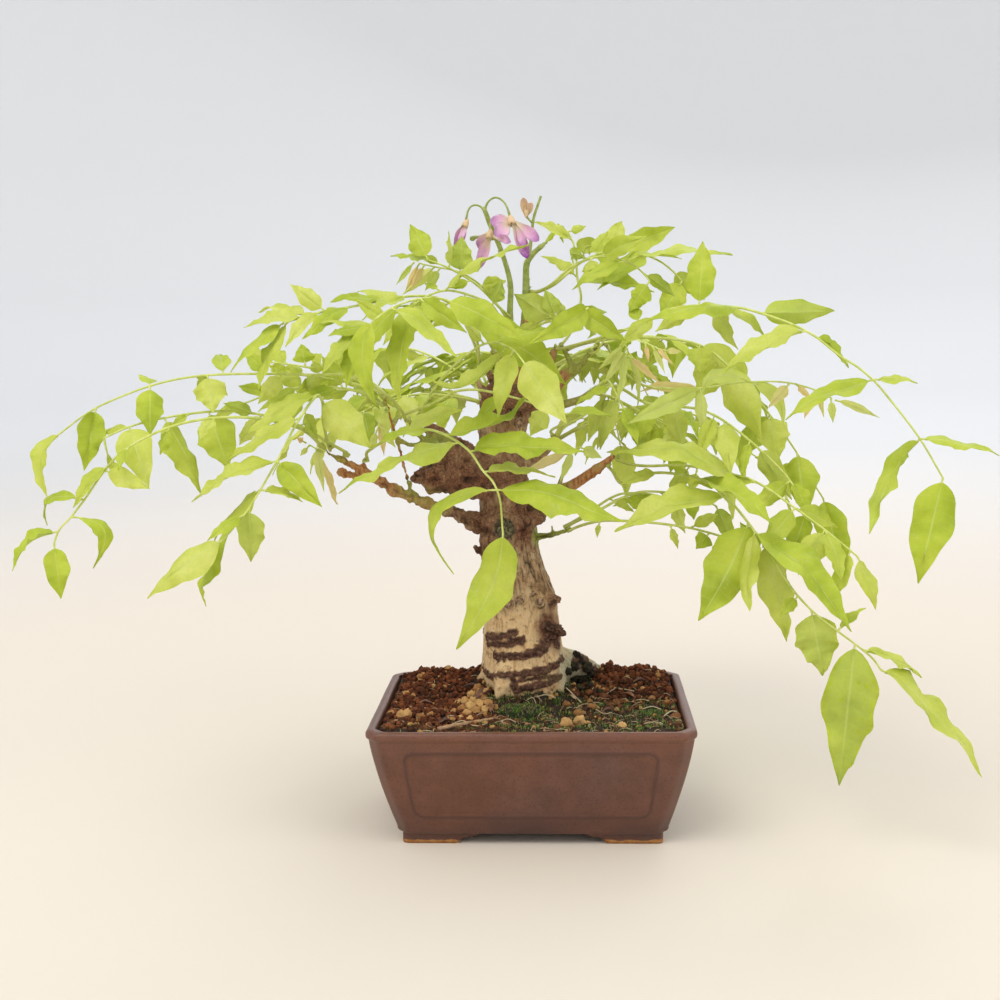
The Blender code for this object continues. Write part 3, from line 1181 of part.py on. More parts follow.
def leaflets_of(frond, path, frames):
    """Each leaflet of a compound leaf, as its place on the path, its tip, width, turn and bend."""
    leaves = []
    pixels = [seen(p) for p in path]
    ratio = YOUNG_RATIO if frond.get("young") else LEAFLET_RATIO
    for row in frond.get("leaves", []):
        px, py, tip_x, tip_y, wide, deeper = row[:6]
        at = min(range(PATH_STEPS + 2, len(path)), key=lambda i: (pixels[i] - Vector((px, py))).length)
        root = path[at]
        tip = place(tip_x, tip_y, root.y + deeper)
        length = (tip - root).length
        seen_width = wide * mm_per_pixel((root + tip) / 2)
        width = max(seen_width, length * ratio)
        bend = place(row[6], row[7], root.y + deeper * 0.5) if len(row) > 6 else None
        turn = math.acos(min(1.0, seen_width / width))
        leaves.append({"at": at, "tip": tip, "width": width, "turn": turn, "bend": bend})
    pairs = frond.get("pairs", 0)
    draw = random.Random(len(path) + round(path[0].x * 10))
    for k in range(pairs):
        at = round(PATH_STEPS + (len(path) - PATH_STEPS - 2) * (0.24 + 0.64 * k / (pairs - 1)))
        way = frames[at][0]
        level = way.cross(Vector((0, 0, 1))).normalized()
        for hand in (-1, 1):
            length = draw.uniform(*PAIR_LENGTHS)
            lean = way * 0.5 + level * hand + Vector((0, 0, draw.uniform(-0.9, -0.4)))
            tip = path[at] + lean.normalized() * length
            leaves.append({"at": at, "tip": tip, "width": length * PAIR_RATIO, "turn": None, "bend": None})
    if pairs:
        lean = frames[-1][0] + Vector((0, 0, -0.6))
        tip = path[-1] + lean.normalized() * END_LEAFLET
        width = END_LEAFLET * PAIR_RATIO
        leaves.append({"at": len(path) - 1, "tip": tip, "width": width, "turn": None, "bend": None})
    return leaves


def seats_near(start, onward, tree):
    """Spots on the wood near start that don't face away from onward, the nearest first, with their normals."""
    toward = (onward - start).normalized()
    for k in range(97):
        ring = 1.5 * (1 + (k - 1) // 12) if k else 0
        angle = math.radians(30 * k + 15 * (k // 12))
        away = (VIEW_RIGHT * math.cos(angle) + Vector((0, 0, 1)) * math.sin(angle)) * ring
        away.y += ring * math.sin(angle * 2.5)
        hit, normal = tree.find_nearest(start + toward * 2 + away)[:2]
        if normal.dot((onward - hit).normalized()) > -0.15:
            yield hit, normal


def seat_stem(frond, tree, taken, crowd):
    """A stem from a free spot on the wood through its own points, bulging in depth where it has to."""
    through = [place(px, py, depth) for px, py, depth in frond["stem"]]
    count = len(through)
    for bulge in STEM_BULGES:
        bulged = [p + Vector((0, bulge * math.sin(math.pi * min(1.0, i / (count - 1)) * 0.8), 0))
                  for i, p in enumerate(through)]
        for hit, normal in seats_near(through[0], bulged[1], tree):
            if any((hit - other).length < SEAT_ROOM for other in taken):
                continue
            toward = (bulged[1] - hit).normalized()
            neck_length = min(4.0, (bulged[1] - hit).length * 0.4)
            neck = hit + (normal * 0.7 + toward * 0.5).normalized() * neck_length
            stem = Stem([hit + normal * SEAT_GAP * 1.25, neck] + bulged[1:], frond)
            form = stem.form(0)
            bmesh.ops.triangulate(form, faces=form.faces[:])
            folded = crossings(form)
            form.free()
            if folded or not crowd.clear(tree_of(stem.form(0.04))):
                continue
            if crowd.clear(tree_of(stem.form(STEM_ROOM, 1))):
                return hit, stem
    return None, None


def plan_stems(wood, crowd):
    """Places every petiole and rachis, each clear of what stands before it."""
    tree = mesh_tree(wood)
    taken = []
    stems = {}
    for name, frond in FRONDS.items():
        hit, stem = seat_stem(frond, tree, taken, crowd)
        if stem is None:
            continue
        taken.append(hit)
        stems[name] = stem
        crowd.add(tree_of(stem.form(0)), name)
    return stems


def upper_side(root, tip, turn, extra):
    """Where the upper face looks: turned from facing the eye by turn, or upwards where turn is None."""
    way = (tip - root).normalized()
    if turn is None:
        face = Vector((0, 0, 1)) - way * way.z
        face = face.normalized() if face.length > 0.2 else way.cross(VIEW_RIGHT).normalized()
        return Matrix.Rotation(extra, 3, way) @ face
    look = ((root + tip) / 2 - EYE).normalized()
    across = way.cross(look).normalized()
    face = across.cross(way)
    if face.dot(look) > 0:
        face = -face
    best = max((face * math.cos(turn) + across * math.sin(turn) * s for s in (-1, 1)), key=lambda n: n.z)
    if best.z < -0.15:
        best = -best
    return Matrix.Rotation(extra, 3, way) @ best


def blades_for(root, leaf, seed, name, crowd):
    """Blades for a leaflet that are clear of all that is placed: as seen, then swung, turned or shortened."""
    for size, extra in BLADE_TRIES:
        for swing in TIP_SWINGS:
            tip = shift_depth(root + (leaf["tip"] - root) * size, swing)
            if (tip - root).length > (leaf["tip"] - root).length * MOST_STRETCH:
                continue
            upper = upper_side(root, tip, leaf["turn"], math.radians(extra))
            arch = 0.12 if leaf["turn"] is None else 0.07
            bend = leaf["bend"] and root + (leaf["bend"] - root) * size
            blade = Blade(root, tip, leaf["width"] * size, upper, bend, arch, wave=BLADE_WAVE, seed=seed)
            if not crowd.clear(tree_of(blade.form(0.4, BLADE_ROOM)), only=name):
                continue
            if crowd.clear(tree_of(blade.form(0.1, BLADE_ROOM)), skip=name):
                yield blade


def crossed_leaflets(name, stem, crowd):
    """The numbers of the leaflets that cross their stem, an earlier leaflet or another piece."""
    form = frond_form(stem)
    form.faces.ensure_lookup_table()
    owners = [face.material_index for face in form.faces]
    found = {max(owners[a], owners[b]) for a, b in crossings(form)}
    tree = BVHTree.FromBMesh(form)
    for (owner, _), (other, _, _) in crowd.placed.items():
        if owner != name:
            found |= {owners[a] for a, _ in tree.overlap(other)}
    form.free()
    return {number - 1 for number in found if number}


def plan_leaflets(stems, crowd):
    """Gives each stem the blades that have room on it."""
    for name, stem in stems.items():
        choices = [blades_for(stem.path[leaf["at"]], leaf, i + len(name), name, crowd)
                   for i, leaf in enumerate(stem.leaves)]
        open_leaves = set(range(len(choices)))
        while open_leaves:
            for i in sorted(open_leaves):
                if i in stem.blades:
                    crowd.remove(name, i)
                    del stem.blades[i]
                blade = next(choices[i], None)
                if blade is None:
                    continue
                crowd.add(tree_of(blade.form(0.05, 0)), name, i)
                stem.blades[i] = blade
            open_leaves = crossed_leaflets(name, stem, crowd)
        for part in [None] + sorted(stem.blades):
            crowd.remove(name, part)
        crowd.add(tree_of(frond_form(stem)), name)


def root_places(stem):
    """Where each leaflet's root opens along the stem: (start, end, {side: leaflet's number}), in order."""
    places = []
    total = stem.reach[-1]
    for s, number in sorted((stem.root_reach(i), i) for i in stem.blades):
        if s > total - 0.01:
            continue
        blade = stem.blades[number]
        _, way, up = stem.section(s)
        side = way.cross(up)
        aim = blade.centre(blade.stations()[0][0]) - blade.root
        sides = {0: up * 0.5 - side * 0.87, 1: -up, 2: up * 0.5 + side * 0.87}
        ranked = sorted(sides, key=lambda k: -sides[k].dot(aim))
        if places and s - LEAFLET_ROOT / 2 < places[-1][1] + 0.7:
            free = [k for k in ranked[:2] if k not in places[-1][2]]
            if free:
                places[-1][2][free[0]] = number
                continue
        start = max(s - LEAFLET_ROOT / 2, places[-1][1] + 0.5 if places else 4.0)
        places.append((start, start + LEAFLET_ROOT, {ranked[0]: number}))
    while places and places[-1][1] > total - 0.5:
        start, end, found = places.pop()
        back = end - (total - 0.5)
        if not places or start - back > places[-1][1] + 0.2:
            places.append((start - back, end - back, found))
    return places


def mark_since(form, count, number):
    """Marks the faces made since there were count of them as a leaflet's."""
    form.faces.ensure_lookup_table()
    for face in form.faces[count:]:
        face.material_index = number + 1


def grow_leaflet(form, root_loop, blade):
    """A leaflet that grows from four points of its stem."""
    rings = [[form.verts.new(p) for p in blade.ring(f, share)] for f, share in blade.stations()]
    join_loops(form, root_loop, rings[0])
    for a, b in zip(rings, rings[1:]):
        bridge(form, a, b)
    close_tip(form, rings[-1], form.verts.new(blade.tip))


def join_loops(form, loop, ring):
    """Joins two four-point loops, each point to the one it lies nearest in direction."""
    middle = sum((v.co for v in loop), Vector()) / 4
    centre = sum((v.co for v in ring), Vector()) / 4
    way = (centre - middle).normalized()

    def spin(verts, about):
        crosses = [(a.co - about).cross(b.co - about) for a, b in zip(verts, verts[1:] + verts[:1])]
        return sum(crosses, Vector()).dot(way)

    if spin(loop, middle) * spin(ring, centre) < 0:
        loop = loop[::-1]

    def fit(shift):
        return sum((loop[(k + shift) % 4].co - middle).normalized().dot((ring[k].co - centre).normalized())
                   for k in range(4))

    best = max(range(4), key=fit)
    loop = [loop[(k + best) % 4] for k in range(4)]
    for k in range(4):
        n = (k + 1) % 4
        form.faces.new((loop[k], loop[n], ring[n]))
        form.faces.new((loop[k], ring[n], ring[k]))


def end_leaflet(form, ring, blade):
    """The leaflet at the end of a stem, grown from its three-sided end."""
    rings = [[form.verts.new(p) for p in blade.ring(f, share)] for f, share in blade.stations()]
    middle = sum((v.co for v in ring), Vector()) / 3
    centre = sum((v.co for v in rings[0]), Vector()) / 4
    _, right, up = blade.frame(0.1)

    def angle(v, about):
        return math.atan2((v.co - about).dot(up), (v.co - about).dot(right))

    three = sorted(ring, key=lambda v: angle(v, middle))
    four = sorted(rings[0], key=lambda v: angle(v, centre))

    def misfit(turn):
        near = (angle(four[turn], centre) - angle(three[0], middle) + math.pi) % (2 * math.pi) - math.pi
        return abs(near)

    turn = min(range(4), key=misfit)
    four = four[turn:] + four[:turn]
    # Going round, each step takes the next point of one section, and the first of the three meets two.
    steps = [(0, 0), (0, 1), (1, 1), (1, 2), (2, 2), (2, 3), (0, 3), (0, 0)]
    for (i, j), (m, n) in zip(steps, steps[1:]):
        form.faces.new(list(dict.fromkeys((three[i], four[j], four[n], three[m]))))
    for a, b in zip(rings, rings[1:]):
        bridge(form, a, b)
    close_tip(form, rings[-1], form.verts.new(blade.tip))


def frond_form(stem):
    """A compound leaf as one closed shape: its petiole and rachis, with the leaflets grown from them."""
    places = root_places(stem)
    marks = {s for s in stem.reach if all(not start - 0.4 < s < end + 0.4 for start, end, _ in places)}
    marks = sorted(marks | {start for start, _, _ in places} | {end for _, end, _ in places})
    form = bmesh.new()
    rings = [[form.verts.new(p) for p in stem.section(s)[0]] for s in marks]
    grown = {start: found for start, _, found in places}
    for s, a, b in zip(marks, rings, rings[1:]):
        for k in range(3):
            n = (k + 1) % 3
            if k in grown.get(s, ()):
                count = len(form.faces)
                grow_leaflet(form, [a[k], a[n], b[n], b[k]], stem.blades[grown[s][k]])
                mark_since(form, count, grown[s][k])
                continue
            form.faces.new((a[k], a[n], b[n]))
            form.faces.new((a[k], b[n], b[k]))
    form.faces.new(rings[0])
    last = [i for i in stem.blades if stem.root_reach(i) >= stem.reach[-1] - 0.01]
    if last:
        count = len(form.faces)
        end_leaflet(form, rings[-1], stem.blades[last[0]])
        mark_since(form, count, last[0])
    else:
        form.faces.new(rings[-1])
    form.verts.index_update()
    form.faces.index_update()
    return form


def make_frond(name, stem):
    form = frond_form(stem)
    for face in form.faces:
        face.material_index = 0
    return solid(f"frond_{name}", form, "young_leaf" if FRONDS[name].get("young") else "leaf")


def make_flower_stems(wood, crowd):
    """The green flower stalks, each with its stalklets, as one piece standing just off the shoot."""
    tree = mesh_tree(wood)
    for name, rows in FLOWER_STEMS.items():
        main = placed(rows[0])
        hit, normal = tree.find_nearest(main[0][0])[:2]
        main[0] = (hit + normal * SEAT_GAP, main[0][1])
        parts = [tube(name, main, 6)]
        parts += [tube(f"{name}_{i}", placed(row), 4) for i, row in enumerate(rows[1:])]
        combine(parts[0], parts[1:], "UNION")
        dress(parts[0], "stem")
        crowd.add(object_entry(parts[0]), name)


def clearance(one, other):
    """The least distance from the corners of either shape to the other's surface."""
    from_one = min(mesh_tree(other).find_nearest(v.co / MM)[3] for v in one.data.vertices)
    from_other = min(mesh_tree(one).find_nearest(v.co / MM)[3] for v in other.data.vertices)
    return min(from_one, from_other)


def make_blooms(crowd):
    """Pea flowers and buds: a calyx with its petals joined to it, a seat's gap off its stalklet."""
    stalks = [bpy.data.objects[name] for name in FLOWER_STEMS]
    for name, bloom in BLOOMS.items():
        px, py, depth, radius = bloom["calyx"]
        centre = place(px, py, depth)
        stalk = min(stalks, key=lambda piece: mesh_tree(piece).find_nearest(centre)[3])
        hit = mesh_tree(stalk).find_nearest(centre)[0]
        away = (centre - hit).normalized()
        centre = hit + away * (radius * 1.25 + SEAT_GAP * 1.5)
        body = lump(name, centre, radius, 3, 1, 1, 0.1)
        inward = away * (SEAT_GAP - clearance(body, stalk))
        centre += inward
        for v in body.data.vertices:
            v.co += inward * MM
        parts = []
        for i, (ax, ay, ad, bx, by, bd, wide, thick) in enumerate(bloom["petals"]):
            root = place(ax, ay, ad)
            tip = place(bx, by, bd)
            upper = upper_side(root, tip, 0.5, 0)
            blade = Blade(centre.lerp(root, 0.5), tip, wide, upper, None, 0.1, thick, 0.03, i)
            form = blade.form(0.1, 0)
            bmesh.ops.triangulate(form, faces=form.faces[:])
            petal = solid(f"{name}_petal_{i}", form, bloom["colour"])
            bonsai.objects.unlink(petal)
            helpers.objects.link(petal)
            parts.append(petal)
        combine(body, parts, "UNION")
        dress(body, bloom["colour"])
        crowd.add(object_entry(body), name)


def seat_all():
    """Puts every piece under one empty, so that the origin is under the whole's middle, at its foot."""
    bpy.context.view_layer.update()
    pieces = [piece for piece in bonsai.objects if piece.type == "MESH"]
    corners = [piece.matrix_world @ v.co for piece in pieces for v in piece.data.vertices]
    low = [min(c[k] for c in corners) for k in range(3)]
    high = [max(c[k] for c in corners) for k in range(3)]
    seat = bpy.data.objects.new("seat", None)
    bonsai.objects.link(seat)
    seat.location = (-(low[0] + high[0]) / 2, -(low[1] + high[1]) / 2, -low[2])
    for piece in pieces:
        piece.parent = seat


clear_scene()
bonsai = bpy.data.collections.new("wisteria_bonsai")
helpers = bpy.data.collections.new("helpers")
bpy.context.scene.collection.children.link(bonsai)
bpy.context.scene.collection.children.link(helpers)

pot_piece = make_pot()
make_screens()
soil_piece = make_soil()
bury(soil_piece)
wood_piece = make_wood()
everything = Crowd()
for thing in list(bonsai.objects):
    everything.add(object_entry(thing), thing.name)
make_flower_stems(wood_piece, everything)
make_blooms(everything)
all_stems = plan_stems(wood_piece, everything)
plan_leaflets(all_stems, everything)
for frond_name, frond_stem in all_stems.items():
    make_frond(frond_name, frond_stem)
seat_all()
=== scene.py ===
"""A Japanese wisteria bonsai in its glazed pot, in leaf and with a few late flowers.

Every shape is worked out in millimetres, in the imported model's own frame, and written in metres.
"""

import heapq
import json
import math
import random

import bmesh
import bpy
import numpy as np
from mathutils import Matrix, Vector, noise
from mathutils.bvhtree import BVHTree

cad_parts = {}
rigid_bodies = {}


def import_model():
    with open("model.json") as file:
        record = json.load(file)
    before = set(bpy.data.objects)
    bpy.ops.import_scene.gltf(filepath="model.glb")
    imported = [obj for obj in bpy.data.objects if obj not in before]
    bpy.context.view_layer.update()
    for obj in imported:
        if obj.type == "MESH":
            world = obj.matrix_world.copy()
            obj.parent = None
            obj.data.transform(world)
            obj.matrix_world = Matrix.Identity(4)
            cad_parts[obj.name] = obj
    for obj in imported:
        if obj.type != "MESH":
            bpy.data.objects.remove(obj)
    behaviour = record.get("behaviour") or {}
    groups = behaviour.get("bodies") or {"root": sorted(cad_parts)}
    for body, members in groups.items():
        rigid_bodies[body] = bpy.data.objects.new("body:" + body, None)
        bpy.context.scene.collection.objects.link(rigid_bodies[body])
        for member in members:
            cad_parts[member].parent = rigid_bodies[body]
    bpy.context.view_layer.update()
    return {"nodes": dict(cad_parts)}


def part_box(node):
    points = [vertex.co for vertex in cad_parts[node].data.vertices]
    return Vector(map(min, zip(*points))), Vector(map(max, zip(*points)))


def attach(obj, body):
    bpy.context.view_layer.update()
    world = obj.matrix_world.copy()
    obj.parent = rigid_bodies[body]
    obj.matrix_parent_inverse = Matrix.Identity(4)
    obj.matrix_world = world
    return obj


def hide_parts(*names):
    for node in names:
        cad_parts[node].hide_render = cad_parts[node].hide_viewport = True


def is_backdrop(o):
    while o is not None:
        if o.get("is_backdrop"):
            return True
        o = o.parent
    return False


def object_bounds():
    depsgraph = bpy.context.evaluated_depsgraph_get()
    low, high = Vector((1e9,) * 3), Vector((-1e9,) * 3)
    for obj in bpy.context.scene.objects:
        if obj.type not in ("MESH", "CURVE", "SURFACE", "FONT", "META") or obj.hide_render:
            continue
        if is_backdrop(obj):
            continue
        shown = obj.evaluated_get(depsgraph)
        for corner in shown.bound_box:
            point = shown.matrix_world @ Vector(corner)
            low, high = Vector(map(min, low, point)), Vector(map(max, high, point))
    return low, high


for stray in list(bpy.data.objects):
    bpy.data.objects.remove(stray)
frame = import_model()

# The view: a camera a little above the pot's rim, which looks slightly down and to the left.
# Pieces that lie on the soil or the bark are placed where this view shows them, by their pixels.
pot_low, pot_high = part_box("pot")
POT_MIDDLE = Vector((pot_low.x + pot_high.x, pot_low.y + pot_high.y, 0)) * 500
EYE = Vector((19.64, -728.69, 276.61)) + POT_MIDDLE
YAW = math.radians(-2.856)
PITCH = math.radians(7.609)
ROLL = math.radians(-0.921)
FOCAL = 1334.678
FRAME_WIDTH = 1000
FORWARD = Vector((math.sin(YAW) * math.cos(PITCH), math.cos(YAW) * math.cos(PITCH), -math.sin(PITCH)))
LEVEL = Vector((math.cos(YAW), -math.sin(YAW), 0))
ROLLED = Matrix.Rotation(-ROLL, 3, FORWARD)
RIGHTWARD = ROLLED @ LEVEL
UPWARD = ROLLED @ LEVEL.cross(FORWARD)


def ray_of(px, py):
    """The direction in which the camera sees a pixel."""
    across = (px - FRAME_WIDTH / 2) / FOCAL
    down = (py - FRAME_WIDTH / 2) / FOCAL
    return FORWARD + RIGHTWARD * across - UPWARD * down


def place(px, py, depth):
    """The point seen at a pixel, that far behind the pot's middle."""
    ray = ray_of(px, py)
    return EYE + ray * ((depth + POT_MIDDLE.y - EYE.y) / ray.y)


lens = bpy.data.cameras.new("camera")
lens.sensor_width = 36
lens.lens = FOCAL / FRAME_WIDTH * 36
lens.clip_start = 0.01
camera = bpy.data.objects.new("camera", lens)
aim = Matrix((RIGHTWARD, UPWARD, -FORWARD)).transposed().to_4x4()
aim.translation = EYE / 1000
camera.matrix_world = aim
bpy.context.scene.collection.objects.link(camera)
bpy.context.scene.camera = camera

# The pot: stoneware, pressed in a mould, with bowed walls under a proud lip, a fine raised line round
# each wall's panel, and four bracket feet. Its glaze is a satin brown that breaks to slate on edges, with a
# painted bluish sheen on the lip.
LENGTH = 173.5
DEPTH = 126.0
HEIGHT = 65.9
WALL = 5.5
FLOOR_LOW = 6.0
FLOOR_HIGH = 12.0
TAPER = 15.4
CORNER_CUT = 6.2
CORNER_EASE = 2.2
LINE_PROUD = 0.62
LINE_HALF_WIDTH = 0.8


def colour(code):
    """An sRGB hex colour as Blender's linear red, green, blue and alpha."""
    parts = [int(code[i:i + 2], 16) / 255 for i in (1, 3, 5)]
    return (*(p / 12.92 if p <= 0.04045 else ((p + 0.055) / 1.055) ** 2.4 for p in parts), 1)


def add(tree, kind, *values, out=0, stops=(), **settings):
    """Adds a shader node and gives one of its outputs. Values go to its sockets in order, or by name."""
    node = tree.nodes.new("ShaderNode" + kind)
    for name, value in list(enumerate(values)) + list(settings.items()):
        if isinstance(name, str):
            name = name if hasattr(node, name) else name.replace("_", " ")
        value = colour(value) if isinstance(value, str) and value.startswith("#") else value
        if isinstance(value, bpy.types.NodeSocket):
            tree.links.new(value, node.inputs[name])
        elif isinstance(name, str) and hasattr(node, name):
            setattr(node, name, value)
        else:
            node.inputs[name].default_value = value
    for i, (place_on_ramp, code) in enumerate(stops):
        while len(node.color_ramp.elements) <= i:
            node.color_ramp.elements.new(0.5)
        node.color_ramp.elements[i].position = place_on_ramp
        node.color_ramp.elements[i].color = colour(code)
    return node.outputs[out] if node.outputs else None


def new_material(name):
    """An empty material and its node tree."""
    made = bpy.data.materials.new(name)
    made.use_nodes = True
    made.node_tree.nodes.clear()
    return made, made.node_tree


def piece(name, points, faces, finishes, marks=None, which=None, smooth=True):
    """A mesh in metres from points in millimetres, which rides with the pot."""
    mesh = bpy.data.meshes.new(name)
    mesh.from_pydata((np.asarray(points, float) / 1000).tolist(), [], faces)
    for finish in finishes:
        mesh.materials.append(finish)
    if which is not None:
        mesh.polygons.foreach_set("material_index", np.asarray(which, np.int32))
    mesh.polygons.foreach_set("use_smooth", np.full(len(mesh.polygons), smooth))
    for mark, values in (marks or {}).items():
        layer = mesh.attributes.new(mark, "FLOAT", "POINT")
        layer.data.foreach_set("value", np.asarray(values, np.float32))
    mesh.update()
    made = bpy.data.objects.new(name, mesh)
    bpy.context.scene.collection.objects.link(made)
    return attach(made, "root")


def wall_in(z):
    """How far the bowed wall has come in at a height."""
    return TAPER * max(0.0, 1 - z / (HEIGHT - 2)) ** 1.35


def pot_ring(inset, z, cut, steps=(128, 4, 88)):
    """The pot's outline at a height: a rectangle with eased, cut corners, and each point's outward way."""
    half_x, half_y = LENGTH / 2 - inset, DEPTH / 2 - inset
    corners = [(half_x, half_y - cut), (half_x - cut, half_y), (cut - half_x, half_y),
               (-half_x, half_y - cut), (-half_x, cut - half_y), (cut - half_x, -half_y),
               (half_x - cut, -half_y), (half_x, cut - half_y)]
    corners = [Vector(corner) for corner in corners]
    ease = min(CORNER_EASE, cut * 0.45)
    points = []
    for i, corner in enumerate(corners):
        before, after = corners[i - 1], corners[(i + 1) % 8]
        start = corner + (before - corner).normalized() * ease
        end = corner + (after - corner).normalized() * ease
        points += [start.lerp(corner, k / 5).lerp(corner.lerp(end, k / 5), k / 5) for k in range(5)]
        onward = after + (corner - after).normalized() * ease
        count = steps[(1, 0, 1, 2, 1, 0, 1, 2)[i]]
        points += [end.lerp(onward, k / count) for k in range(count)]
    ring = np.array([(*p, z) for p in points])
    ways = np.roll(ring, -1, 0) - np.roll(ring, 1, 0)
    out = np.stack([ways[:, 1], -ways[:, 0], np.zeros(len(ring))], 1)
    return ring, out / np.linalg.norm(out, axis=1)[:, None]


def panel_line(x, z, half_top, half_low):
    """How proud the panel's raised line stands at a place on a wall."""
    low, high, turn = 16.5, 54.3, 5.5
    half = half_low + (half_top - half_low) * (z - low) / (high - low)
    qx = np.abs(x) - half + turn
    qz = np.abs(z - (low + high) / 2) - (high - low) / 2 + turn
    away = np.hypot(np.maximum(qx, 0), np.maximum(qz, 0)) + np.minimum(np.maximum(qx, qz), 0) - turn
    return LINE_PROUD * np.exp(-(away / LINE_HALF_WIDTH) ** 2) - 0.18 * np.exp(-((away + 1.9) / 1.1) ** 2)


def uneven(points, size, seed):
    """Smooth random numbers about -1 to 1 at each point."""
    shift = Vector((seed * 7.3, seed * 2.9, seed * 5.1))
    return np.array([noise.noise(Vector(p) / size + shift) for p in points])


wall_heights = [7.2] + list(np.arange(8.5, 60, 1.05)) + [60.2]
profile = [(FLOOR_LOW, wall_in(6) + 3.5), (FLOOR_LOW, wall_in(6) + 1.5), (6.3, wall_in(6.3) + 0.9)]
profile += [(z, wall_in(z) + (0.75 if z < 8 else 1.1)) for z in wall_heights]
profile += [(60.9, 1.0), (61.4, 0.5), (61.9, 0.18), (62.6, 0.04), (63.5, 0), (64.4, 0.1), (65.1, 0.45),
            (65.6, 1.05), (65.85, 1.8), (HEIGHT, 2.7), (65.8, 3.6), (65.5, 4.4), (64.9, 5.0), (64, 5.3),
            (62.5, 5.5), (58, WALL + wall_in(58)), (50, WALL + wall_in(50)), (34, WALL + wall_in(34)),
            (FLOOR_HIGH + 1, WALL + wall_in(13)), (FLOOR_HIGH, WALL + wall_in(12) + 1.5)]
rings = []
on_line = []
for z, inset in profile:
    inside = (z, inset) in profile[-8:]
    ring, out = pot_ring(inset, z, CORNER_CUT - (2.6 if inside else 0))
    line = np.zeros(len(ring))
    if 8 < z < 60.5 and not inside:
        line = np.where(np.abs(out[:, 1]) > 0.999, panel_line(ring[:, 0], z, 66.6, 62), 0)
        line += np.where(np.abs(out[:, 0]) > 0.999, panel_line(ring[:, 1], z, 44, 40), 0)
        ring += out * (line + 0.16 * uneven(ring, 17, 1))[:, None]
    elif z >= 60.5 and not inside:
        ring += out * (0.12 * uneven(ring * (1, 1, 0), 23, 2) - 0.1)[:, None]
        ring[:, 2] += 0.12 * uneven(ring * (1, 1, 0), 30, 3) - 0.1
    rings.append(ring)
    on_line.append(np.maximum(line, 0) / LINE_PROUD)
count = len(rings[0])
points = np.concatenate(rings + [[(0, 0, FLOOR_LOW)], [(0, 0, FLOOR_HIGH)]])
faces = [(r * count + k, r * count + (k + 1) % count, (r + 1) * count + (k + 1) % count,
          (r + 1) * count + k)
         for r in range(len(rings) - 1) for k in range(count)]
last = (len(rings) - 1) * count
faces += [(len(points) - 2, (k + 1) % count, k) for k in range(count)]
faces += [(len(points) - 1, last + k, last + (k + 1) % count) for k in range(count)]

glaze, tree = new_material("satin_brown_stoneware_glaze")
# An iron glaze, dipped and fired: warm brown where thin, plum in broad patches, darker towards the foot and
# lighter just under the lip, and slate on the lip, partly where the glaze broke and partly a painted bluish
# sheen, with fine crystals of about half a millimetre. Its feet were wiped clean to orange clay.
at = add(tree, "TexCoord", out="Object")
height = add(tree, "SeparateXYZ", at, out="Z")
broad = add(tree, "TexNoise", at, Scale=500 / 30, Detail=2, Roughness=0.5)
drift = add(tree, "TexNoise", at, Scale=500 / 12, Detail=3)
patchy = add(tree, "TexNoise", at, Scale=500 / 6, Detail=5, Roughness=0.65, Distortion=0.3)
speckle = add(tree, "TexNoise", at, Scale=500 / 0.7, Detail=3, Roughness=0.7)
brown = add(tree, "ValToRGB", patchy, stops=[(0.3, "#5E3825"), (0.5, "#683F2C"), (0.72, "#724733")])
plum = add(tree, "ValToRGB", patchy, stops=[(0.3, "#51362E"), (0.55, "#5D4038"), (0.75, "#654840")])
skin = add(tree, "MixRGB", add(tree, "MapRange", broad, 0.4, 0.85), brown, plum)
# The slate on the lip is partly the glaze breaking on its edge and partly a painted bluish sheen. The sheen
# is stronger on faces turned away from the camera.
sheen_facing = add(tree, "SeparateXYZ", add(tree, "NewGeometry", out="Normal"), out="Y")
sheen_facing = add(tree, "MapRange", sheen_facing, -0.2, 0.5, 0.35, 1)
thick = add(tree, "Math", add(tree, "MapRange", height, 0.0615, 0.0655), sheen_facing, operation="MULTIPLY")
thick = add(tree, "MapRange", add(tree, "Math", thick, drift, operation="MULTIPLY"), 0.16, 0.6)
slate = add(tree, "ValToRGB", speckle, stops=[(0.35, "#6E5C5B"), (0.65, "#8B7B7B")])
skin = add(tree, "MixRGB", thick, skin, slate)
# The glaze is made darker towards the foot and a little lighter just under the lip.
darker_low = add(tree, "Math", add(tree, "MapRange", height, 0.026, 0.008), broad, operation="MULTIPLY")
skin = add(tree, "MixRGB", add(tree, "MapRange", darker_low, 0.15, 0.6), skin, "#4B3028")
skin = add(tree, "MixRGB", add(tree, "MapRange", height, 0.053, 0.0615, 0, 0.3), skin, "#84533E")
skin = add(tree, "MixRGB", add(tree, "MapRange", speckle, 0.52, 0.7, 0, 0.5), skin, "#3A231C")
skin = add(tree, "MixRGB", add(tree, "Attribute", attribute_name="line", out="Fac"), skin, "#492B22")
ragged = add(tree, "MapRange", add(tree, "TexNoise", at, Scale=500 / 5, Detail=3), 0.3, 0.7, -0.0009,
             0.0009)
bare = add(tree, "MapRange", add(tree, "Math", height, ragged, operation="ADD"), 0.0024, 0.0018)
clay = add(tree, "TexNoise", at, Scale=500 / 1.5, Detail=4)
clay = add(tree, "ValToRGB", clay, stops=[(0.35, "#94602C"), (0.65, "#B58046")])
gloss = add(tree, "MapRange", add(tree, "Math", bare, patchy, operation="ADD"), 0.3, 1.3, 0.3, 0.8)
relief = add(tree, "Bump", Height=add(tree, "Math", patchy, speckle, operation="ADD"), Strength=0.12,
             Distance=0.0006)
body = add(tree, "BsdfPrincipled", Base_Color=add(tree, "MixRGB", bare, skin, clay), IOR=1.5,
           Roughness=gloss,
           Normal=relief)
add(tree, "OutputMaterial", body)

pot = piece("glazed_pot", points + np.array(POT_MIDDLE), faces, [glaze],
            {"line": np.concatenate(on_line + [[0, 0]])})


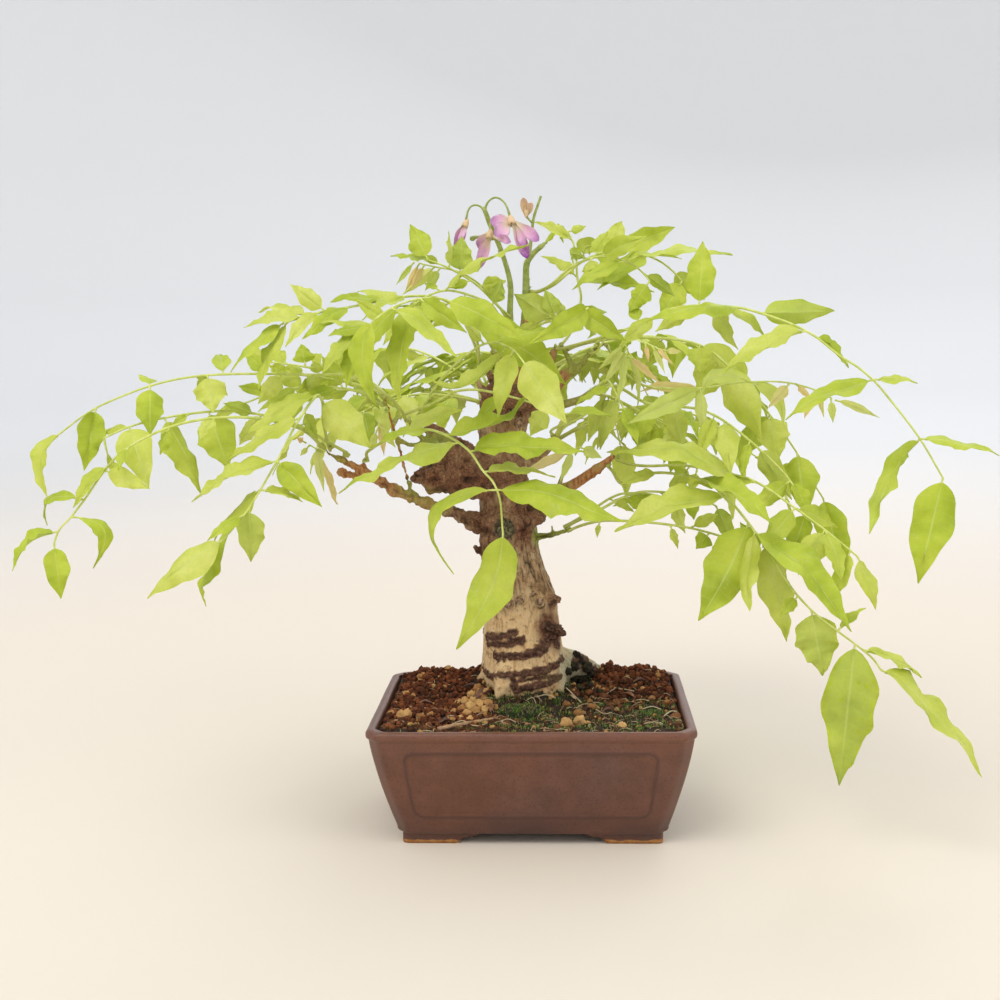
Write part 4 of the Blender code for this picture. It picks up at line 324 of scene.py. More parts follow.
def cut_or_join(target, others, way):
    """Joins other meshes to one, or cuts them from it, and removes them."""
    for other in others:
        step = target.modifiers.new(way, "BOOLEAN")
        step.operation = way
        step.solver = "MANIFOLD"
        step.object = other
    bpy.context.view_layer.update()
    mesh = bpy.data.meshes.new_from_object(target.evaluated_get(bpy.context.evaluated_depsgraph_get()))
    target.modifiers.clear()
    target.data = mesh
    for other in others:
        bpy.data.objects.remove(other)


def prism(name, plan, low, high, finish, inset=0.0):
    """An upright block over a plan of points, its foot drawn in by inset."""
    middle = np.mean(plan, axis=0)
    foot = [middle + (np.array(p) - middle) * (1 - inset / max(1e-6, np.linalg.norm(np.array(p) - middle)))
            for p in plan]
    n = len(plan)
    points = [(*p, low) for p in foot] + [(*p, high) for p in plan]
    faces = [(k, (k + 1) % n, n + (k + 1) % n, n + k) for k in range(n)]
    faces += [tuple(range(n))[::-1], tuple(range(n, 2 * n))]
    made = piece(name, np.array(points) + np.array(POT_MIDDLE), faces, [finish])
    form = bmesh.new()
    form.from_mesh(made.data)
    bmesh.ops.recalc_face_normals(form, faces=form.faces[:])
    form.to_mesh(made.data)
    form.free()
    return made


# The feet: a bracket at each corner, with an ogee where it runs out into the wall's lower edge.
FEET_LENGTH = 139.4
FEET_DEPTH = 93.0
OGEE = [(29.0, 0.0), (30.5, 0.5), (31.6, 1.6), (32.6, 2.6), (34.2, 3.3), (36.5, 3.6), (39.0, 3.9),
        (40.6, 4.6), (41.6, 5.5), (42.0, 6.6)]
feet = []
for i, (cx, cy) in enumerate(((1, 1), (-1, 1), (-1, -1), (1, -1))):
    outer_x, outer_y = FEET_LENGTH / 2, FEET_DEPTH / 2
    low = 0.0
    for k, (reach, rise) in enumerate(OGEE):
        high = OGEE[k + 1][1] if k + 1 < len(OGEE) else 8.0
        outline = [(-2.6, 0), (-reach, 0), (2.2 - reach, -9), (-9, -9), (-9, 2.2 - reach), (0, -reach),
                   (0, -2.6), (-0.8, -0.8)]
        plan = [((outer_x + x) * cx, (outer_y + y) * cy) for x, y in outline]
        feet.append(prism(f"foot_{i}_{k}", plan, rise, high + (0.01 if k + 1 < len(OGEE) else 0), glaze,
                          0.5 if k == 0 else 0))
cut_or_join(pot, feet, "UNION")
drains = []
for i, x in enumerate((-38, 38)):
    plan = [(x + 7 * math.cos(a), 7 * math.sin(a)) for a in np.linspace(0, 2 * math.pi, 40, endpoint=False)]
    drains.append(prism(f"drain_{i}", plan, FLOOR_LOW - 3, FLOOR_HIGH + 3, glaze))
cut_or_join(pot, drains, "DIFFERENCE")
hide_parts("pot")

# The drain nets: black plastic mesh, moulded in one piece. One lies loose over each hole in the
# pot's floor and keeps the soil in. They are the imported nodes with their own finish.
plastic, tree = new_material("black_moulded_net_plastic")
# Moulded plastic: near black, smooth and half matt, a little dusty.
at = add(tree, "TexCoord", out="Object")
tone = add(tree, "ValToRGB", add(tree, "TexNoise", at, Scale=500 / 3),
           stops=[(0.3, "#17181A"), (0.7, "#26282B")])
gloss = add(tree, "MapRange", add(tree, "TexNoise", at, Scale=500), 0.3, 0.7, 0.42, 0.6)
add(tree, "OutputMaterial", add(tree, "BsdfPrincipled", Base_Color=tone, Roughness=gloss, IOR=1.46))
for name in ("drain_net_left", "drain_net_right"):
    frame["nodes"][name].data.materials.clear()
    frame["nodes"][name].data.materials.append(plastic)

# The soil: fired akadama clay, crumbled and sieved to grains of about 3 mm, over finer dark soil. It
# is filled in by hand: heaped behind the trunk, raised along the rim and drawn up round the trunk's
# foot. Loose grains lie on that bed, redder at the back and darker and damp in front.
# Grains lie GRAIN_STEP mm apart in a row, and rows ROW_SHARE of that apart. HEAP_RISE is in mm too.
GRAIN_STEP = 2.3
ROW_SHARE = 0.87
HEAP_RISE = 8.0


def seen(point):
    """The pixel at which the camera sees a point."""
    way = Vector(point) - EYE
    reach = way.dot(FORWARD)
    return (FRAME_WIDTH / 2 + FOCAL * way.dot(RIGHTWARD) / reach,
            FRAME_WIDTH / 2 - FOCAL * way.dot(UPWARD) / reach)


def ease(value, low, high):
    """A share that goes smoothly from 0 at low to 1 at high."""
    share = max(0.0, min(1.0, (value - low) / (high - low)))
    return share * share * (3 - 2 * share)


def heaped(x, y):
    """How far the bed rises over the packed soil at a place: most behind the trunk, then at the rim."""
    x, y = x - POT_MIDDLE.x, y - POT_MIDDLE.y
    back = ease(y, 4, 38) * (1 - 0.6 * ease(y, 44, 57))
    left = 0.8 * ease(-x, 12, 32) * (1 - 0.7 * ease(-x, 60, 78))
    right = ease(x, 26, 48) * (1 - 0.75 * ease(x, 62, 79))
    lump = 1 + 0.35 * noise.noise(Vector((x / 12, y / 12, 5)))
    ends = 2.6 * ease(abs(x), 48, 74) + 1.6 * ease(abs(y), 36, 50)
    return HEAP_RISE * back * (left + right) * lump + ends + 0.9 * noise.noise(Vector((x / 9, y / 9, 2)))


soil_low, soil_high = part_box("soil")


def tree_of(mesh):
    """A search tree of a mesh's faces, in millimetres."""
    return BVHTree.FromPolygons([v.co * 1000 for v in mesh.vertices],
                                [tuple(p.vertices) for p in mesh.polygons])


wood_tree = tree_of(frame["nodes"]["wood"].data)
form = bmesh.new()
form.from_mesh(frame["nodes"]["soil"].data)
bmesh.ops.remove_doubles(form, verts=form.verts[:], dist=2e-6)
for _ in range(2):
    top = {edge for face in form.faces if face.normal.z > 0.5 and face.calc_center_median().z > 0.05
           for edge in face.edges}
    bmesh.ops.subdivide_edges(form, edges=list(top), cuts=1, use_grid_fill=True)
for v in form.verts:
    if v.co.z > 0.055:
        edge = min(v.co.x - soil_low.x, soil_high.x - v.co.x, v.co.y - soil_low.y, soil_high.y - v.co.y)
        v.co.z += heaped(v.co.x * 1000, v.co.y * 1000) / 1000 * min(1, 0.6 + edge * 1000 / 5)
        # The soil is drawn up unevenly round the foot of the trunk.
        near = wood_tree.find_nearest(v.co * 1000)[3]
        v.co.z += 0.0042 * math.exp(-(near / 6.5) ** 2) * (0.75 + 0.8 * noise.noise(v.co * 1000 / 6))
bmesh.ops.triangulate(form, faces=form.faces[:])
bed_mesh = bpy.data.meshes.new("soil_bed")
form.to_mesh(bed_mesh)
form.free()
bed_mesh.polygons.foreach_set("use_smooth", np.full(len(bed_mesh.polygons), True))
soil_tree = tree_of(bed_mesh)


def ground(x, y):
    """The soil's surface straight below a point, or None where the wood or the pot is in the way."""
    top = Vector((x, y, 120))
    hit = soil_tree.ray_cast(top, Vector((0, 0, -1)))[0]
    if hit is None or hit.z < 55 or wood_tree.ray_cast(hit + Vector((0, 0, 14)), Vector((0, 0, -1)), 15)[0]:
        return None
    return hit


def on_soil(px, py):
    """Where the camera sees a pixel on the soil."""
    return soil_tree.ray_cast(EYE, ray_of(px, py).normalized())[0]


def stone_shape(fineness, rough, seed, flat=1.0, size=1.2):
    """Points and faces of a crumbly pebble with a radius of about one."""
    form = bmesh.new()
    bmesh.ops.create_icosphere(form, subdivisions=fineness, radius=1)
    shift = Vector((seed * 3.7, seed * 1.9, seed * 0.6))
    for v in form.verts:
        facet = noise.cell(v.co * 1.1 + shift) * 0.1
        swell = noise.noise(v.co * size + shift)
        crumbs = noise.noise(v.co * 3.1 + shift)
        v.co *= 1 + rough * swell + rough * 0.5 * crumbs + facet
        v.co.z *= flat
    shape = np.array([v.co for v in form.verts]), [tuple(v.index for v in f.verts) for f in form.faces]
    form.free()
    return shape


def scatter(name, shapes, places, finishes):
    """One mesh of many small shapes. A place is (point, size, turn, number of the shape, marks)."""
    points, faces, marks = [], [], {}
    base = 0
    for at, size, turn, which, told in places:
        shape, sides = shapes[which]
        points.append(shape @ np.array(turn.transposed()) * size + np.array(at))
        faces += [tuple(i + base for i in side) for side in sides]
        for mark, value in told.items():
            marks.setdefault(mark, []).append(np.full(len(shape), value))
        base += len(shape)
    marks = {mark: np.concatenate(values) for mark, values in marks.items()}
    return piece(name, np.concatenate(points), faces, finishes, marks)


def any_turn(draw):
    """A random rotation."""
    axis = Vector((draw.gauss(0, 1), draw.gauss(0, 1), draw.gauss(0, 1))).normalized()
    return Matrix.Rotation(draw.uniform(0, 2 * math.pi), 3, axis)


def damp(x, y):
    """How dark and mossy the soil is at a place, from 0 to 1."""
    px, py = seen((x, y, 62))
    field = noise.noise(Vector((x / 13, y / 13, 3))) * 0.5
    middle = math.exp(-((px - 545) / 62) ** 2 - ((py - 712) / 24) ** 2)
    right = math.exp(-((px - 645) / 50) ** 2 - ((py - 718) / 17) ** 2)
    front = max(0.0, min(1.0, (py - 718) / 12)) * 0.5
    return max(0.0, min(1.0, middle * 1.1 + right + front + field * 0.8 - 0.1))


draw = random.Random(11)
grain_shapes = [stone_shape(1, 0.5, seed, 0.85) for seed in range(9)]
grains = []
rows = int((soil_high.y - soil_low.y) * 1000 / (GRAIN_STEP * ROW_SHARE))
for row in range(rows):
    y = soil_low.y * 1000 + row * GRAIN_STEP * ROW_SHARE
    x = soil_low.x * 1000 + (row % 2) * GRAIN_STEP / 2
    while x < soil_high.x * 1000:
        x += GRAIN_STEP
        at = ground(x + draw.uniform(-0.7, 0.7), y + draw.uniform(-0.7, 0.7))
        edge = min(soil_high.x * 1000 - x, x - soil_low.x * 1000, soil_high.y * 1000 - y,
                   y - soil_low.y * 1000)
        dark = damp(x, y)
        if at is None or edge < 0.2 or draw.random() < dark * 0.75 - 0.1:
            continue
        size = (0.95 + 1.5 * draw.random() ** 2.4) * (1 - 0.3 * dark)
        at.z += draw.uniform(-0.5, 1.1) * (1.2 if dark < 0.4 else 0.5)
        tan = 1.0 if draw.random() < 0.03 + 0.1 * dark else 0.0
        grains.append((at, size, any_turn(draw), draw.randrange(9),
                       {"tint": draw.random(), "dark": dark, "tan": tan}))

akadama, tree = new_material("fired_akadama_clay_grains")
# Each grain has its own shade of fired red clay, with a chalky, crumbly face; damp ones are near black.
tint = add(tree, "Attribute", attribute_name="tint", out="Fac")
red = add(tree, "ValToRGB", tint,
          stops=[(0, "#4E2A18"), (0.4, "#683820"), (0.8, "#7E4428"), (1, "#935432")])
brown = add(tree, "ValToRGB", tint, stops=[(0, "#35241A"), (0.6, "#523925"), (1, "#7A5B3A")])
tan = add(tree, "ValToRGB", tint, stops=[(0.0, "#A9743F"), (1.0, "#D2A468")])
at = add(tree, "TexCoord", out="Object")
crumb = add(tree, "TexNoise", at, Scale=500 / 0.6, Detail=5, Roughness=0.65)
skin = add(tree, "MixRGB", add(tree, "Attribute", attribute_name="dark", out="Fac"), red, brown)
skin = add(tree, "MixRGB", add(tree, "Attribute", attribute_name="tan", out="Fac"), skin, tan)
shade = add(tree, "ValToRGB", crumb, stops=[(0.32, "#6E6E6E"), (0.62, "#FFFFFF")])
skin = add(tree, "MixRGB", 0.55, skin, shade, blend_type="MULTIPLY")
relief = add(tree, "Bump", Height=crumb, Strength=0.5, Distance=0.0005)
shader = add(tree, "BsdfPrincipled", Base_Color=skin, Roughness=0.95, Specular_IOR_Level=0.25,
             Normal=relief)
add(tree, "OutputMaterial", shader)
top = scatter("akadama_grains", grain_shapes, grains, [akadama])

bed, tree = new_material("damp_fine_soil")
# Dust and fine crumbs between the grains: damp, dark brown and matt.
at = add(tree, "TexCoord", out="Object")
crumb = add(tree, "TexNoise", at, Scale=500 / 1.1, Detail=5, Roughness=0.7)
skin = add(tree, "ValToRGB", crumb, stops=[(0.3, "#17100B"), (0.55, "#37251A"), (0.75, "#553A28")])
relief = add(tree, "Bump", Height=crumb, Strength=0.9, Distance=0.001)
add(tree, "OutputMaterial", add(tree, "BsdfPrincipled", Base_Color=skin, Roughness=0.95, Normal=relief))
bed_mesh.materials.append(bed)
soil_bed = bpy.data.objects.new("soil_bed", bed_mesh)
bpy.context.scene.collection.objects.link(soil_bed)
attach(soil_bed, "root")
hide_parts("soil")

# The moss: living shoots about 1.5 mm tall that root in the soil. They stand close in two green
# cushions, and thin and dry between the grains and a few millimetres up the foot of the trunk.
# A cushion has up to CUSHION_SHOOTS to a square millimetre. The tries say how many places are asked.
CUSHION_SHOOTS = 5
THIN_TRIES = 42000
FOOT_TRIES = 60000
draw = random.Random(5)
shoot = np.array([(0.2, 0, 0), (-0.1, 0.17, 0), (-0.1, -0.17, 0), (0.13, 0.1, 0.55), (-0.14, 0.05, 0.55),
                  (0.02, -0.15, 0.55), (0, 0, 1.2)])
shoot_faces = [(0, 1, 4, 3), (1, 2, 5, 4), (2, 0, 3, 5), (3, 4, 6), (4, 5, 6), (5, 3, 6)]
tufts = []
cushions = {name: tree_of(frame["nodes"][name].data) for name in ("moss_front", "moss_right")}


def add_tuft(at, size, lean, lush):
    """One shoot of moss that leans a little."""
    turn = Matrix.Rotation(draw.gauss(0, lean), 3, "X") @ Matrix.Rotation(draw.uniform(0, 6.3), 3, "Z")
    tufts.append((at, size, turn, 0, {"tint": draw.random(), "lush": lush}))


for name, cushion in cushions.items():
    low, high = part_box(name)
    for _ in range(int((high.x - low.x) * (high.y - low.y) * 1e6 * CUSHION_SHOOTS)):
        x, y = draw.uniform(low.x, high.x) * 1000, draw.uniform(low.y, high.y) * 1000
        hit = cushion.ray_cast(Vector((x, y, 120)), Vector((0, 0, -1)))[0]
        if hit and noise.noise(Vector((x / 3.4, y / 3.4, 1))) > -0.25:
            lush = noise.noise(Vector((x / 5, y / 5, 8))) * 1.1 + 0.3
            add_tuft(hit - Vector((0, 0, 0.5)), draw.uniform(0.8, 1.6), 0.45, lush)
for _ in range(THIN_TRIES):
    x = draw.uniform(soil_low.x, soil_high.x) * 1000
    y = draw.uniform(soil_low.y, soil_high.y) * 1000
    patch = noise.noise(Vector((x / 5.5, y / 5.5, 6)))
    if draw.random() > (damp(x, y) * 1.3 - 0.25) * (0.45 + 1.3 * patch):
        continue
    at = ground(x, y)
    if at:
        size = draw.uniform(0.8, 1.7)
        add_tuft(at - Vector((0, 0, 0.2)), size, 0.5, 0.15 + 0.75 * patch + 0.3 * draw.random())
for _ in range(FOOT_TRIES):
    x = draw.uniform(-30, 62) + POT_MIDDLE.x
    y = draw.uniform(-52, 40) + POT_MIDDLE.y
    hit = soil_tree.ray_cast(Vector((x, y, 120)), Vector((0, 0, -1)))[0]
    if hit is None:
        continue
    skin, out_way, _, near = wood_tree.find_nearest(hit)
    if near > 4 or draw.random() > 0.5 * math.exp(-near / 2):
        continue
    if near < 1.2:
        hit = skin + out_way * 0.3 + Vector((0, 0, draw.uniform(0, 2.2)))
    add_tuft(hit, draw.uniform(0.7, 1.5), 0.6, draw.uniform(-0.1, 0.5))

moss, tree = new_material("living_cushion_moss")
# Fresh green where it grows close, olive brown with straw-coloured tips where it is thin and dry.
tint = add(tree, "Attribute", attribute_name="tint", out="Fac")
fresh = add(tree, "ValToRGB", tint, stops=[(0, "#1F3A0A"), (0.5, "#40681A"), (1, "#8CAA3C")])
dull = add(tree, "ValToRGB", tint,
           stops=[(0, "#14190A"), (0.45, "#2C3416"), (0.8, "#5A562C"), (1, "#B5A56C")])
lush = add(tree, "MapRange", add(tree, "Attribute", attribute_name="lush", out="Fac"), 0.2, 0.6)
skin = add(tree, "MixRGB", lush, dull, fresh)
grain = add(tree, "TexNoise", add(tree, "TexCoord", out="Object"), Scale=500, Detail=3)
gloss = add(tree, "MapRange", grain, 0.3, 0.7, 0.7, 0.9)
add(tree, "OutputMaterial", add(tree, "BsdfPrincipled", Base_Color=skin, Roughness=gloss))
cover = scatter("moss_tufts", [(shoot, shoot_faces)], tufts, [moss])

under, tree = new_material("old_moss_below")
# Last year's growth, dark and dull, that shows between the shoots of a cushion.
mottle = add(tree, "TexNoise", add(tree, "TexCoord", out="Object"), Scale=500 / 1.4, Detail=4)
skin = add(tree, "ValToRGB", mottle, stops=[(0.3, "#141B0A"), (0.7, "#2C3A14")])
add(tree, "OutputMaterial", add(tree, "BsdfPrincipled", Base_Color=skin, Roughness=0.95))
for name in cushions:
    frame["nodes"][name].data.materials.clear()
    frame["nodes"][name].data.materials.append(under)

# The black clods: rotted leaves and old moss in crumbly lumps of 3 to 6 mm. They lie two deep against
# the foot of the trunk on the right. Each is (pixel x, pixel y, radius).
LUMPS = [(574, 668, 3.0), (580, 662, 2.6), (586, 668, 3.2), (592, 673, 2.8), (577, 676, 3.2),
         (568, 672, 2.4), (584, 679, 3.0), (571, 682, 2.8), (596, 681, 2.6), (590, 688, 2.6),
         (603, 684, 2.2), (579, 690, 2.4), (566, 690, 2.2), (604, 676, 2.2), (610, 688, 2.0),
         (598, 693, 2.0), (574, 655, 2.0), (562, 698, 1.8)]
draw = random.Random(3)
lump_shapes = [stone_shape(3, 0.42, seed + 20, 0.88, 1.4) for seed in range(6)]
clods = []
for px, py, radius in LUMPS:
    at = wood_tree.ray_cast(EYE, ray_of(px, py).normalized())[0] or on_soil(px, py)
    if at is None:
        continue
    for k in range(2):
        spot = at + Vector((draw.gauss(0, 1), draw.gauss(0, 1), radius * (0.2 + 0.5 * k)))
        size = radius * (1 - 0.25 * k)
        clods.append((spot, size, any_turn(draw), draw.randrange(6), {"tint": draw.random()}))

humus, tree = new_material("mossy_black_clods")
# Rotted leaf and peat: near black and matt, with brown crumbs and a little green on its high spots.
at = add(tree, "TexCoord", out="Object")
crumb = add(tree, "TexNoise", at, Scale=500 / 1.2, Detail=5, Roughness=0.7)
skin = add(tree, "ValToRGB", crumb,
           stops=[(0.35, "#17110C"), (0.5, "#2C2118"), (0.62, "#4A3626"), (0.72, "#4C5424")])
relief = add(tree, "Bump", Height=crumb, Strength=0.8, Distance=0.001)
add(tree, "OutputMaterial", add(tree, "BsdfPrincipled", Base_Color=skin, Roughness=0.95, Normal=relief))
scatter("black_clods", lump_shapes, clods, [humus])

# The pumice: tan, crumbly stones of 2 to 8 mm that lie loose, a heap of them left of the moss, a few
# singles in front and small ones behind. Each is (pixel x, pixel y, radius, shade). The first 14 of
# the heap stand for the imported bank, and the first two singles for the two packed pebbles.
BANK = 14
SMALL_TRIES = 46
HEAP = [(466, 706, 2.7, 0.7), (475, 703, 2.9, 0.9), (484, 700, 2.7, 0.5), (472, 698, 2.6, 0.8),
        (481, 695, 2.6, 0.6), (462, 711, 2.5, 0.4), (471, 710, 2.8, 0.95), (480, 707, 2.9, 0.8),
        (488, 705, 2.5, 0.6), (467, 716, 2.4, 0.7), (476, 714, 2.7, 0.6), (485, 712, 2.6, 0.9),
        (478, 691, 2.4, 0.5), (486, 694, 2.3, 0.8), (458, 704, 2.0, 0.9), (454, 714, 1.8, 0.6),
        (460, 720, 1.9, 0.8), (470, 721, 2.0, 0.9), (452, 722, 1.6, 0.5), (446, 712, 1.5, 0.3)]
SINGLES = [(404, 718, 3.6, 0.75), (580, 725, 3.2, 0.9), (566, 726, 3.1, 0.8), (421, 720, 2.6, 0.3),
           (622, 728, 2.0, 1.0), (592, 709, 2.3, 0.35), (604, 699, 2.6, 0.05), (566, 707, 2.1, 0.25),
           (406, 695, 1.9, 0.7), (413, 697, 1.6, 0.5), (578, 716, 2.2, 0.4), (558, 729, 1.7, 0.1),
           (430, 716, 1.8, 0.5), (616, 705, 2.0, 0.15), (676, 718, 2.3, 0.2), (652, 700, 1.8, 0.5)]
home_of = {len(HEAP): "pebble_left", len(HEAP) + 1: "pebble_right"}
stones = {"pebble_bank": [], "pebble_left": [], "pebble_right": [], "loose_pebbles": []}
for i, (px, py, radius, shade) in enumerate(HEAP + SINGLES):
    at = on_soil(px, py)
    if at is None:
        continue
    at = ground(at.x, at.y) or at
    at = at + Vector((0, 0, radius * (0.35 + 0.35 * (i % 3 == 0))))
    home = "pebble_bank" if i < BANK else home_of.get(i, "loose_pebbles")
    stones[home].append((at, radius * 1.12, any_turn(draw), i % 6, {"tint": shade}))
for _ in range(SMALL_TRIES):
    at = ground(draw.uniform(soil_low.x, soil_high.x) * 1000, draw.uniform(soil_low.y, soil_high.y) * 1000)
    if at and at.y > POT_MIDDLE.y:
        size = draw.uniform(1.2, 2.6)
        stones["loose_pebbles"].append((at + Vector((0, 0, 0.6)), size, any_turn(draw),
                                        draw.randrange(6), {"tint": draw.random()}))

pumice, tree = new_material("weathered_tan_pumice")
# Weathered pumice: rust brown to tan from stone to stone, matt, and full of fine dark pores.
tone = add(tree, "Attribute", attribute_name="tint", out="Fac")
tone = add(tree, "ValToRGB", tone,
           stops=[(0, "#6B3B22"), (0.3, "#976838"), (0.6, "#C8945A"), (1, "#E4B878")])
at = add(tree, "TexCoord", out="Object")
pores = add(tree, "TexVoronoi", at, Scale=500 / 0.4545, out="Distance")
pores = add(tree, "MapRange", pores, 0.1, 0.5)
shade = add(tree, "ValToRGB", pores, stops=[(0.0, "#7A6248"), (0.5, "#FFFFFF")])
skin = add(tree, "MixRGB", 0.5, tone, shade, blend_type="MULTIPLY")
stain = add(tree, "TexNoise", at, Scale=500 / 2.5, Detail=4)
stain = add(tree, "ValToRGB", stain, stops=[(0.3, "#8A7660"), (0.7, "#FFFFFF")])
skin = add(tree, "MixRGB", 0.35, skin, stain, blend_type="MULTIPLY")
relief = add(tree, "Bump", Height=pores, Strength=0.4, Distance=0.0004)
add(tree, "OutputMaterial", add(tree, "BsdfPrincipled", Base_Color=skin, Roughness=0.92, Normal=relief))
for home, group in stones.items():
    heap = scatter(f"pumice_{home}", lump_shapes, group, [pumice])
    if home != "loose_pebbles":
        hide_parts(home)

# The fallen stick: a thin dead twig with one side knob, dropped from the tree. It lies loose on the
# soil in front of the roots.


def smooth_path(through, steps):
    """Points along a smooth curve through the given ones, steps to each stretch."""
    ends = [through[0] * 2 - through[1]] + list(through) + [through[-1] * 2 - through[-2]]
    path = []
    for a, b, c, d in zip(ends, ends[1:], ends[2:], ends[3:]):
        for k in range(steps):
            t = k / steps
            bend = (2 * a - 5 * b + 4 * c - d) * t ** 2 + (3 * b - a - 3 * c + d) * t ** 3
            path.append(b + ((c - a) * t + bend) * 0.5)
    return path + [through[-1].copy()]


def frames_along(path):
    """Direction, side and up at each point of a path, turning as little as they can."""
    frames = []
    up = Vector((0.1, 0.05, 1))
    for i in range(len(path)):
        way = (path[min(i + 1, len(path) - 1)] - path[max(i - 1, 0)]).normalized()
        flat = up - way * up.dot(way)
        up = flat.normalized() if flat.length > 1e-3 else way.orthogonal().normalized()
        frames.append((way, way.cross(up), up))
    return frames


def tube(path, radii, sides, base):
    """Points and faces of a closed round tube, its faces counted from base."""
    points, faces = [path[0]], []
    for at, radius, (_, side, up) in zip(path, radii, frames_along(path)):
        for k in range(sides):
            angle = 2 * math.pi * k / sides
            points.append(at + (side * math.cos(angle) + up * math.sin(angle)) * radius)
    points.append(path[-1])
    for k in range(sides):
        n = (k + 1) % sides
        faces.append((base, base + 1 + n, base + 1 + k))
        faces.append((base + len(points) - 1, base + len(points) - 1 - sides + k,
                      base + len(points) - 1 - sides + n))
        for r in range(len(path) - 1):
            low = base + 1 + r * sides
            faces.append((low + k, low + n, low + sides + n, low + sides + k))
    return points, faces


class Bundle:
    """Tubes and blades gathered into one mesh."""

    def __init__(self):
        self.points, self.faces, self.which, self.marks = [], [], [], {}

    def take(self, points, faces, finish=0, **marks):
        """Adds a shape whose faces count from the number of points so far."""
        self.points += [tuple(p) for p in points]
        self.faces += faces
        self.which += [finish] * len(faces)
        for mark, values in marks.items():
            row = self.marks.setdefault(mark, [])
            row += [0.0] * (len(self.points) - len(points) - len(row))
            row += list(values) if hasattr(values, "__len__") else [values] * len(points)

    def add_tube(self, path, radii, sides=7, finish=0, **marks):
        """Adds a closed round tube."""
        self.take(*tube(path, radii, sides, len(self.points)), finish, **marks)

    def made(self, name, finishes):
        """The mesh, as a piece of the tree."""
        for row in self.marks.values():
            row += [0.0] * (len(self.points) - len(row))
        return piece(name, self.points, self.faces, finishes, self.marks, self.which)


stick = Bundle()
path = [on_soil(px, py) + Vector((0, 0, lift)) for px, py, lift in
        ((438, 731, 1.0), (452, 728.4, 1.3), (470, 725, 1.2), (486, 722.5, 1.4), (498, 720, 1.0))]
path = smooth_path(path, 6)
radii = [1.25 - 0.45 * i / len(path) + 0.15 * math.sin(i * 1.9) for i in range(len(path))]
stick.add_tube(path, radii, 8, tint=0.62)
foot = path[-4]
side_knob = [foot, foot + Vector((1.5, 0.6, 1.2)), foot + Vector((2.2, 1.0, 2.4))]
stick.add_tube(side_knob, [0.7, 0.5, 0.25], 6, tint=0.5)

dead, tree = new_material("dry_twig_and_leaf")
# Dead twig, stalk and leaf: dark brown through rust to straw, matt, with a fine fibre.
tint = add(tree, "Attribute", attribute_name="tint", out="Fac")
tone = add(tree, "ValToRGB", tint,
           stops=[(0, "#4E352C"), (0.3, "#8E6656"), (0.65, "#B87A42"), (1, "#EADBB4")])
at = add(tree, "TexCoord", out="Object")
fibre = add(tree, "TexNoise", at, Scale=500 / 1.2, Detail=4, Roughness=0.6, Distortion=0.8)
shade = add(tree, "ValToRGB", fibre, stops=[(0.3, "#7F7368"), (0.65, "#FFFFFF")])
skin = add(tree, "MixRGB", 0.45, tone, shade, blend_type="MULTIPLY")
relief = add(tree, "Bump", Height=fibre, Strength=0.35, Distance=0.0004)
add(tree, "OutputMaterial", add(tree, "BsdfPrincipled", Base_Color=skin, Roughness=0.8, Normal=relief))
fallen = stick.made("fallen_stick", [dead])
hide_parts("fallen_twig")

# The soil litter: pale straws of old leaf stalks, chaff and a few curled dead leaflets. They fell from
# the tree and lie loose on the grains. Each straw runs through three or four pixels.
litter = Bundle()
LITTER_POINTS = 6000
STRAWS = [((524, 697), (531, 693), (537, 697), (541, 704)), ((536, 699), (546, 698), (556, 700)),
          ((527, 702), (533, 700), (536, 706)), ((606, 697), (616, 690), (622, 692)),
          ((612, 689), (622, 691), (634, 694)), ((576, 710), (584, 706), (592, 708)),
          ((596, 712), (604, 716), (612, 715)), ((642, 712), (652, 709), (661, 712)),
          ((566, 690), (574, 697), (581, 704)), ((390, 724), (397, 722), (404, 725)),
          ((394, 697), (397, 690), (399, 686)), ((452, 727), (462, 724), (470, 726)),
          ((644, 727), (654, 724), (662, 728)), ((664, 719), (671, 714), (677, 715)),
          ((500, 724), (508, 721), (516, 724)), ((632, 704), (641, 701), (649, 704)),
          ((420, 705), (428, 703), (434, 706)), ((470, 727), (478, 728), (487, 726))]
draw = random.Random(8)
for line in STRAWS:
    through = [on_soil(px, py) for px, py in line]
    through = [(at + Vector((0, 0, 1.1 + draw.uniform(-0.2, 0.8)))) for at in through if at]
    if len(through) > 1:
        path = smooth_path(through, 4)
        litter.add_tube(path, [0.34 - 0.14 * abs(i / len(path) - 0.4) for i in range(len(path))], 5,
                        tint=draw.uniform(0.7, 1.0))
while len(litter.points) < LITTER_POINTS:
    at = ground(draw.uniform(soil_low.x, soil_high.x) * 1000, draw.uniform(soil_low.y, soil_high.y) * 1000)
    if at is None or draw.random() > 0.25 + damp(at.x, at.y):
        continue
    way = Vector((draw.gauss(0, 1), draw.gauss(0, 1), 0)).normalized() * draw.uniform(1.2, 3.6)
    bow = Vector((0, 0, draw.uniform(0.2, 1.1)))
    path = [at - way + Vector((0, 0, 1.0)), at + bow + Vector((0, 0, 1.0)), at + way + Vector((0, 0, 1.0))]
    litter.add_tube(smooth_path(path, 3), [0.16] * 7, 4, tint=draw.uniform(0.55, 1.0))


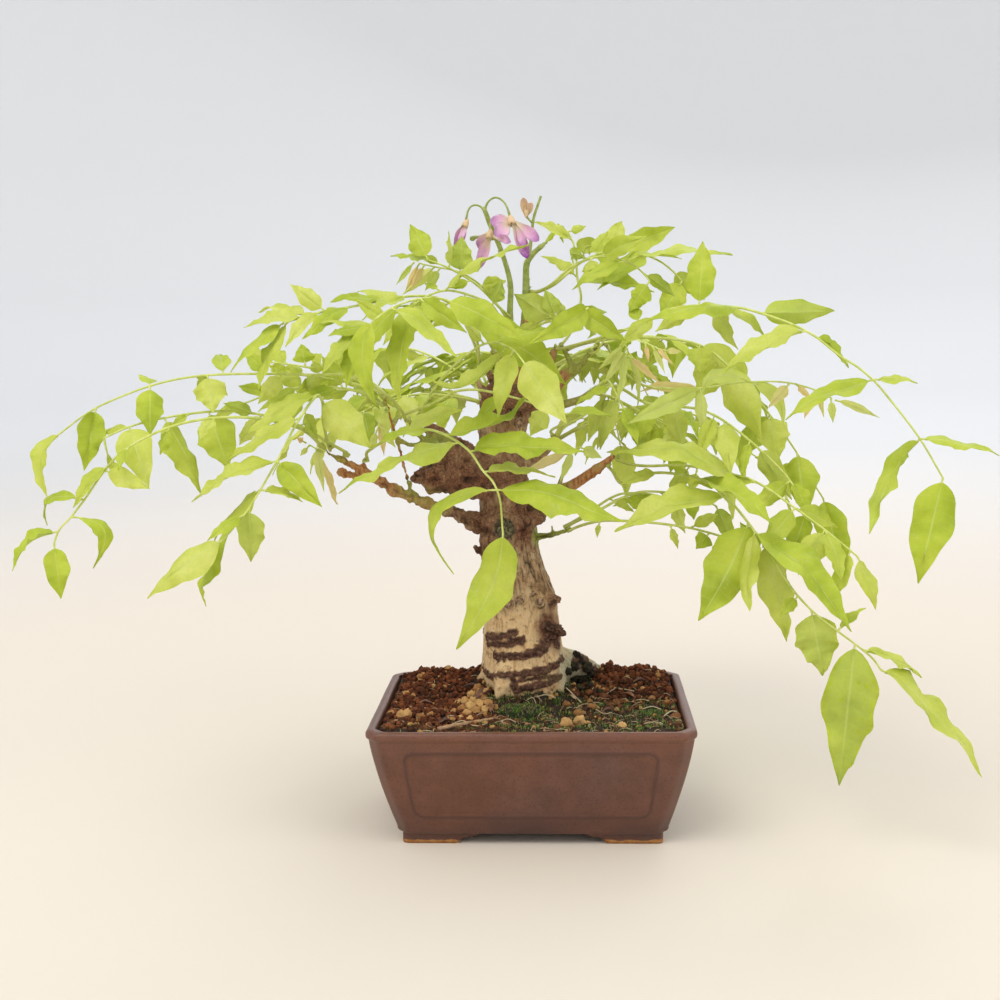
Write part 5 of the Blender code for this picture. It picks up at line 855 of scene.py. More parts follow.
def dry_leaf(bundle, px, py, length, width, turn, curl, tint):
    """A curled dead leaflet on the soil, 9 rows of 5 points on top and the same 0.3 mm below."""
    at = on_soil(px, py) + Vector((0, 0, 1.6))
    start = len(bundle.points)
    points, faces = [], []
    for i in range(9):
        f = i / 8
        half = width / 2 * math.sin(math.pi * min(1, f * 0.94 + 0.03)) ** 0.8
        for j in range(5):
            u = j / 2 - 1
            lift = curl * (abs(u) ** 1.6) * half + 0.9 * math.sin(f * 3.1) + 0.3 * math.sin(f * 9 + u * 3)
            flat = Vector(((f - 0.5) * length, u * half * (1 - 0.35 * curl), lift))
            points.append(Matrix.Rotation(turn, 3, "Z") @ flat + at)
    points += [p - Vector((0, 0, 0.3)) for p in points]
    for i in range(8):
        for j in range(4):
            a = start + i * 5 + j
            faces += [(a, a + 5, a + 6, a + 1), (a + 45, a + 46, a + 51, a + 50)]
        for a, b in ((start + i * 5, start + i * 5 + 5), (start + i * 5 + 9, start + i * 5 + 4)):
            faces.append((a, a + 45, b + 45, b))
    for j in range(4):
        a, b = start + j, start + 40 + j
        faces += [(a, a + 1, a + 46, a + 45), (b, b + 45, b + 46, b + 1)]
    bundle.take(points, faces, tint=tint)


# Each is (pixel x, pixel y, length, width, turn, curl, tint).
for leaf in ((485, 698, 15, 8, 0.9, 0.7, 0.25), (492, 711, 13, 4.5, 1.5, 0.8, 0.4),
             (472, 690, 11, 3, -0.3, 1, 0.12), (628, 698, 11, 3.5, -0.7, 0.5, 0.42),
             (446, 725, 9, 4, 0.5, 0.6, 0.1), (608, 714, 8, 3.5, 0.3, 0.6, 0.2),
             (640, 684, 9, 4, 0.4, 0.6, 0.15), (425, 706, 9, 3, 0.2, 0.6, 0.3),
             (572, 700, 9, 2.6, 2.1, 0.4, 0.75)):
    dry_leaf(litter, *leaf)
bits = litter.made("soil_litter", [dead])

# The wood: an old vine's trunk, roots and pruned branches, all one piece as it grew. Smooth tan wood
# shows low down between bands of dark corky bark, fibrous grey-brown above, with burred stubs on top.
VOXEL = 0.84
SMOOTHINGS = 7
# Where each kind of bark lies: (kind, strength, radius, points as (pixel x, pixel y, depth)).
BARK = [
    ("burl", 1.0, 14, [(498, 474, 26), (470, 470, 20), (450, 470, 16), (432, 480, 14), (420, 482, 12)]),
    ("burl", 0.9, 10, [(490, 400, 20), (505, 385, 22), (518, 372, 26)]),
    ("burl", 1.0, 10, [(515, 398, 18), (535, 402, 26), (545, 398, 29)]),
    ("burl", 0.9, 8, [(487, 462, 24), (462, 446, 18), (440, 432, 12), (425, 428, 9)]),
    ("burl", 0.9, 9, [(526, 516, 14), (540, 516, 20), (530, 530, 14)]),
    ("burl", 0.8, 9, [(486, 520, 15), (488, 540, 15), (484, 552, 22)]),
    ("burl", 0.7, 5, [(474, 454, 18), (447, 441, 12), (426, 432, 7)]),
    ("burl", 1.0, 8, [(554, 628, 12), (563, 634, 17)]),
    ("burl", 0.8, 5, [(556, 601, 16), (556, 603, 16)]),
    ("orange", 0.75, 6.5, [(425, 503, 6), (400, 493, 0), (380, 481, -4)]),
    ("orange", 1.0, 5.5, [(372, 475, -5), (352, 465, -9), (336, 457, -11)]),
    ("orange", 1.0, 5.0, [(376, 480, -4), (352, 475, -1), (337, 470, 1)]),
    ("orange", 1.0, 3.5, [(405, 471, 3), (399, 447, 2), (391, 420, 1), (385, 398, 0)]),
    ("orange", 0.9, 5.5, [(553, 496, 22), (578, 482, 18), (600, 467, 15), (615, 455, 13)]),
    ("orange", 0.9, 5.5, [(508, 382, 26), (518, 358, 25), (527, 338, 24), (528, 320, 24)]),
    ("orange", 0.9, 4.5, [(512, 380, 22), (505, 366, 17), (492, 351, 12)]),
    ("orange", 0.7, 5.0, [(556, 386, 30), (566, 374, 28), (580, 368, 25)]),
    ("orange", 0.6, 5.0, [(540, 376, 28), (551, 362, 26), (555, 348, 25)]),
    ("green", 1.0, 4.2, [(537, 537, 24), (552, 535, 18), (568, 530, 11)]),
    ("green", 1.0, 3.4, [(553, 535, 18), (552, 525, 17)]),
    ("green", 0.8, 3.6, [(414, 499, 4), (409, 485, 3.5)]),
    ("green", 0.9, 3.6, [(446, 440, 11), (428, 443, 6), (417, 433, 1), (409, 421, -3)]),
    ("green", 1.0, 4.2, [(428, 445, 5), (436, 444, 3), (442, 447, 3)]),
    ("green", 0.8, 3.4, [(422, 445, 4), (408, 445, 2), (398, 438, 0)]),
    ("green", 0.9, 3.2, [(574, 370, 26), (568, 357, 24), (563, 348, 23)]),
    ("green", 0.9, 3.2, [(578, 369, 25), (590, 352, 22), (605, 343, 21)]),
    ("green", 1.0, 5.0, [(514, 364, 28), (511, 335, 29), (510, 312, 29)]),
    ("green", 1.0, 5.0, [(522, 346, 30), (525, 315, 33), (526, 290, 34)]),
    ("green", 0.7, 3.5, [(540, 410, 30), (562, 405, 26), (582, 399, 22), (598, 386, 19)]),
    ("burl", 0.7, 6.5, [(490, 526, 25), (470, 519, 20), (452, 512, 14), (425, 503, 6)]),
    ("green", 0.45, 5.0, [(440, 505, 10), (420, 497, 6), (404, 490, 2)]),
    ("green", 0.6, 4.0, [(338, 459, -11), (327, 452, -11), (323, 445, -12)]),
    ("green", 0.6, 4.0, [(556, 495, 20), (561, 480, 13), (566, 462, 8)]),
    ("pale", 1.0, 13, [(572, 662, 40), (598, 674, 48), (614, 687, 53)]),
    ("pale", 0.9, 7, [(564, 664, 24), (566, 682, 22)]),
]
# The corky bands: (pixel x, pixel y, half width in mm) along each.
CORK = [
    [(478, 634, 1.5), (488, 636.5, 1.7), (500, 636, 1.6), (515, 633, 1.9)],
    [(478, 642, 1.3), (490, 644.5, 1.6), (506, 644, 1.7), (520, 640, 2.0)],
    [(495, 654, 2.0), (498, 657, 2.1), (512, 656.5, 1.7), (526, 655, 1.8), (538, 651, 2.6)],
    [(538, 651, 2.6), (547, 646, 3.2), (553, 638, 2.6), (560, 630, 2.4)],
    [(546, 626, 2.6), (556, 628, 3.2), (566, 630, 3.0), (562, 641, 3.4), (569, 647, 3.0)],
    [(484, 668, 1.6), (493, 677, 1.7), (504, 675, 1.5), (515, 673.5, 1.6), (528, 672.5, 1.7)],
    [(528, 672.5, 1.7), (542, 670, 1.8), (554, 664.5, 2.0), (561, 658, 1.9)],
    [(513, 679, 2.0), (517, 690, 2.1), (514, 684, 2.0)],
    [(520, 679.5, 1.2), (539, 677.5, 1.2), (554, 677, 1.4)],
    [(518, 690, 1.4), (534, 685.5, 1.5), (550, 682, 1.5), (560, 676, 1.6)],
    [(575, 662, 2.2), (584, 659, 2.8), (588, 668, 2.4)],
    [(596, 671, 2.6), (602, 679, 2.2)],
    [(553, 604, 1.2), (560, 598, 1.6)],
]
# Round scars of old leaf stalks: (pixel x, pixel y, radius in mm).
SCARS = [(509.6, 604, 2.3), (520, 600, 1.9), (539.7, 602, 2.1), (542.4, 607.5, 1.9), (520, 423, 2.6),
         (533, 594, 1.2), (550, 628.5, 2.7), (447, 494, 1.7)]


def away_from(points, line):
    """How far each point lies from a bent line."""
    best = np.full(len(points), 1e9)
    for a, b in zip(line, line[1:]):
        a, b = np.array(a), np.array(b)
        share = np.clip((points - a) @ (b - a) / max(1e-9, (b - a) @ (b - a)), 0, 1)
        best = np.minimum(best, np.linalg.norm(points - a - share[:, None] * (b - a), axis=1))
    return best


def remeshed(node, voxel, rounds):
    """Points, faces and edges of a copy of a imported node, remeshed evenly and smoothed, in millimetres."""
    stand = bpy.data.objects.new("even", frame["nodes"][node].data.copy())
    bpy.context.scene.collection.objects.link(stand)
    step = stand.modifiers.new("even", "REMESH")
    step.mode = "VOXEL"
    step.voxel_size = voxel / 1000
    bpy.context.view_layer.update()
    even = stand.evaluated_get(bpy.context.evaluated_depsgraph_get()).to_mesh()
    points = np.array([v.co for v in even.vertices]) * 1000
    faces = [tuple(p.vertices) for p in even.polygons]
    edges = np.array([tuple(e.vertices) for e in even.edges])
    bpy.data.objects.remove(stand)
    return smoothed(points, edges, rounds), faces, edges


def smoothed(values, edges, rounds, share=0.5):
    """Values at points, each drawn towards the mean of its neighbours."""
    values = values.astype(float)
    near = np.bincount(edges.ravel(), minlength=len(values)).astype(float)
    near = near.reshape((-1,) + (1,) * (values.ndim - 1))
    for _ in range(rounds):
        total = np.zeros_like(values)
        np.add.at(total, edges[:, 0], values[edges[:, 1]])
        np.add.at(total, edges[:, 1], values[edges[:, 0]])
        values += share * (total / near - values)
    return values


def outward(points, faces):
    """The surface's outward direction at each point."""
    corners = np.array([face[:4] for face in faces])
    cross = np.cross(points[corners[:, 2]] - points[corners[:, 0]],
                     points[corners[:, 3]] - points[corners[:, 1]])
    ways = np.zeros_like(points)
    for k in range(4):
        np.add.at(ways, corners[:, k], cross)
    return ways / np.maximum(np.linalg.norm(ways, axis=1), 1e-9)[:, None]


def rough_at(points, sizes, seed):
    """Smooth random numbers about -1 to 1 at each point, with features of those sizes along x, y and z."""
    shift = np.array((seed * 3.3, seed * 1.7, seed * 5.9))
    return np.array([noise.noise(p) for p in (points / np.array(sizes) + shift).tolist()])


def pixels_of(points):
    """The pixel at which the camera sees each point."""
    way = points - np.array(EYE)
    reach = way @ np.array(FORWARD)
    return np.stack([FRAME_WIDTH / 2 + FOCAL * (way @ np.array(RIGHTWARD)) / reach,
                     FRAME_WIDTH / 2 - FOCAL * (way @ np.array(UPWARD)) / reach], 1)


points, faces, edges = remeshed("wood", VOXEL, SMOOTHINGS)
kinds = {kind: np.zeros(len(points)) for kind in ("burl", "orange", "green", "pale")}
for kind, strength, radius, line in BARK:
    away = away_from(points, [place(*at) for at in line])
    kinds[kind] = np.maximum(kinds[kind], strength * np.clip(1.9 - away / radius * 1.1, 0, 1))
wobble = rough_at(points, (7, 7, 7), 4) * 0.5
for kind in ("orange", "green"):
    kinds["burl"] = kinds["burl"] * (1 - 0.9 * np.clip(kinds[kind] * 1.6, 0, 1))
kinds["burl"] = np.clip(kinds["burl"] + wobble * 0.5 * (kinds["burl"] > 0.05), 0, 1)
ways = outward(points, faces)
pixels = pixels_of(points)
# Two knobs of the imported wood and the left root's end are worn down before the bark goes on.
worn = np.clip((pixels[:, 1] - 668) / 14, 0, 1) * np.clip(1 - np.abs(pixels[:, 0] - 500) / 26, 0, 1)
for knob, reach in ((place(556, 602, 16), 4.5), (place(557, 631, 14), 8.5)):
    worn = np.maximum(worn, np.clip(2.2 - away_from(points, [knob, knob]) / reach, 0, 1))
points += (worn * (ways[:, 1] < 0.5))[:, None] * (smoothed(points, edges, 150) - points)
ways = outward(points, faces)
pixels = pixels_of(points)
# The trunk itself: how near a point lies to the trunk's skin, and its angle round the trunk.
core = np.array([place(523, 660, 28), place(521, 600, 28), place(508, 520, 28), place(502, 430, 28)])
height = points[:, 2]
axis_x = np.interp(height, core[::-1, 2][::-1], core[::-1, 0][::-1])
axis_y = np.interp(height, core[::-1, 2][::-1], core[::-1, 1][::-1])
round_x, round_y = points[:, 0] - axis_x, points[:, 1] - axis_y
girth = np.hypot(round_x, round_y)
angle = np.arctan2(round_y, round_x)
wound = np.stack([np.cos(angle) * 20, np.sin(angle) * 20, height], 1)
front = np.clip(-ways[:, 1] * 1.6 + 0.3, 0, 1)
low = np.clip((pixels[:, 1] - 585) / 40, 0, 1)

# Corky bands: those the camera sees, and like ones round the sides and the back.
cork, twin = np.zeros(len(points)), np.zeros(len(points))
ragged = 0.5 * rough_at(points, (4.5, 4.5, 4.5), 9) + 0.7 * rough_at(points, (2.2, 2.2, 2.2), 10)
for line in CORK:
    tree_line = [wood_tree.ray_cast(EYE, ray_of(px, py).normalized())[0] for px, py, _ in line]
    tree_line = [(at, half) for at, (_, _, half) in zip(tree_line, line) if at]
    for (a, half_a), (b, half_b) in zip(tree_line, tree_line[1:]):
        a, b = np.array(a), np.array(b)
        share = np.clip((points - a) @ (b - a) / max(1e-9, (b - a) @ (b - a)), 0, 1)
        away = points - a - share[:, None] * (b - a)
        away = np.linalg.norm(away - ways * np.sum(away * ways, 1)[:, None] * 0.7, axis=1)
        half = half_a + (half_b - half_a) * share
        away /= np.maximum(1.15 * half * (1 + ragged), 0.3)
        cork = np.maximum(cork, np.clip((1.2 - away) / 0.25, 0, 1))
        twin = np.maximum(twin, np.exp(-((away - 0.62) / 0.26) ** 2))
bands = rough_at(wound, (26, 26, 6.5), 6) + 0.35 * rough_at(wound, (7, 7, 4), 7)
behind = np.clip(bands * 5 - 0.7, 0, 1) * np.clip(0.4 - front, 0, 0.4) / 0.4 * low * (girth < 34)
cork = np.maximum(cork, behind)
cork *= (1 - np.clip(kinds["green"], 0, 1))

scar = np.zeros(len(points))
lip = np.zeros(len(points))
for px, py, radius in SCARS:
    at = wood_tree.ray_cast(EYE, ray_of(px, py).normalized())[0]
    away = np.linalg.norm(points - np.array(at), axis=1) / radius
    scar = np.maximum(scar, np.clip(1.6 - away * 1.6, 0, 1))
    lip = np.maximum(lip, np.exp(-((away - 0.95) / 0.3) ** 2))
# The big pruning scar in front: a rolled rim round grey, radially cracked wood.
cut_at = np.array(wood_tree.ray_cast(EYE, ray_of(505, 528).normalized())[0])
across = points - cut_at
cut_away = np.hypot(across[:, 0], across[:, 2] * 0.95) + np.abs(across[:, 1]) * 0.25
cut_angle = np.arctan2(across[:, 2], across[:, 0])
cut_face = np.clip(1.5 - cut_away / 5.0, 0, 1) * front
rim = np.exp(-((cut_away - 7.4 - 0.8 * np.sin(cut_angle * 3)) / 1.5) ** 2) * front
cracks = np.clip(np.cos(cut_angle * 9 + 2 * np.sin(cut_away)) * 1.5 - 0.3, 0, 1) * cut_face

# The relief, in millimetres along the surface's outward direction, layer by layer.
trunk = np.clip((31 - girth) / 6, 0, 1) * np.clip((190 - height) / 20, 0, 1)
fibre = rough_at(wound, (2.6, 2.6, 16), 1) + 0.5 * rough_at(wound, (1.3, 1.3, 8), 2)
crack = np.clip(1 - np.abs(rough_at(wound, (4.2, 4.2, 19), 3)) * 9, 0, 1) * (0.35 + 0.65 * (1 - low))
lumps = rough_at(points, (6, 6, 6), 5) + 0.6 * rough_at(points, (2.9, 2.9, 2.9), 8)
crevice = np.abs(rough_at(points, (4.6, 4.6, 4.6), 12))
flakes = np.clip(rough_at(points * (1, 1, 0.7), (3.2, 3.2, 3.2), 13) * 4 - 1.2, 0, 1)
thin = np.clip(1 - kinds["green"], 0.12, 1)
slim = 1 - 0.8 * np.clip(np.maximum(0.5 * kinds["orange"], kinds["green"]), 0, 1)
out = 0.26 * fibre * trunk * (0.4 + 0.6 * (1 - low)) - 0.5 * crack * trunk
out += 0.7 * rough_at(points, (13, 13, 17), 14) * trunk
grit = rough_at(points, (1.7, 1.7, 1.7), 19)
crevice = 1.1 * np.clip(0.12 - crevice, 0, 0.12) / 0.12
out += kinds["burl"] * (1.5 * lumps + 0.3 + 0.75 * grit - crevice) * slim
out += 0.45 * flakes * (1 - low) * trunk
crust = rough_at(points, (2.6, 2.6, 1.5), 15)
# The low left bough is thin, scaly and knotted, and the burred arm above it is all knobs.
bough = [(462, 515, 17), (430, 504, 7), (400, 493, 0), (360, 474, -6), (336, 460, -9)]
bough = np.clip(2 - away_from(points, [place(*at) for at in bough]) / 7, 0, 1)
arm = [(480, 470, 22), (455, 466, 17), (425, 482, 12)]
arm = np.clip(2 - away_from(points, [place(*at) for at in arm]) / 14, 0, 1)
arm *= np.clip((486 - pixels[:, 1]) / 14 + 0.35, 0.2, 1)
knobs = rough_at(points, (4.2, 4.2, 4.2), 21)
out += bough * (1.7 * knobs + 0.6 * grit - 0.75)
out += arm * (2.3 * rough_at(points, (6.5, 6.5, 6.5), 22) + 1.1 * knobs - 0.9)
out += cork * (0.45 + 1.1 * crust + 0.5 * grit) + 0.85 * twin * cork
out -= 0.9 * cork * np.clip(0.15 - np.abs(rough_at(points, (3, 3, 5), 11)), 0, 0.15) / 0.15
out += 1.1 * lip - 1.3 * scar * (1 - 0.6 * cork)
# The old hollow at the trunk's right, among corky bands.
hollow = place(557, 631, 14)
out -= 1.9 * np.clip(1.6 - away_from(points, [hollow, hollow]) / 9, 0, 1) * (1 + 0.8 * knobs)
out += 1.5 * rim - 1.3 * cut_face - 0.6 * cracks
out += kinds["pale"] * 0.35 * rough_at(points, (3, 3, 3), 16)
out += 0.16 * rough_at(points, (1.6, 1.6, 1.6), 17) * thin
node_at = rough_at(points, (4.5, 4.5, 4.5), 18)
out += (np.clip(node_at * 3 - 0.9, 0, 1) * 0.8 + 0.6 * flakes + 0.35 * grit) * kinds["orange"]
points = points + ways * np.clip(out, -3.2, 2.4)[:, None]
points = smoothed(points, edges, 1, 0.35)

bark, tree = new_material("wisteria_bark_and_old_wood")
# Old vine wood: matt, tan and smooth low on the trunk, grey-brown and fibrous above, dark red-brown
# and crumbly on burrs and corky bands, orange on last year's wood, and olive green on fresh shoots.
at = add(tree, "TexCoord", out="Object")
along_grain = add(tree, "Mapping", at, Scale=(1, 1, 0.33))
streak = add(tree, "TexNoise", along_grain, Scale=500 / 0.9615, Detail=6, Roughness=0.62)
broad = add(tree, "TexNoise", at, Scale=500 / 8.333, Detail=4, Roughness=0.6)
fine = add(tree, "TexNoise", at, Scale=500 / 0.5556, Detail=5, Roughness=0.65)
spots = add(tree, "TexNoise", at, Scale=500 / 1.6, Detail=5, Roughness=0.65)
spots = add(tree, "ValToRGB", spots, stops=[(0.36, "#5E4330"), (0.43, "#FFFFFF")])
tan = add(tree, "ValToRGB", broad,
          stops=[(0.3, "#C49A6C"), (0.46, "#E6C392"), (0.6, "#F2D6A8"), (0.72, "#D2AA7A")])
lines = add(tree, "ValToRGB", streak, stops=[(0.3, "#8A6A50"), (0.4, "#D4C0AA"), (0.5, "#FFFFFF")])
tan = add(tree, "MixRGB", 0.6, tan, lines, blend_type="MULTIPLY")
tan = add(tree, "MixRGB", 0.55, tan, spots, blend_type="MULTIPLY")
grey = add(tree, "ValToRGB", broad,
           stops=[(0.3, "#8E7152"), (0.45, "#BB9A74"), (0.58, "#B8A98C"), (0.7, "#D2B48C")])
lines = add(tree, "ValToRGB", streak, stops=[(0.34, "#55402F"), (0.48, "#D0BEAC"), (0.58, "#FFFFFF")])
grey = add(tree, "MixRGB", 0.75, grey, lines, blend_type="MULTIPLY")
grey = add(tree, "MixRGB", 0.6, grey, spots, blend_type="MULTIPLY")
burl = add(tree, "ValToRGB", fine, stops=[(0.3, "#40261A"), (0.48, "#77503A"), (0.66, "#AE8260")])
redder = add(tree, "ValToRGB", fine, stops=[(0.3, "#583020"), (0.7, "#8A4F34")])
burl = add(tree, "MixRGB", add(tree, "MapRange", broad, 0.4, 0.7, 0, 0.6), burl, redder)
pale = add(tree, "ValToRGB", broad, stops=[(0.35, "#B5A88A"), (0.5, "#D3C7A8"), (0.7, "#E4DABF")])
dust = add(tree, "ValToRGB", fine, stops=[(0.3, "#6F6655"), (0.55, "#FFFFFF")])
pale = add(tree, "MixRGB", 0.5, pale, dust, blend_type="MULTIPLY")
# What lies over the grey wood, from the lowest layer up: (mark, colour), or (mark, pattern, stops).
skin = grey
for mark, layer, *stops in (
        ("low", tan), ("burl", burl), ("pale", pale),
        ("orange", streak, (0.3, "#7A4A2C"), (0.46, "#B07244"), (0.6, "#CF9A66"), (0.72, "#A9A05C")),
        ("green", fine, (0.3, "#7B8236"), (0.5, "#979E45"), (0.7, "#B3BA62")),
        ("cork", fine, (0.3, "#36211A"), (0.5, "#61402F"), (0.66, "#8E6650")),
        ("scar", fine, (0.3, "#8F6A55"), (0.6, "#C9A58C")),
        ("cut", fine, (0.3, "#55523C"), (0.6, "#8E8A6A")),
        ("deep", "#2A1912"),
        ("moss", fine, (0.3, "#4E5426"), (0.7, "#8E9148"))):
    if stops:
        layer = add(tree, "ValToRGB", layer, stops=stops)
    skin = add(tree, "MixRGB", add(tree, "Attribute", attribute_name=mark, out="Fac"), skin, layer)
gloss = add(tree, "MapRange", fine, 0.3, 0.7, 0.72, 0.92)
rise = add(tree, "Math", streak, fine, operation="ADD")
relief = add(tree, "Bump", Height=rise, Strength=0.6, Distance=0.0009)
shader = add(tree, "BsdfPrincipled", Base_Color=skin, Roughness=gloss, IOR=1.45, Normal=relief)
add(tree, "OutputMaterial", shader)

foot = np.clip((pixels[:, 1] - 650) / 30, 0, 1) * np.clip((pixels[:, 0] - 540) / 25, 0, 1)
# Dark where light doesn't reach: cracks, pits between crumbs, and the rims of bands, cut and scars.
deep = np.clip(crack * trunk * (1 - low) * 0.9
               + kinds["burl"] * np.clip(-0.1 - 0.6 * lumps - 0.4 * grit, 0, 0.5) * 1.5
               + cork * np.clip(-crust * 1.6 - 0.1, 0, 0.6)
               + 1.6 * (arm + 0.6 * bough) * np.clip(-knobs - 0.12, 0, 0.5)
               + 0.45 * np.exp(-((cork - 0.3) / 0.22) ** 2) * (cork > 0.04) + cracks
               + np.clip(0.5 - np.abs(cut_away - 5.4) / 1.2, 0, 0.5) * front * 1.4
               + 1.4 * np.exp(-((lip - 0.55) / 0.25) ** 2) * (lip > 0.2), 0, 0.9)
wood = piece("vine_wood", points, faces, [bark], {
    "low": np.clip(low + 0.35 * wobble * 2, 0, 1), "burl": kinds["burl"],
    "orange": np.clip(kinds["orange"], 0, 1), "green": np.clip(kinds["green"], 0, 1),
    "pale": np.clip(kinds["pale"] * (1 + wobble), 0, 1), "cork": cork,
    "scar": np.clip(scar * 0.9, 0, 1), "cut": np.clip(cut_face * 1.3, 0, 1), "deep": deep,
    "moss": np.clip(foot * (wobble * 2.2 - 0.05), 0, 0.7)})
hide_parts("wood")

# The leaves: pinnate, on a slim grooved stalk that swells where it joins the wood, with pairs of soft
# thin leaflets and one at the end. Each blade has an arched midrib, a wavy margin and sunken veins.
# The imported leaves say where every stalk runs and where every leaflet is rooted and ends.
# A leaflet's outline is (share of its length, share of its half width). ACROSS and ALONG say where
# its points lie, as shares of the same two.
HALF_WIDTHS = [(0, 0.05), (0.02, 0.24), (0.05, 0.45), (0.1, 0.68), (0.17, 0.87), (0.26, 0.98),
               (0.36, 1.0), (0.48, 0.93), (0.6, 0.77), (0.7, 0.59), (0.79, 0.4), (0.87, 0.235),
               (0.93, 0.13), (0.97, 0.07), (1, 0.02)]
ACROSS = np.array([-1, -0.72, -0.42, -0.14, 0, 0.14, 0.42, 0.72, 1])
VEINS = 8
ALONG = np.concatenate([[0, 0.02, 0.05, 0.09], np.linspace(0.13, 0.85, 18), [0.9, 0.94, 0.97, 0.99]])
STALK_LENGTH = 2.4


def leaflets_in(form):
    """Each leaflet of a packed leaf, with its root, pull, tip, width, side and up, and its points."""
    near = {v: [e.other_vert(v) for e in v.link_edges] for v in form.verts}
    found, taken = [], set()
    for v in form.verts:
        ring = near[v]
        if len(ring) != 4 or sorted(len(near[a]) for a in ring) != [4, 4, 6, 6]:
            continue
        margins = [a for a in ring if len(near[a]) == 4]
        ribs = [a for a in ring if len(near[a]) == 6]
        if margins[0] in near[margins[1]]:
            continue
        rows, used = [(margins, ribs)], {v, *ring}
        while len(rows) < 3:
            onward = [[b for b in near[a] if b not in used] for a in rows[-1][0]]
            inner = {b for a in rows[-1][1] for b in near[a] if b not in used}
            if any(len(x) != 1 for x in onward) or onward[0][0] is onward[1][0]:
                break
            margins = [x[0] for x in onward]
            ribs = [b for b in inner if b not in margins]
            if len(ribs) != 2:
                break
            rows.append((margins, ribs))
            used |= {*margins, *ribs}
            widths = [(row[0][0].co - row[0][1].co).length for row in rows]
            if len(rows) == 2 and widths[0] / widths[1] > 0.67:
                break
        taken |= used
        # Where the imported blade's rows lie on the way from root to tip, and how wide it is there.
        stations, shares = (0.7, 0.34), (0.7, 0.95)
        if len(rows) == 3:
            stations, shares = (0.76, 0.46, 0.2), (0.6, 1, 0.78)
        tip = np.array(v.co) * 1000
        middles = [np.array(ribs[0].co + ribs[1].co) * 500 for _, ribs in rows]
        known = np.array([[(1 - f) ** 2, 2 * f * (1 - f)] for f in stations])
        rest = np.array([m - tip * f * f for m, f in zip(middles, stations)])
        root, pull = np.linalg.lstsq(known, rest, rcond=None)[0]
        width = np.mean([(m[0].co - m[1].co).length * 1000 / share for (m, _), share in zip(rows, shares)])
        sides = [(m[0].co - m[1].co).normalized() for m, _ in rows]
        side = sum((s if s.dot(sides[0]) > 0 else -s for s in sides), Vector()).normalized()
        up = side.cross(Vector(tip - root)).normalized()
        side = np.array(side) * (1 if up.z > 0 else -1)
        found.append({"root": root, "pull": pull, "tip": tip, "width": width, "side": side,
                      "up": np.array(up) * (1 if up.z > 0 else -1)})
    return found, taken


def stalk_in(form, taken, leaflets):
    """The points that a packed leaf's stalk runs through, from the wood on."""
    rest = [v for v in form.verts if v not in taken]
    spots = np.array([v.co for v in rest]) * 1000
    roots = [leaf["root"] for leaf in leaflets]
    start = min(range(len(rest)), key=lambda i: (wood_tree.find_nearest(Vector(spots[i]))[3]))
    number = {v: i for i, v in enumerate(rest)}
    away = np.full(len(rest), np.inf)
    away[start] = 0
    queue = [(0.0, start)]
    while queue:
        reach, i = heapq.heappop(queue)
        if reach > away[i]:
            continue
        for edge in rest[i].link_edges:
            k = number.get(edge.other_vert(rest[i]))
            onward = reach + edge.calc_length() * 1000
            if k is not None and onward < away[k]:
                away[k] = onward
                heapq.heappush(queue, (onward, k))
    groups = []
    for i in np.argsort(away):
        if not np.isfinite(away[i]):
            continue
        for group in groups:
            if min(np.linalg.norm(spots[i] - spots[k]) for k in group) < 2.3:
                group.append(i)
                break
        else:
            groups.append([i])
    groups.sort(key=lambda group: min(away[k] for k in group))
    path = []
    for group in groups:
        middle = spots[group].mean(0)
        nearest = min(roots, key=lambda root: np.linalg.norm(root - middle), default=None)
        if nearest is not None and np.linalg.norm(nearest - middle) < 2.2:
            middle = nearest
        if not path or np.linalg.norm(path[-1] - middle) > 1.2:
            path.append(middle)
    return [Vector(p) for p in path]


def curve_through(through, step):
    """Points about a step apart on a smooth curve through the given ones."""
    if len(through) == 2:
        return [through[0].lerp(through[1], k / 4) for k in range(5)]
    gaps = [(b - a).length for a, b in zip(through, through[1:])]
    slopes = [(b - a) / gap for a, b, gap in zip(through, through[1:], gaps)]
    leans = [slopes[0]]
    leans += [(slopes[i] * gaps[i + 1] + slopes[i + 1] * gaps[i]) / (gaps[i] + gaps[i + 1])
              for i in range(len(slopes) - 1)]
    leans.append(slopes[-1])
    path = []
    for a, b, m, n, gap in zip(through, through[1:], leans, leans[1:], gaps):
        count = max(1, round(gap / step))
        for k in range(count):
            t = k / count
            path.append(a * (2 * t ** 3 - 3 * t ** 2 + 1) + m * gap * (t ** 3 - 2 * t ** 2 + t)
                        + b * (3 * t ** 2 - 2 * t ** 3) + n * gap * (t ** 3 - t ** 2))
    return path + [through[-1].copy()]


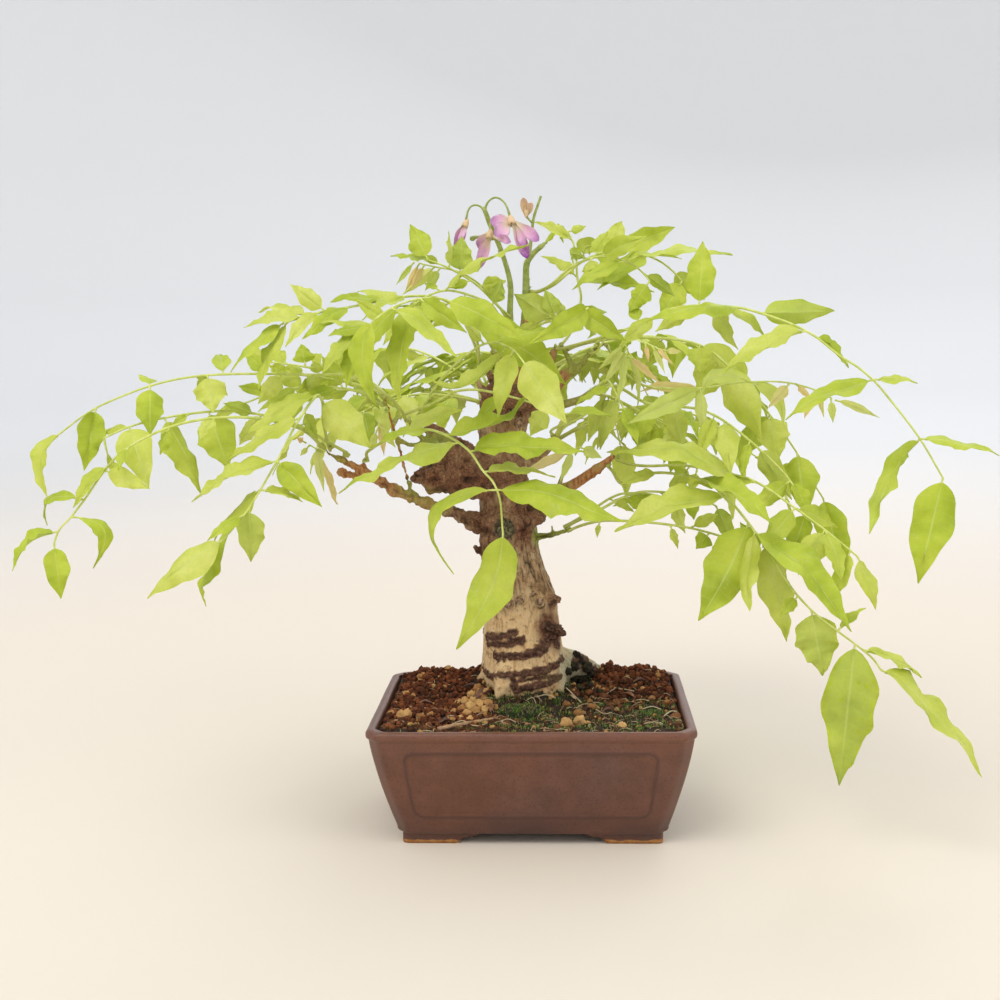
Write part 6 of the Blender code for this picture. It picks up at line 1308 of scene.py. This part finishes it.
def add_blade(bundle, leaf, draw, finish):
    """One leaflet's blade: a closed thin sheet in rings from its foot to its tip."""
    root, pull, tip, width, side = (leaf[key] for key in ("root", "pull", "tip", "width", "side"))
    length = np.linalg.norm(tip - root)
    foot = STALK_LENGTH / length
    t, u = np.meshgrid(ALONG, ACROSS, indexing="ij")
    share = t + 0.13 * np.abs(u) ** 0.9 * np.sin(math.pi * t) * (1 - t)
    f = foot + (1 - foot) * share
    middle = (root * ((1 - f) ** 2)[..., None] + pull * (2 * f * (1 - f))[..., None]
              + tip * (f ** 2)[..., None])
    way = ((pull - root) * (1 - f)[..., None] + (tip - pull) * f[..., None])
    way /= np.linalg.norm(way, axis=-1)[..., None]
    out = side - way * (way @ side)[..., None]
    out /= np.linalg.norm(out, axis=-1)[..., None]
    up = np.cross(way, out)
    up *= np.sign(up @ leaf["up"])[..., None]
    half = np.interp(share, *zip(*HALF_WIDTHS)) * width / 2
    lateral = u * half
    fold = math.radians(draw.uniform(-6, 34)) * (1 - 0.45 * share)
    twist = math.radians(draw.uniform(-34, 34)) * (share - 0.35)
    lift = np.abs(lateral) * np.tan(fold) + lateral * np.tan(twist)
    lift -= lateral ** 2 / width * draw.uniform(0, 0.9)
    ends = np.sin(math.pi * np.clip(share, 0, 1)) ** 0.6
    for hand in (-1, 1):
        here = u * hand > 0
        waves, start = draw.uniform(1.6, 3.4), draw.uniform(0, 6.3)
        swell = draw.uniform(0.03, 0.1) * width
        ripple = np.sin(2 * math.pi * waves * share + start) + 0.4 * np.sin(5.1 * math.pi * waves * share)
        lift += np.where(here, np.abs(u) ** 1.8, 0) * swell * ripple * ends
        uneven = 0.085 * np.sin(2 * math.pi * waves * share + start + 1.3) * ends
        lateral = np.where(here, lateral * (1 + draw.uniform(-0.1, 0.06) + uneven), lateral)
    # The blade is raised between its side veins, and sunken at its midrib.
    beside_rib = np.abs(u) > 0.05
    between = 0.13 * np.cos(2 * math.pi * VEINS * t) * np.minimum(1, half / 4)
    lift += between * (1 - np.abs(u)) * beside_rib
    shift = draw.uniform(0, 50)
    puckers = [[noise.noise(Vector((a * 1.6, b * length / 9, shift))) for a in ACROSS] for b in share[:, 4]]
    lift += 0.1 * width * np.array(puckers) * beside_rib * ends
    lift += draw.uniform(-0.035, 0.035) * length * np.sin(2 * math.pi * share + draw.uniform(0, 3)) * ends
    lift += draw.uniform(-0.16, 0.1) * length * np.clip((share - 0.7) / 0.3, 0, 1) ** 2 * (1 - share) * 2
    groove = np.where(np.abs(u) < 0.05, -0.18, 0)
    squeeze = np.cos(fold) ** 0.6
    top = middle + out * (lateral * squeeze)[..., None] + up * (lift + groove)[..., None]
    thick = 0.26 * (1 - np.abs(u) ** 4) + np.where(np.abs(u) < 0.05, 0.42 * (1 - t) + 0.05, 0)
    under = top - up * thick[..., None]
    rings = np.concatenate([top, under[:, -2:0:-1]], axis=1)
    count = rings.shape[1]
    points = np.concatenate([rings.reshape(-1, 3), [rings[0].mean(0) - way[0, 4] * 0.25],
                             [tip + up[-1, 4] * lift[-1, 4]]])
    base = len(bundle.points)
    faces = [(base + r * count + k, base + r * count + (k + 1) % count,
              base + (r + 1) * count + (k + 1) % count, base + (r + 1) * count + k)
             for r in range(len(ALONG) - 1) for k in range(count)]
    last = base + (len(ALONG) - 1) * count
    foot_point, end = base + len(points) - 2, base + len(points) - 1
    faces += [(foot_point, base + (k + 1) % count, base + k) for k in range(count)]
    faces += [(end, last + k, last + (k + 1) % count) for k in range(count)]
    if (up[0, 4] @ np.cross(way[0, 4], out[0, 4])) < 0:
        faces = [face[::-1] for face in faces]
    sides = np.concatenate([ACROSS, ACROSS[-2:0:-1]])
    below = [0] * len(ACROSS) + [1] * (len(ACROSS) - 2)
    bundle.take(points, faces, finish,
                along=np.concatenate([np.repeat(ALONG, count), [0, 1]]),
                side=np.concatenate([np.tile(np.abs(sides), len(ALONG)), [0, 0]]),
                under=np.concatenate([np.tile(below, len(ALONG)), [0, 0]]), tint=draw.random())


leaf_skin, tree = new_material("soft_spring_leaf")
# A new leaf: thin and soft, lime green with light through it, paler along its midrib and side
# veins and on its underside, with a slight waxy gloss on top.
along = add(tree, "Attribute", attribute_name="along", out="Fac")
side = add(tree, "Attribute", attribute_name="side", out="Fac")
under = add(tree, "Attribute", attribute_name="under", out="Fac")
tint = add(tree, "Attribute", attribute_name="tint", out="Fac")
at = add(tree, "TexCoord", out="Object")
mottle = add(tree, "TexNoise", at, Scale=500 / 9, Detail=3, Roughness=0.5)
grain = add(tree, "TexNoise", at, Scale=500 / 0.8, Detail=3, Roughness=0.5)
deep = add(tree, "ValToRGB", mottle, stops=[(0.3, "#B8C83A"), (0.5, "#CDDA4A"), (0.7, "#DBE45E")])
pale = add(tree, "ValToRGB", mottle, stops=[(0.3, "#D6DE5E"), (0.5, "#E4E978"), (0.7, "#EEF094")])
skin = add(tree, "MixRGB", add(tree, "MapRange", tint, 0.2, 1, 0, 1), deep, pale)
beat = add(tree, "Math", along, float(VEINS), operation="MULTIPLY")
beat = add(tree, "Math", beat, 0.5, operation="PINGPONG")
vein = add(tree, "MapRange", beat, 0.08, 0.0, 0, 0.13)
rib = add(tree, "MapRange", side, 0.06, 0.02, 0, 0.55)
lines = add(tree, "Math", vein, rib, operation="MAXIMUM")
skin = add(tree, "MixRGB", lines, skin, "#E3EC9A")
skin = add(tree, "MixRGB", add(tree, "MapRange", under, 0, 1, 0, 0.3), skin, "#D2DE92")
skin = add(tree, "MixRGB", add(tree, "MapRange", grain, 0.4, 0.7, 0, 0.15), skin, "#A9C63E")
relief = add(tree, "Math", grain, add(tree, "MapRange", lines, 0, 0.8, 0, -0.8), operation="ADD")
relief = add(tree, "Bump", Height=relief, Strength=0.25, Distance=0.0003)
gloss = add(tree, "MapRange", mottle, 0.3, 0.7, 0.45, 0.6)
body = add(tree, "BsdfPrincipled", Base_Color=skin, Roughness=gloss, IOR=1.42, Normal=relief)
glow = add(tree, "BsdfTranslucent", Color=skin)
add(tree, "OutputMaterial", add(tree, "MixShader", 0.42, body, glow))

young_skin, tree = new_material("unfolding_young_leaf")
# A leaf still unfolding: thinner and silky, pale yellow-green with a peach or bronze cast.
tint = add(tree, "Attribute", attribute_name="tint", out="Fac")
side = add(tree, "Attribute", attribute_name="side", out="Fac")
mottle = add(tree, "TexNoise", add(tree, "TexCoord", out="Object"), Scale=500 / 4, Detail=3, Roughness=0.5)
skin = add(tree, "ValToRGB", tint,
           stops=[(0, "#E2EB8C"), (0.5, "#EFF2AE"), (0.85, "#F8EEBE"), (1, "#F8E0B4")])
shade = add(tree, "ValToRGB", mottle, stops=[(0.3, "#E6E8C0"), (0.7, "#FFFFFF")])
skin = add(tree, "MixRGB", 0.35, skin, shade, blend_type="MULTIPLY")
skin = add(tree, "MixRGB", add(tree, "MapRange", side, 0.1, 0.02, 0, 0.6), skin, "#ECE9B0")
body = add(tree, "BsdfPrincipled", Base_Color=skin, Roughness=0.55, IOR=1.42, Sheen_Weight=0.25,
           Sheen_Roughness=0.4)
glow = add(tree, "BsdfTranslucent", Color=skin)
add(tree, "OutputMaterial", add(tree, "MixShader", 0.52, body, glow))

stalk_skin, tree = new_material("green_leaf_stalk")
# The stalks: smooth, round and juicy, yellow-green, and faintly bronzed at the foot.
along = add(tree, "Attribute", attribute_name="along", out="Fac")
mottle = add(tree, "TexNoise", add(tree, "TexCoord", out="Object"), Scale=500 / 2.3, Detail=3,
             Roughness=0.5)
skin = add(tree, "ValToRGB", mottle, stops=[(0.3, "#B7C458"), (0.5, "#CBD56C"), (0.7, "#DAE088")])
skin = add(tree, "MixRGB", add(tree, "MapRange", along, 0.25, 0.0, 0, 0.6), skin, "#8C8A3C")
body = add(tree, "BsdfPrincipled", Base_Color=skin, Roughness=0.42, IOR=1.42)
add(tree, "OutputMaterial", body)

# Further leaves from the same bud: how far each is turned round its root, in degrees, and its size.
SECOND_LEAVES = {
    "left_inner": [(-30, 0.85), (26, 0.7)], "left_inner_low": [(-32, 0.8)], "left_high": [(24, 0.8)],
    "crown_front": [(38, 0.75)], "top_right": [(-32, 0.8)], "right_shade": [(34, 0.85)],
    "right_low_thin": [(24, 0.85)], "back_middle": [(52, 0.85), (-58, 0.8)],
    "back_left_near": [(40, 0.8)], "back_right_near": [(-40, 0.8)], "back_right_deep": [(36, 0.8)],
}
STALK_STEP = 2.6
for name in sorted(node for node in frame["nodes"] if node.startswith("frond_")):
    form = bmesh.new()
    form.from_mesh(frame["nodes"][name].data)
    bmesh.ops.remove_doubles(form, verts=form.verts[:], dist=2e-6)
    leaflets, taken = leaflets_in(form)
    stem = stalk_in(form, taken, leaflets)
    form.free()
    draw = random.Random(name)
    young = "young" in name
    bundle = Bundle()
    for turn, size in [(0, 1)] + SECOND_LEAVES.get(name[6:], []):
        spin = np.array(Matrix.Rotation(math.radians(turn), 3, "Z"))
        foot = np.array(stem[0]) if stem else np.zeros(3)
        path = [Vector(foot + size * spin @ (np.array(p) - foot)) for p in stem]
        if len(path) > 1:
            path = curve_through(path, STALK_STEP)
            radii = []
            for i in range(len(path)):
                share = i / (len(path) - 1)
                swell = 0.42 * math.exp(-(i * STALK_STEP / 3.2) ** 2)
                radii.append((0.95 + (0.5 - 0.95) * share ** 0.8) * (0.8 if young else 1) + swell)
            shares = np.repeat(np.linspace(0, 1, len(path)), 8)
            bundle.add_tube(path, radii, 8, 1, along=np.concatenate([[0], shares, [1]]))
        for packed in leaflets:
            leaf = {key: foot + size * spin @ (packed[key] - foot) for key in ("root", "pull", "tip")}
            leaf |= {key: spin @ packed[key] for key in ("side", "up")}
            leaf["width"] = packed["width"] * size
            root, pull, tip = (Vector(leaf[key]) for key in ("root", "pull", "tip"))
            reach = (tip - root).length
            line = []
            for k in range(5):
                f = k / 4 * (STALK_LENGTH + 1.2) / reach
                line.append(root * (1 - f) ** 2 + pull * 2 * f * (1 - f) + tip * f * f)
            bundle.add_tube(line, [0.62, 0.6, 0.5, 0.42, 0.2], 6, 1, along=0.6)
            add_blade(bundle, leaf, draw, 0)
    made = bundle.made(name.replace("frond", "leaf"), [young_skin if young else leaf_skin, stalk_skin])
    made.data.set_sharp_from_angle(angle=math.radians(75))
    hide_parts(name)

# The flower stalks: two short green spikes that grow from the top of the wood, with a slim bowed
# stalk to each flower, and scars and scales where flowers have dropped.
stalk, tree = new_material("olive_flower_stalk")
# Young stalk: olive green, soft, with a faint down.
at = add(tree, "TexCoord", out="Object")
mottle = add(tree, "TexNoise", at, Scale=500 / 1.923, Detail=4, Roughness=0.55)
skin = add(tree, "ValToRGB", mottle, stops=[(0.3, "#7E8A3E"), (0.5, "#98A552"), (0.72, "#B4BE74")])
add(tree, "OutputMaterial", add(tree, "BsdfPrincipled", Base_Color=skin, Roughness=0.5, IOR=1.42,
                                Sheen_Weight=0.3, Sheen_Roughness=0.4))
# Each stem is a line of (pixel x, pixel y, depth, radius).
SPIKES = {
    "raceme_left": [
        [(513, 352, 28, 1.9), (511, 330, 29, 1.9), (510, 310, 29, 1.8), (510.5, 285, 29, 1.6),
         (505, 262, 28.5, 1.4), (497, 240, 27.5, 1.5), (490, 224, 27, 1.5), (485, 211, 26, 1.3),
         (483, 207, 26, 0.7)],
        [(485, 212, 26, 0.75), (481, 207, 25.5, 0.6), (476, 205, 24, 0.55), (471, 206.5, 22.8, 0.55),
         (468, 211, 22, 0.55), (466.6, 217, 21.3, 0.6), (466, 221, 21, 0.8)],
        [(485, 212, 26, 0.75), (486.5, 205, 25.6, 0.6), (490, 200, 25, 0.55), (495, 197.6, 24, 0.55),
         (500, 198.8, 22.6, 0.55), (505, 203.5, 20.6, 0.55), (508, 210, 19, 0.6), (510, 217, 17.5, 0.9)],
        [(491, 227, 27, 0.8), (491, 222, 22, 0.6), (490.5, 225, 17.5, 0.6), (490, 232, 15.4, 0.9)],
        [(497, 239, 27, 1), (488, 238, 26, 0.8), (477, 237, 25.4, 0.8), (473, 238.4, 25, 1.5),
         (470, 238.6, 25, 1.0)]],
    "raceme_right": [
        [(521, 350, 30, 2.4), (525, 322, 32.6, 2.3), (526, 290, 34, 2.1), (526, 276, 33.6, 1.9),
         (526.6, 264, 33, 1.8), (531, 256, 33, 1.7), (537, 250, 33.4, 1.4), (541, 246.6, 33.8, 1.5),
         (545, 243, 34, 0.8)],
        [(527, 266, 33, 1.5), (529.5, 252, 34.6, 1.1), (531.5, 236, 36, 0.9), (533.5, 219, 36, 0.8),
         (537.5, 206, 36, 0.75), (541, 196, 36, 0.7)],
        [(533, 223, 36, 0.7), (530, 220.6, 35, 0.6), (527, 217, 33.4, 0.7)]],
}
for name, stems in SPIKES.items():
    spike = Bundle()
    for stem in stems:
        path = smooth_path([place(*at[:3]) for at in stem], 4)
        radii = np.interp(np.linspace(0, len(stem) - 1, len(path)), range(len(stem)),
                          [at[3] for at in stem])
        spike.add_tube(path, list(radii), 12)
    draw = random.Random(name)
    main = stems[0]
    for k in range(9):
        a, b = main[2 + k % (len(main) - 3)], main[3 + k % (len(main) - 3)]
        at = place(*a[:3]).lerp(place(*b[:3]), draw.random())
        way = Vector((draw.gauss(0, 1), draw.gauss(0, 1), 0.5)).normalized()
        spike.add_tube([at, at + way * a[3] * 1.1, at + way * a[3] * 1.5 + Vector((0, 0, 0.8))],
                       [0.7, 0.55, 0.2], 6)
    made = spike.made(name.replace("raceme", "flower_stalk"), [stalk])
    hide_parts(name)

# The flowers: pea flowers, with a cupped calyx, a broad banner, two wings and a folded keel. The thin
# petals are cream at the foot and lilac to purple at the tip, and the peach ones are still in bud.
# Each petal is (kind, root, tip, width, turn, paint), the places as pixel x, pixel y and depth.
FLOWERS = {
    "bud_left": (("lilac", (466, 223, 21), 2.4), [
        ("keel", (466, 222, 21), (455.5, 250, 18), 5.6, 0, 0.5),
        ("wing", (466.5, 222, 20), (459, 240, 16.5), 4.4, 25, 0.15),
        ("wing", (465.5, 222, 22), (455, 243, 20.5), 4.4, -25, 0.3)]),
    "bloom_low": (("lilac", (490, 234, 15), 2.6), [
        ("keel", (490, 236, 15), (477.5, 269, 9.5), 6.2, 0, 1.0),
        ("wing", (489, 235, 15.5), (479, 258, 13.5), 5.0, -20, 0.45),
        ("banner", (488, 233, 15), (478, 248, 21.5), 7.6, 0, 0.3),
        ("wing", (492, 236, 14), (510.5, 241.5, 7.5), 5.6, 10, 0.35)]),
    "bloom_high": (("lilac", (511, 220, 17), 3), [
        ("banner", (510, 223, 16), (496, 235.5, 9.5), 9.6, 0, 0.35),
        ("banner", (511, 221, 18), (490.5, 221.5, 15), 8.6, 20, 0.25),
        ("keel", (514, 223, 16), (527.5, 258, 8.5), 6.8, 0, 1.0),
        ("wing", (515, 223, 16), (524, 247, 10), 5.4, 15, 0.6),
        ("wing", (516, 222, 17), (538.5, 240.5, 14), 7.6, 0, 0.5)]),
    "bud_peach": (("peach", (526, 214, 33), 1.8), [
        ("keel", (526, 216, 33), (523, 198, 32), 4.6, 10, 0.1),
        ("keel", (527, 216, 34), (531.5, 203, 36.5), 4.2, -20, 0.05),
        ("keel", (526, 216, 33.5), (526.5, 203.5, 35.5), 3.4, 60, 0.05)]),
}
PETAL_SHAPES = {
    "banner": ([(0, 0.18), (0.12, 0.4), (0.3, 0.8), (0.5, 1), (0.72, 0.98), (0.88, 0.74), (1, 0.24)], 38,
               -0.1, 0.32),
    "wing": ([(0, 0.16), (0.15, 0.34), (0.4, 0.8), (0.62, 1), (0.82, 0.88), (0.94, 0.58), (1, 0.2)], 52,
             0.08, 0.3),
    "keel": ([(0, 0.3), (0.15, 0.55), (0.4, 0.92), (0.65, 1), (0.85, 0.8), (0.95, 0.5), (1, 0.22)], 118,
             0.12, 0.34),
}


def add_petal(bundle, kind, root, tip, width, turn, paint, draw):
    """A cupped petal with real thickness, from its narrow claw to its rounded tip."""
    halves, cup, bow, thick = PETAL_SHAPES[kind]
    length = (tip - root).length
    way = (tip - root) / length
    side = way.cross(Vector((0, 1, 0.2))).normalized()
    side = Matrix.Rotation(math.radians(turn), 3, way) @ side
    up = side.cross(way)
    cup = math.radians(cup)
    steps, sides = 16, 13
    points, told = [], []
    for r in range(steps + 1):
        f = r / steps
        half = np.interp(f, *zip(*halves)) * width / 2
        centre = root + way * (f * length) + up * (math.sin(f * math.pi) * bow * length)
        reach = half / math.sin(min(cup, math.pi / 2))
        ring = []
        for layer in (0, 1):
            for k in range(sides) if layer == 0 else range(sides - 2, 0, -1):
                u = k / (sides - 1) * 2 - 1
                angle = u * cup * (1 - 0.25 * f)
                out = reach - layer * thick * (1 - u ** 4)
                frill = 0.05 * width * abs(u) ** 3 * math.sin(f * 13 + u * 2 + paint * 9)
                frill = 0 if kind == "keel" else frill
                rise = (1 - math.cos(angle)) * -out + reach * 0.3 + frill - layer * thick * 0.2
                ring.append(centre + side * (math.sin(angle) * out) + up * rise)
                told.append((f, abs(u)))
        points += ring
    count = 2 * sides - 2
    base = len(bundle.points)
    faces = [(base + r * count + k, base + (r + 1) * count + k, base + (r + 1) * count + (k + 1) % count,
              base + r * count + (k + 1) % count) for r in range(steps) for k in range(count)]
    for at, rim in ((root, 0), (tip, steps)):
        points.append(sum((points[rim * count + k] for k in range(count)), Vector()) / count
                      + way * (0.3 if rim else -0.3))
        told.append((rim / steps, 0))
    low, high = base + len(points) - 2, base + len(points) - 1
    faces += [(low, base + k, base + (k + 1) % count) for k in range(count)]
    faces += [(high, base + steps * count + (k + 1) % count, base + steps * count + k)
              for k in range(count)]
    bundle.take(points, faces, 0, along=[t[0] for t in told], side=[t[1] for t in told], paint=paint)


def petal_finish(name, stops, dark):
    """Petal skin: silky and thin, with fine branching veins of its own colour."""
    made, tree = new_material(name)
    along = add(tree, "Attribute", attribute_name="along", out="Fac")
    side = add(tree, "Attribute", attribute_name="side", out="Fac")
    paint = add(tree, "Attribute", attribute_name="paint", out="Fac")
    at = add(tree, "TexCoord", out="Object")
    mottle = add(tree, "TexNoise", at, Scale=500 / 1.1905, Detail=4, Roughness=0.55)
    uneven = add(tree, "MapRange", mottle, 0.3, 0.7, -0.08, 0.08)
    reach = add(tree, "Math", along, uneven, operation="ADD")
    skin = add(tree, "ValToRGB", reach, stops=stops)
    tip_share = add(tree, "MapRange", reach, 0.62, 0.95)
    deep = add(tree, "Math", paint, tip_share, operation="MULTIPLY")
    skin = add(tree, "MixRGB", deep, skin, dark)
    beat = add(tree, "Math", side, 7.0, operation="MULTIPLY")
    beat = add(tree, "Math", beat, 0.5, operation="PINGPONG")
    skin = add(tree, "MixRGB", add(tree, "MapRange", beat, 0.14, 0.0, 0, 0.16), skin, dark)
    body = add(tree, "BsdfPrincipled", Base_Color=skin, Roughness=0.5, IOR=1.4, Sheen_Weight=0.3,
               Sheen_Roughness=0.35)
    glow = add(tree, "BsdfTranslucent", Color=skin)
    add(tree, "OutputMaterial", add(tree, "MixShader", 0.3, body, glow))
    return made


# Lilac petals are cream at the foot and deeper lilac at the tip, and peach ones are pale all over.
LILAC = [(0, "#F8F0CC"), (0.22, "#FAE8DC"), (0.45, "#F8D2E8"), (0.75, "#F3C8EA"), (1, "#E7B0E3")]
PEACH = [(0, "#E4D698"), (0.4, "#F0DDB4"), (1, "#EFD2BC")]
petals = {"lilac": petal_finish("silky_lilac_petal", LILAC, "#9A46A6"),
          "peach": petal_finish("silky_peach_petal", PEACH, "#D8B696")}
calyx, tree = new_material("downy_calyx")
# The calyx is a soft cup of tan and peach, matt with down.
mottle = add(tree, "TexNoise", add(tree, "TexCoord", out="Object"), Scale=500, Detail=4)
skin = add(tree, "ValToRGB", mottle, stops=[(0.3, "#C6B27C"), (0.5, "#DDBD93"), (0.7, "#E6BC98")])
add(tree, "OutputMaterial", add(tree, "BsdfPrincipled", Base_Color=skin, Roughness=0.65, Sheen_Weight=0.4,
                                Sheen_Roughness=0.4))
for name, ((tone, at, radius), rows) in FLOWERS.items():
    draw = random.Random(name)
    bundle = Bundle()
    centre = place(*at)
    for kind, root, tip, width, turn, paint in rows:
        add_petal(bundle, kind, place(*root), place(*tip), width, turn, paint, draw)
    way = (sum((place(*row[2]) for row in rows), Vector()) / len(rows) - centre).normalized()
    side = way.orthogonal().normalized()
    up = way.cross(side)
    base = len(bundle.points)
    rings = [(-1.1, 0.22), (-0.9, 0.42), (-0.5, 0.7), (0, 0.9), (0.5, 0.98), (0.95, 1.0)]
    points, faces = [centre - way * radius * 1.15], []
    for reach, wide in rings:
        for k in range(20):
            turn = 2 * math.pi * k / 20
            tooth = 0.45 * max(0, math.cos(5 * turn)) if reach > 0.9 else 0
            points.append(centre + way * (reach + tooth) * radius
                          + (side * math.cos(turn) + up * math.sin(turn)) * wide * radius * 0.8)
    points.append(centre + way * radius * 0.6)
    last = len(rings) - 1
    for k in range(20):
        n = (k + 1) % 20
        faces.append((base, base + 1 + n, base + 1 + k))
        faces.append((base + len(points) - 1, base + 1 + last * 20 + k, base + 1 + last * 20 + n))
        faces += [(base + 1 + r * 20 + k, base + 1 + r * 20 + n,
                   base + 21 + r * 20 + n, base + 21 + r * 20 + k) for r in range(last)]
    bundle.take(points, faces, 1, along=0.0, side=0.0, paint=0.0)
    flower = bundle.made(name.replace("bloom", "flower").replace("bud", "flower_bud"),
                         [petals[tone], calyx])
    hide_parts(name)

# The floor and the light of a small studio: pale paper swept up behind, and large soft lamps.
paper, tree = new_material("pale_studio_paper")
# Matt paper: warm and faintly mottled under the pot, cooler and lighter where it sweeps up.
at = add(tree, "TexCoord", out="Object")
away = add(tree, "VectorMath", at, operation="LENGTH", out=1)
tone = add(tree, "ValToRGB", add(tree, "TexNoise", at, Scale=500 / 909),
           stops=[(0.3, "#E0D5C6"), (0.7, "#E5DBCD")])
tone = add(tree, "MixRGB", add(tree, "MapRange", away, 0.6, 2.1), tone, "#DFE0E1")
add(tree, "OutputMaterial", add(tree, "BsdfPrincipled", Base_Color=tone, Roughness=0.9))
SWEEP = [(0, 0), (900, 0), (1500, 0), (1900, 20), (2200, 120), (2420, 340), (2520, 640), (2550, 1100),
         (2560, 1900)]
points = [(r * math.cos(a), r * math.sin(a), z)
          for r, z in SWEEP[1:] for a in np.linspace(0, 2 * math.pi, 96, endpoint=False)]
faces = [(r * 96 + k, (r + 1) * 96 + k, (r + 1) * 96 + (k + 1) % 96, r * 96 + (k + 1) % 96)
         for r in range(len(SWEEP) - 2) for k in range(96)]
faces.append(tuple(range(96)))
floor = piece("floor", points, faces, [paper])
floor.parent = None
floor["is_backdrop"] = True


def lamp(name, at, size, power, code):
    """A square soft lamp that looks at the tree."""
    light = bpy.data.lights.new(name, "AREA")
    light.size = size
    light.energy = power
    light.color = colour(code)[:3]
    made = bpy.data.objects.new(name, light)
    made.location = at
    made.rotation_euler = (Vector(at) - Vector((0, 0, 0.2))).to_track_quat("Z", "Y").to_euler()
    bpy.context.scene.collection.objects.link(made)


lamp("key_lamp", (-0.9, -1.1, 1.9), 1.3, 22, "#FFF9F0")
lamp("fill_lamp", (1.5, -1.0, 1.2), 1.5, 9.5, "#FFFCF6")
lamp("back_lamp", (0.5, 1.7, 1.6), 1.5, 15, "#FBFBFF")
sky = bpy.data.worlds.new("soft_sky")
bpy.context.scene.world = sky
sky.use_nodes = True
sky.node_tree.nodes["Background"].inputs["Color"].default_value = colour("#EEF2F8")
sky.node_tree.nodes["Background"].inputs["Strength"].default_value = 0.9
bpy.context.scene.view_settings.view_transform = "Standard"

low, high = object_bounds()
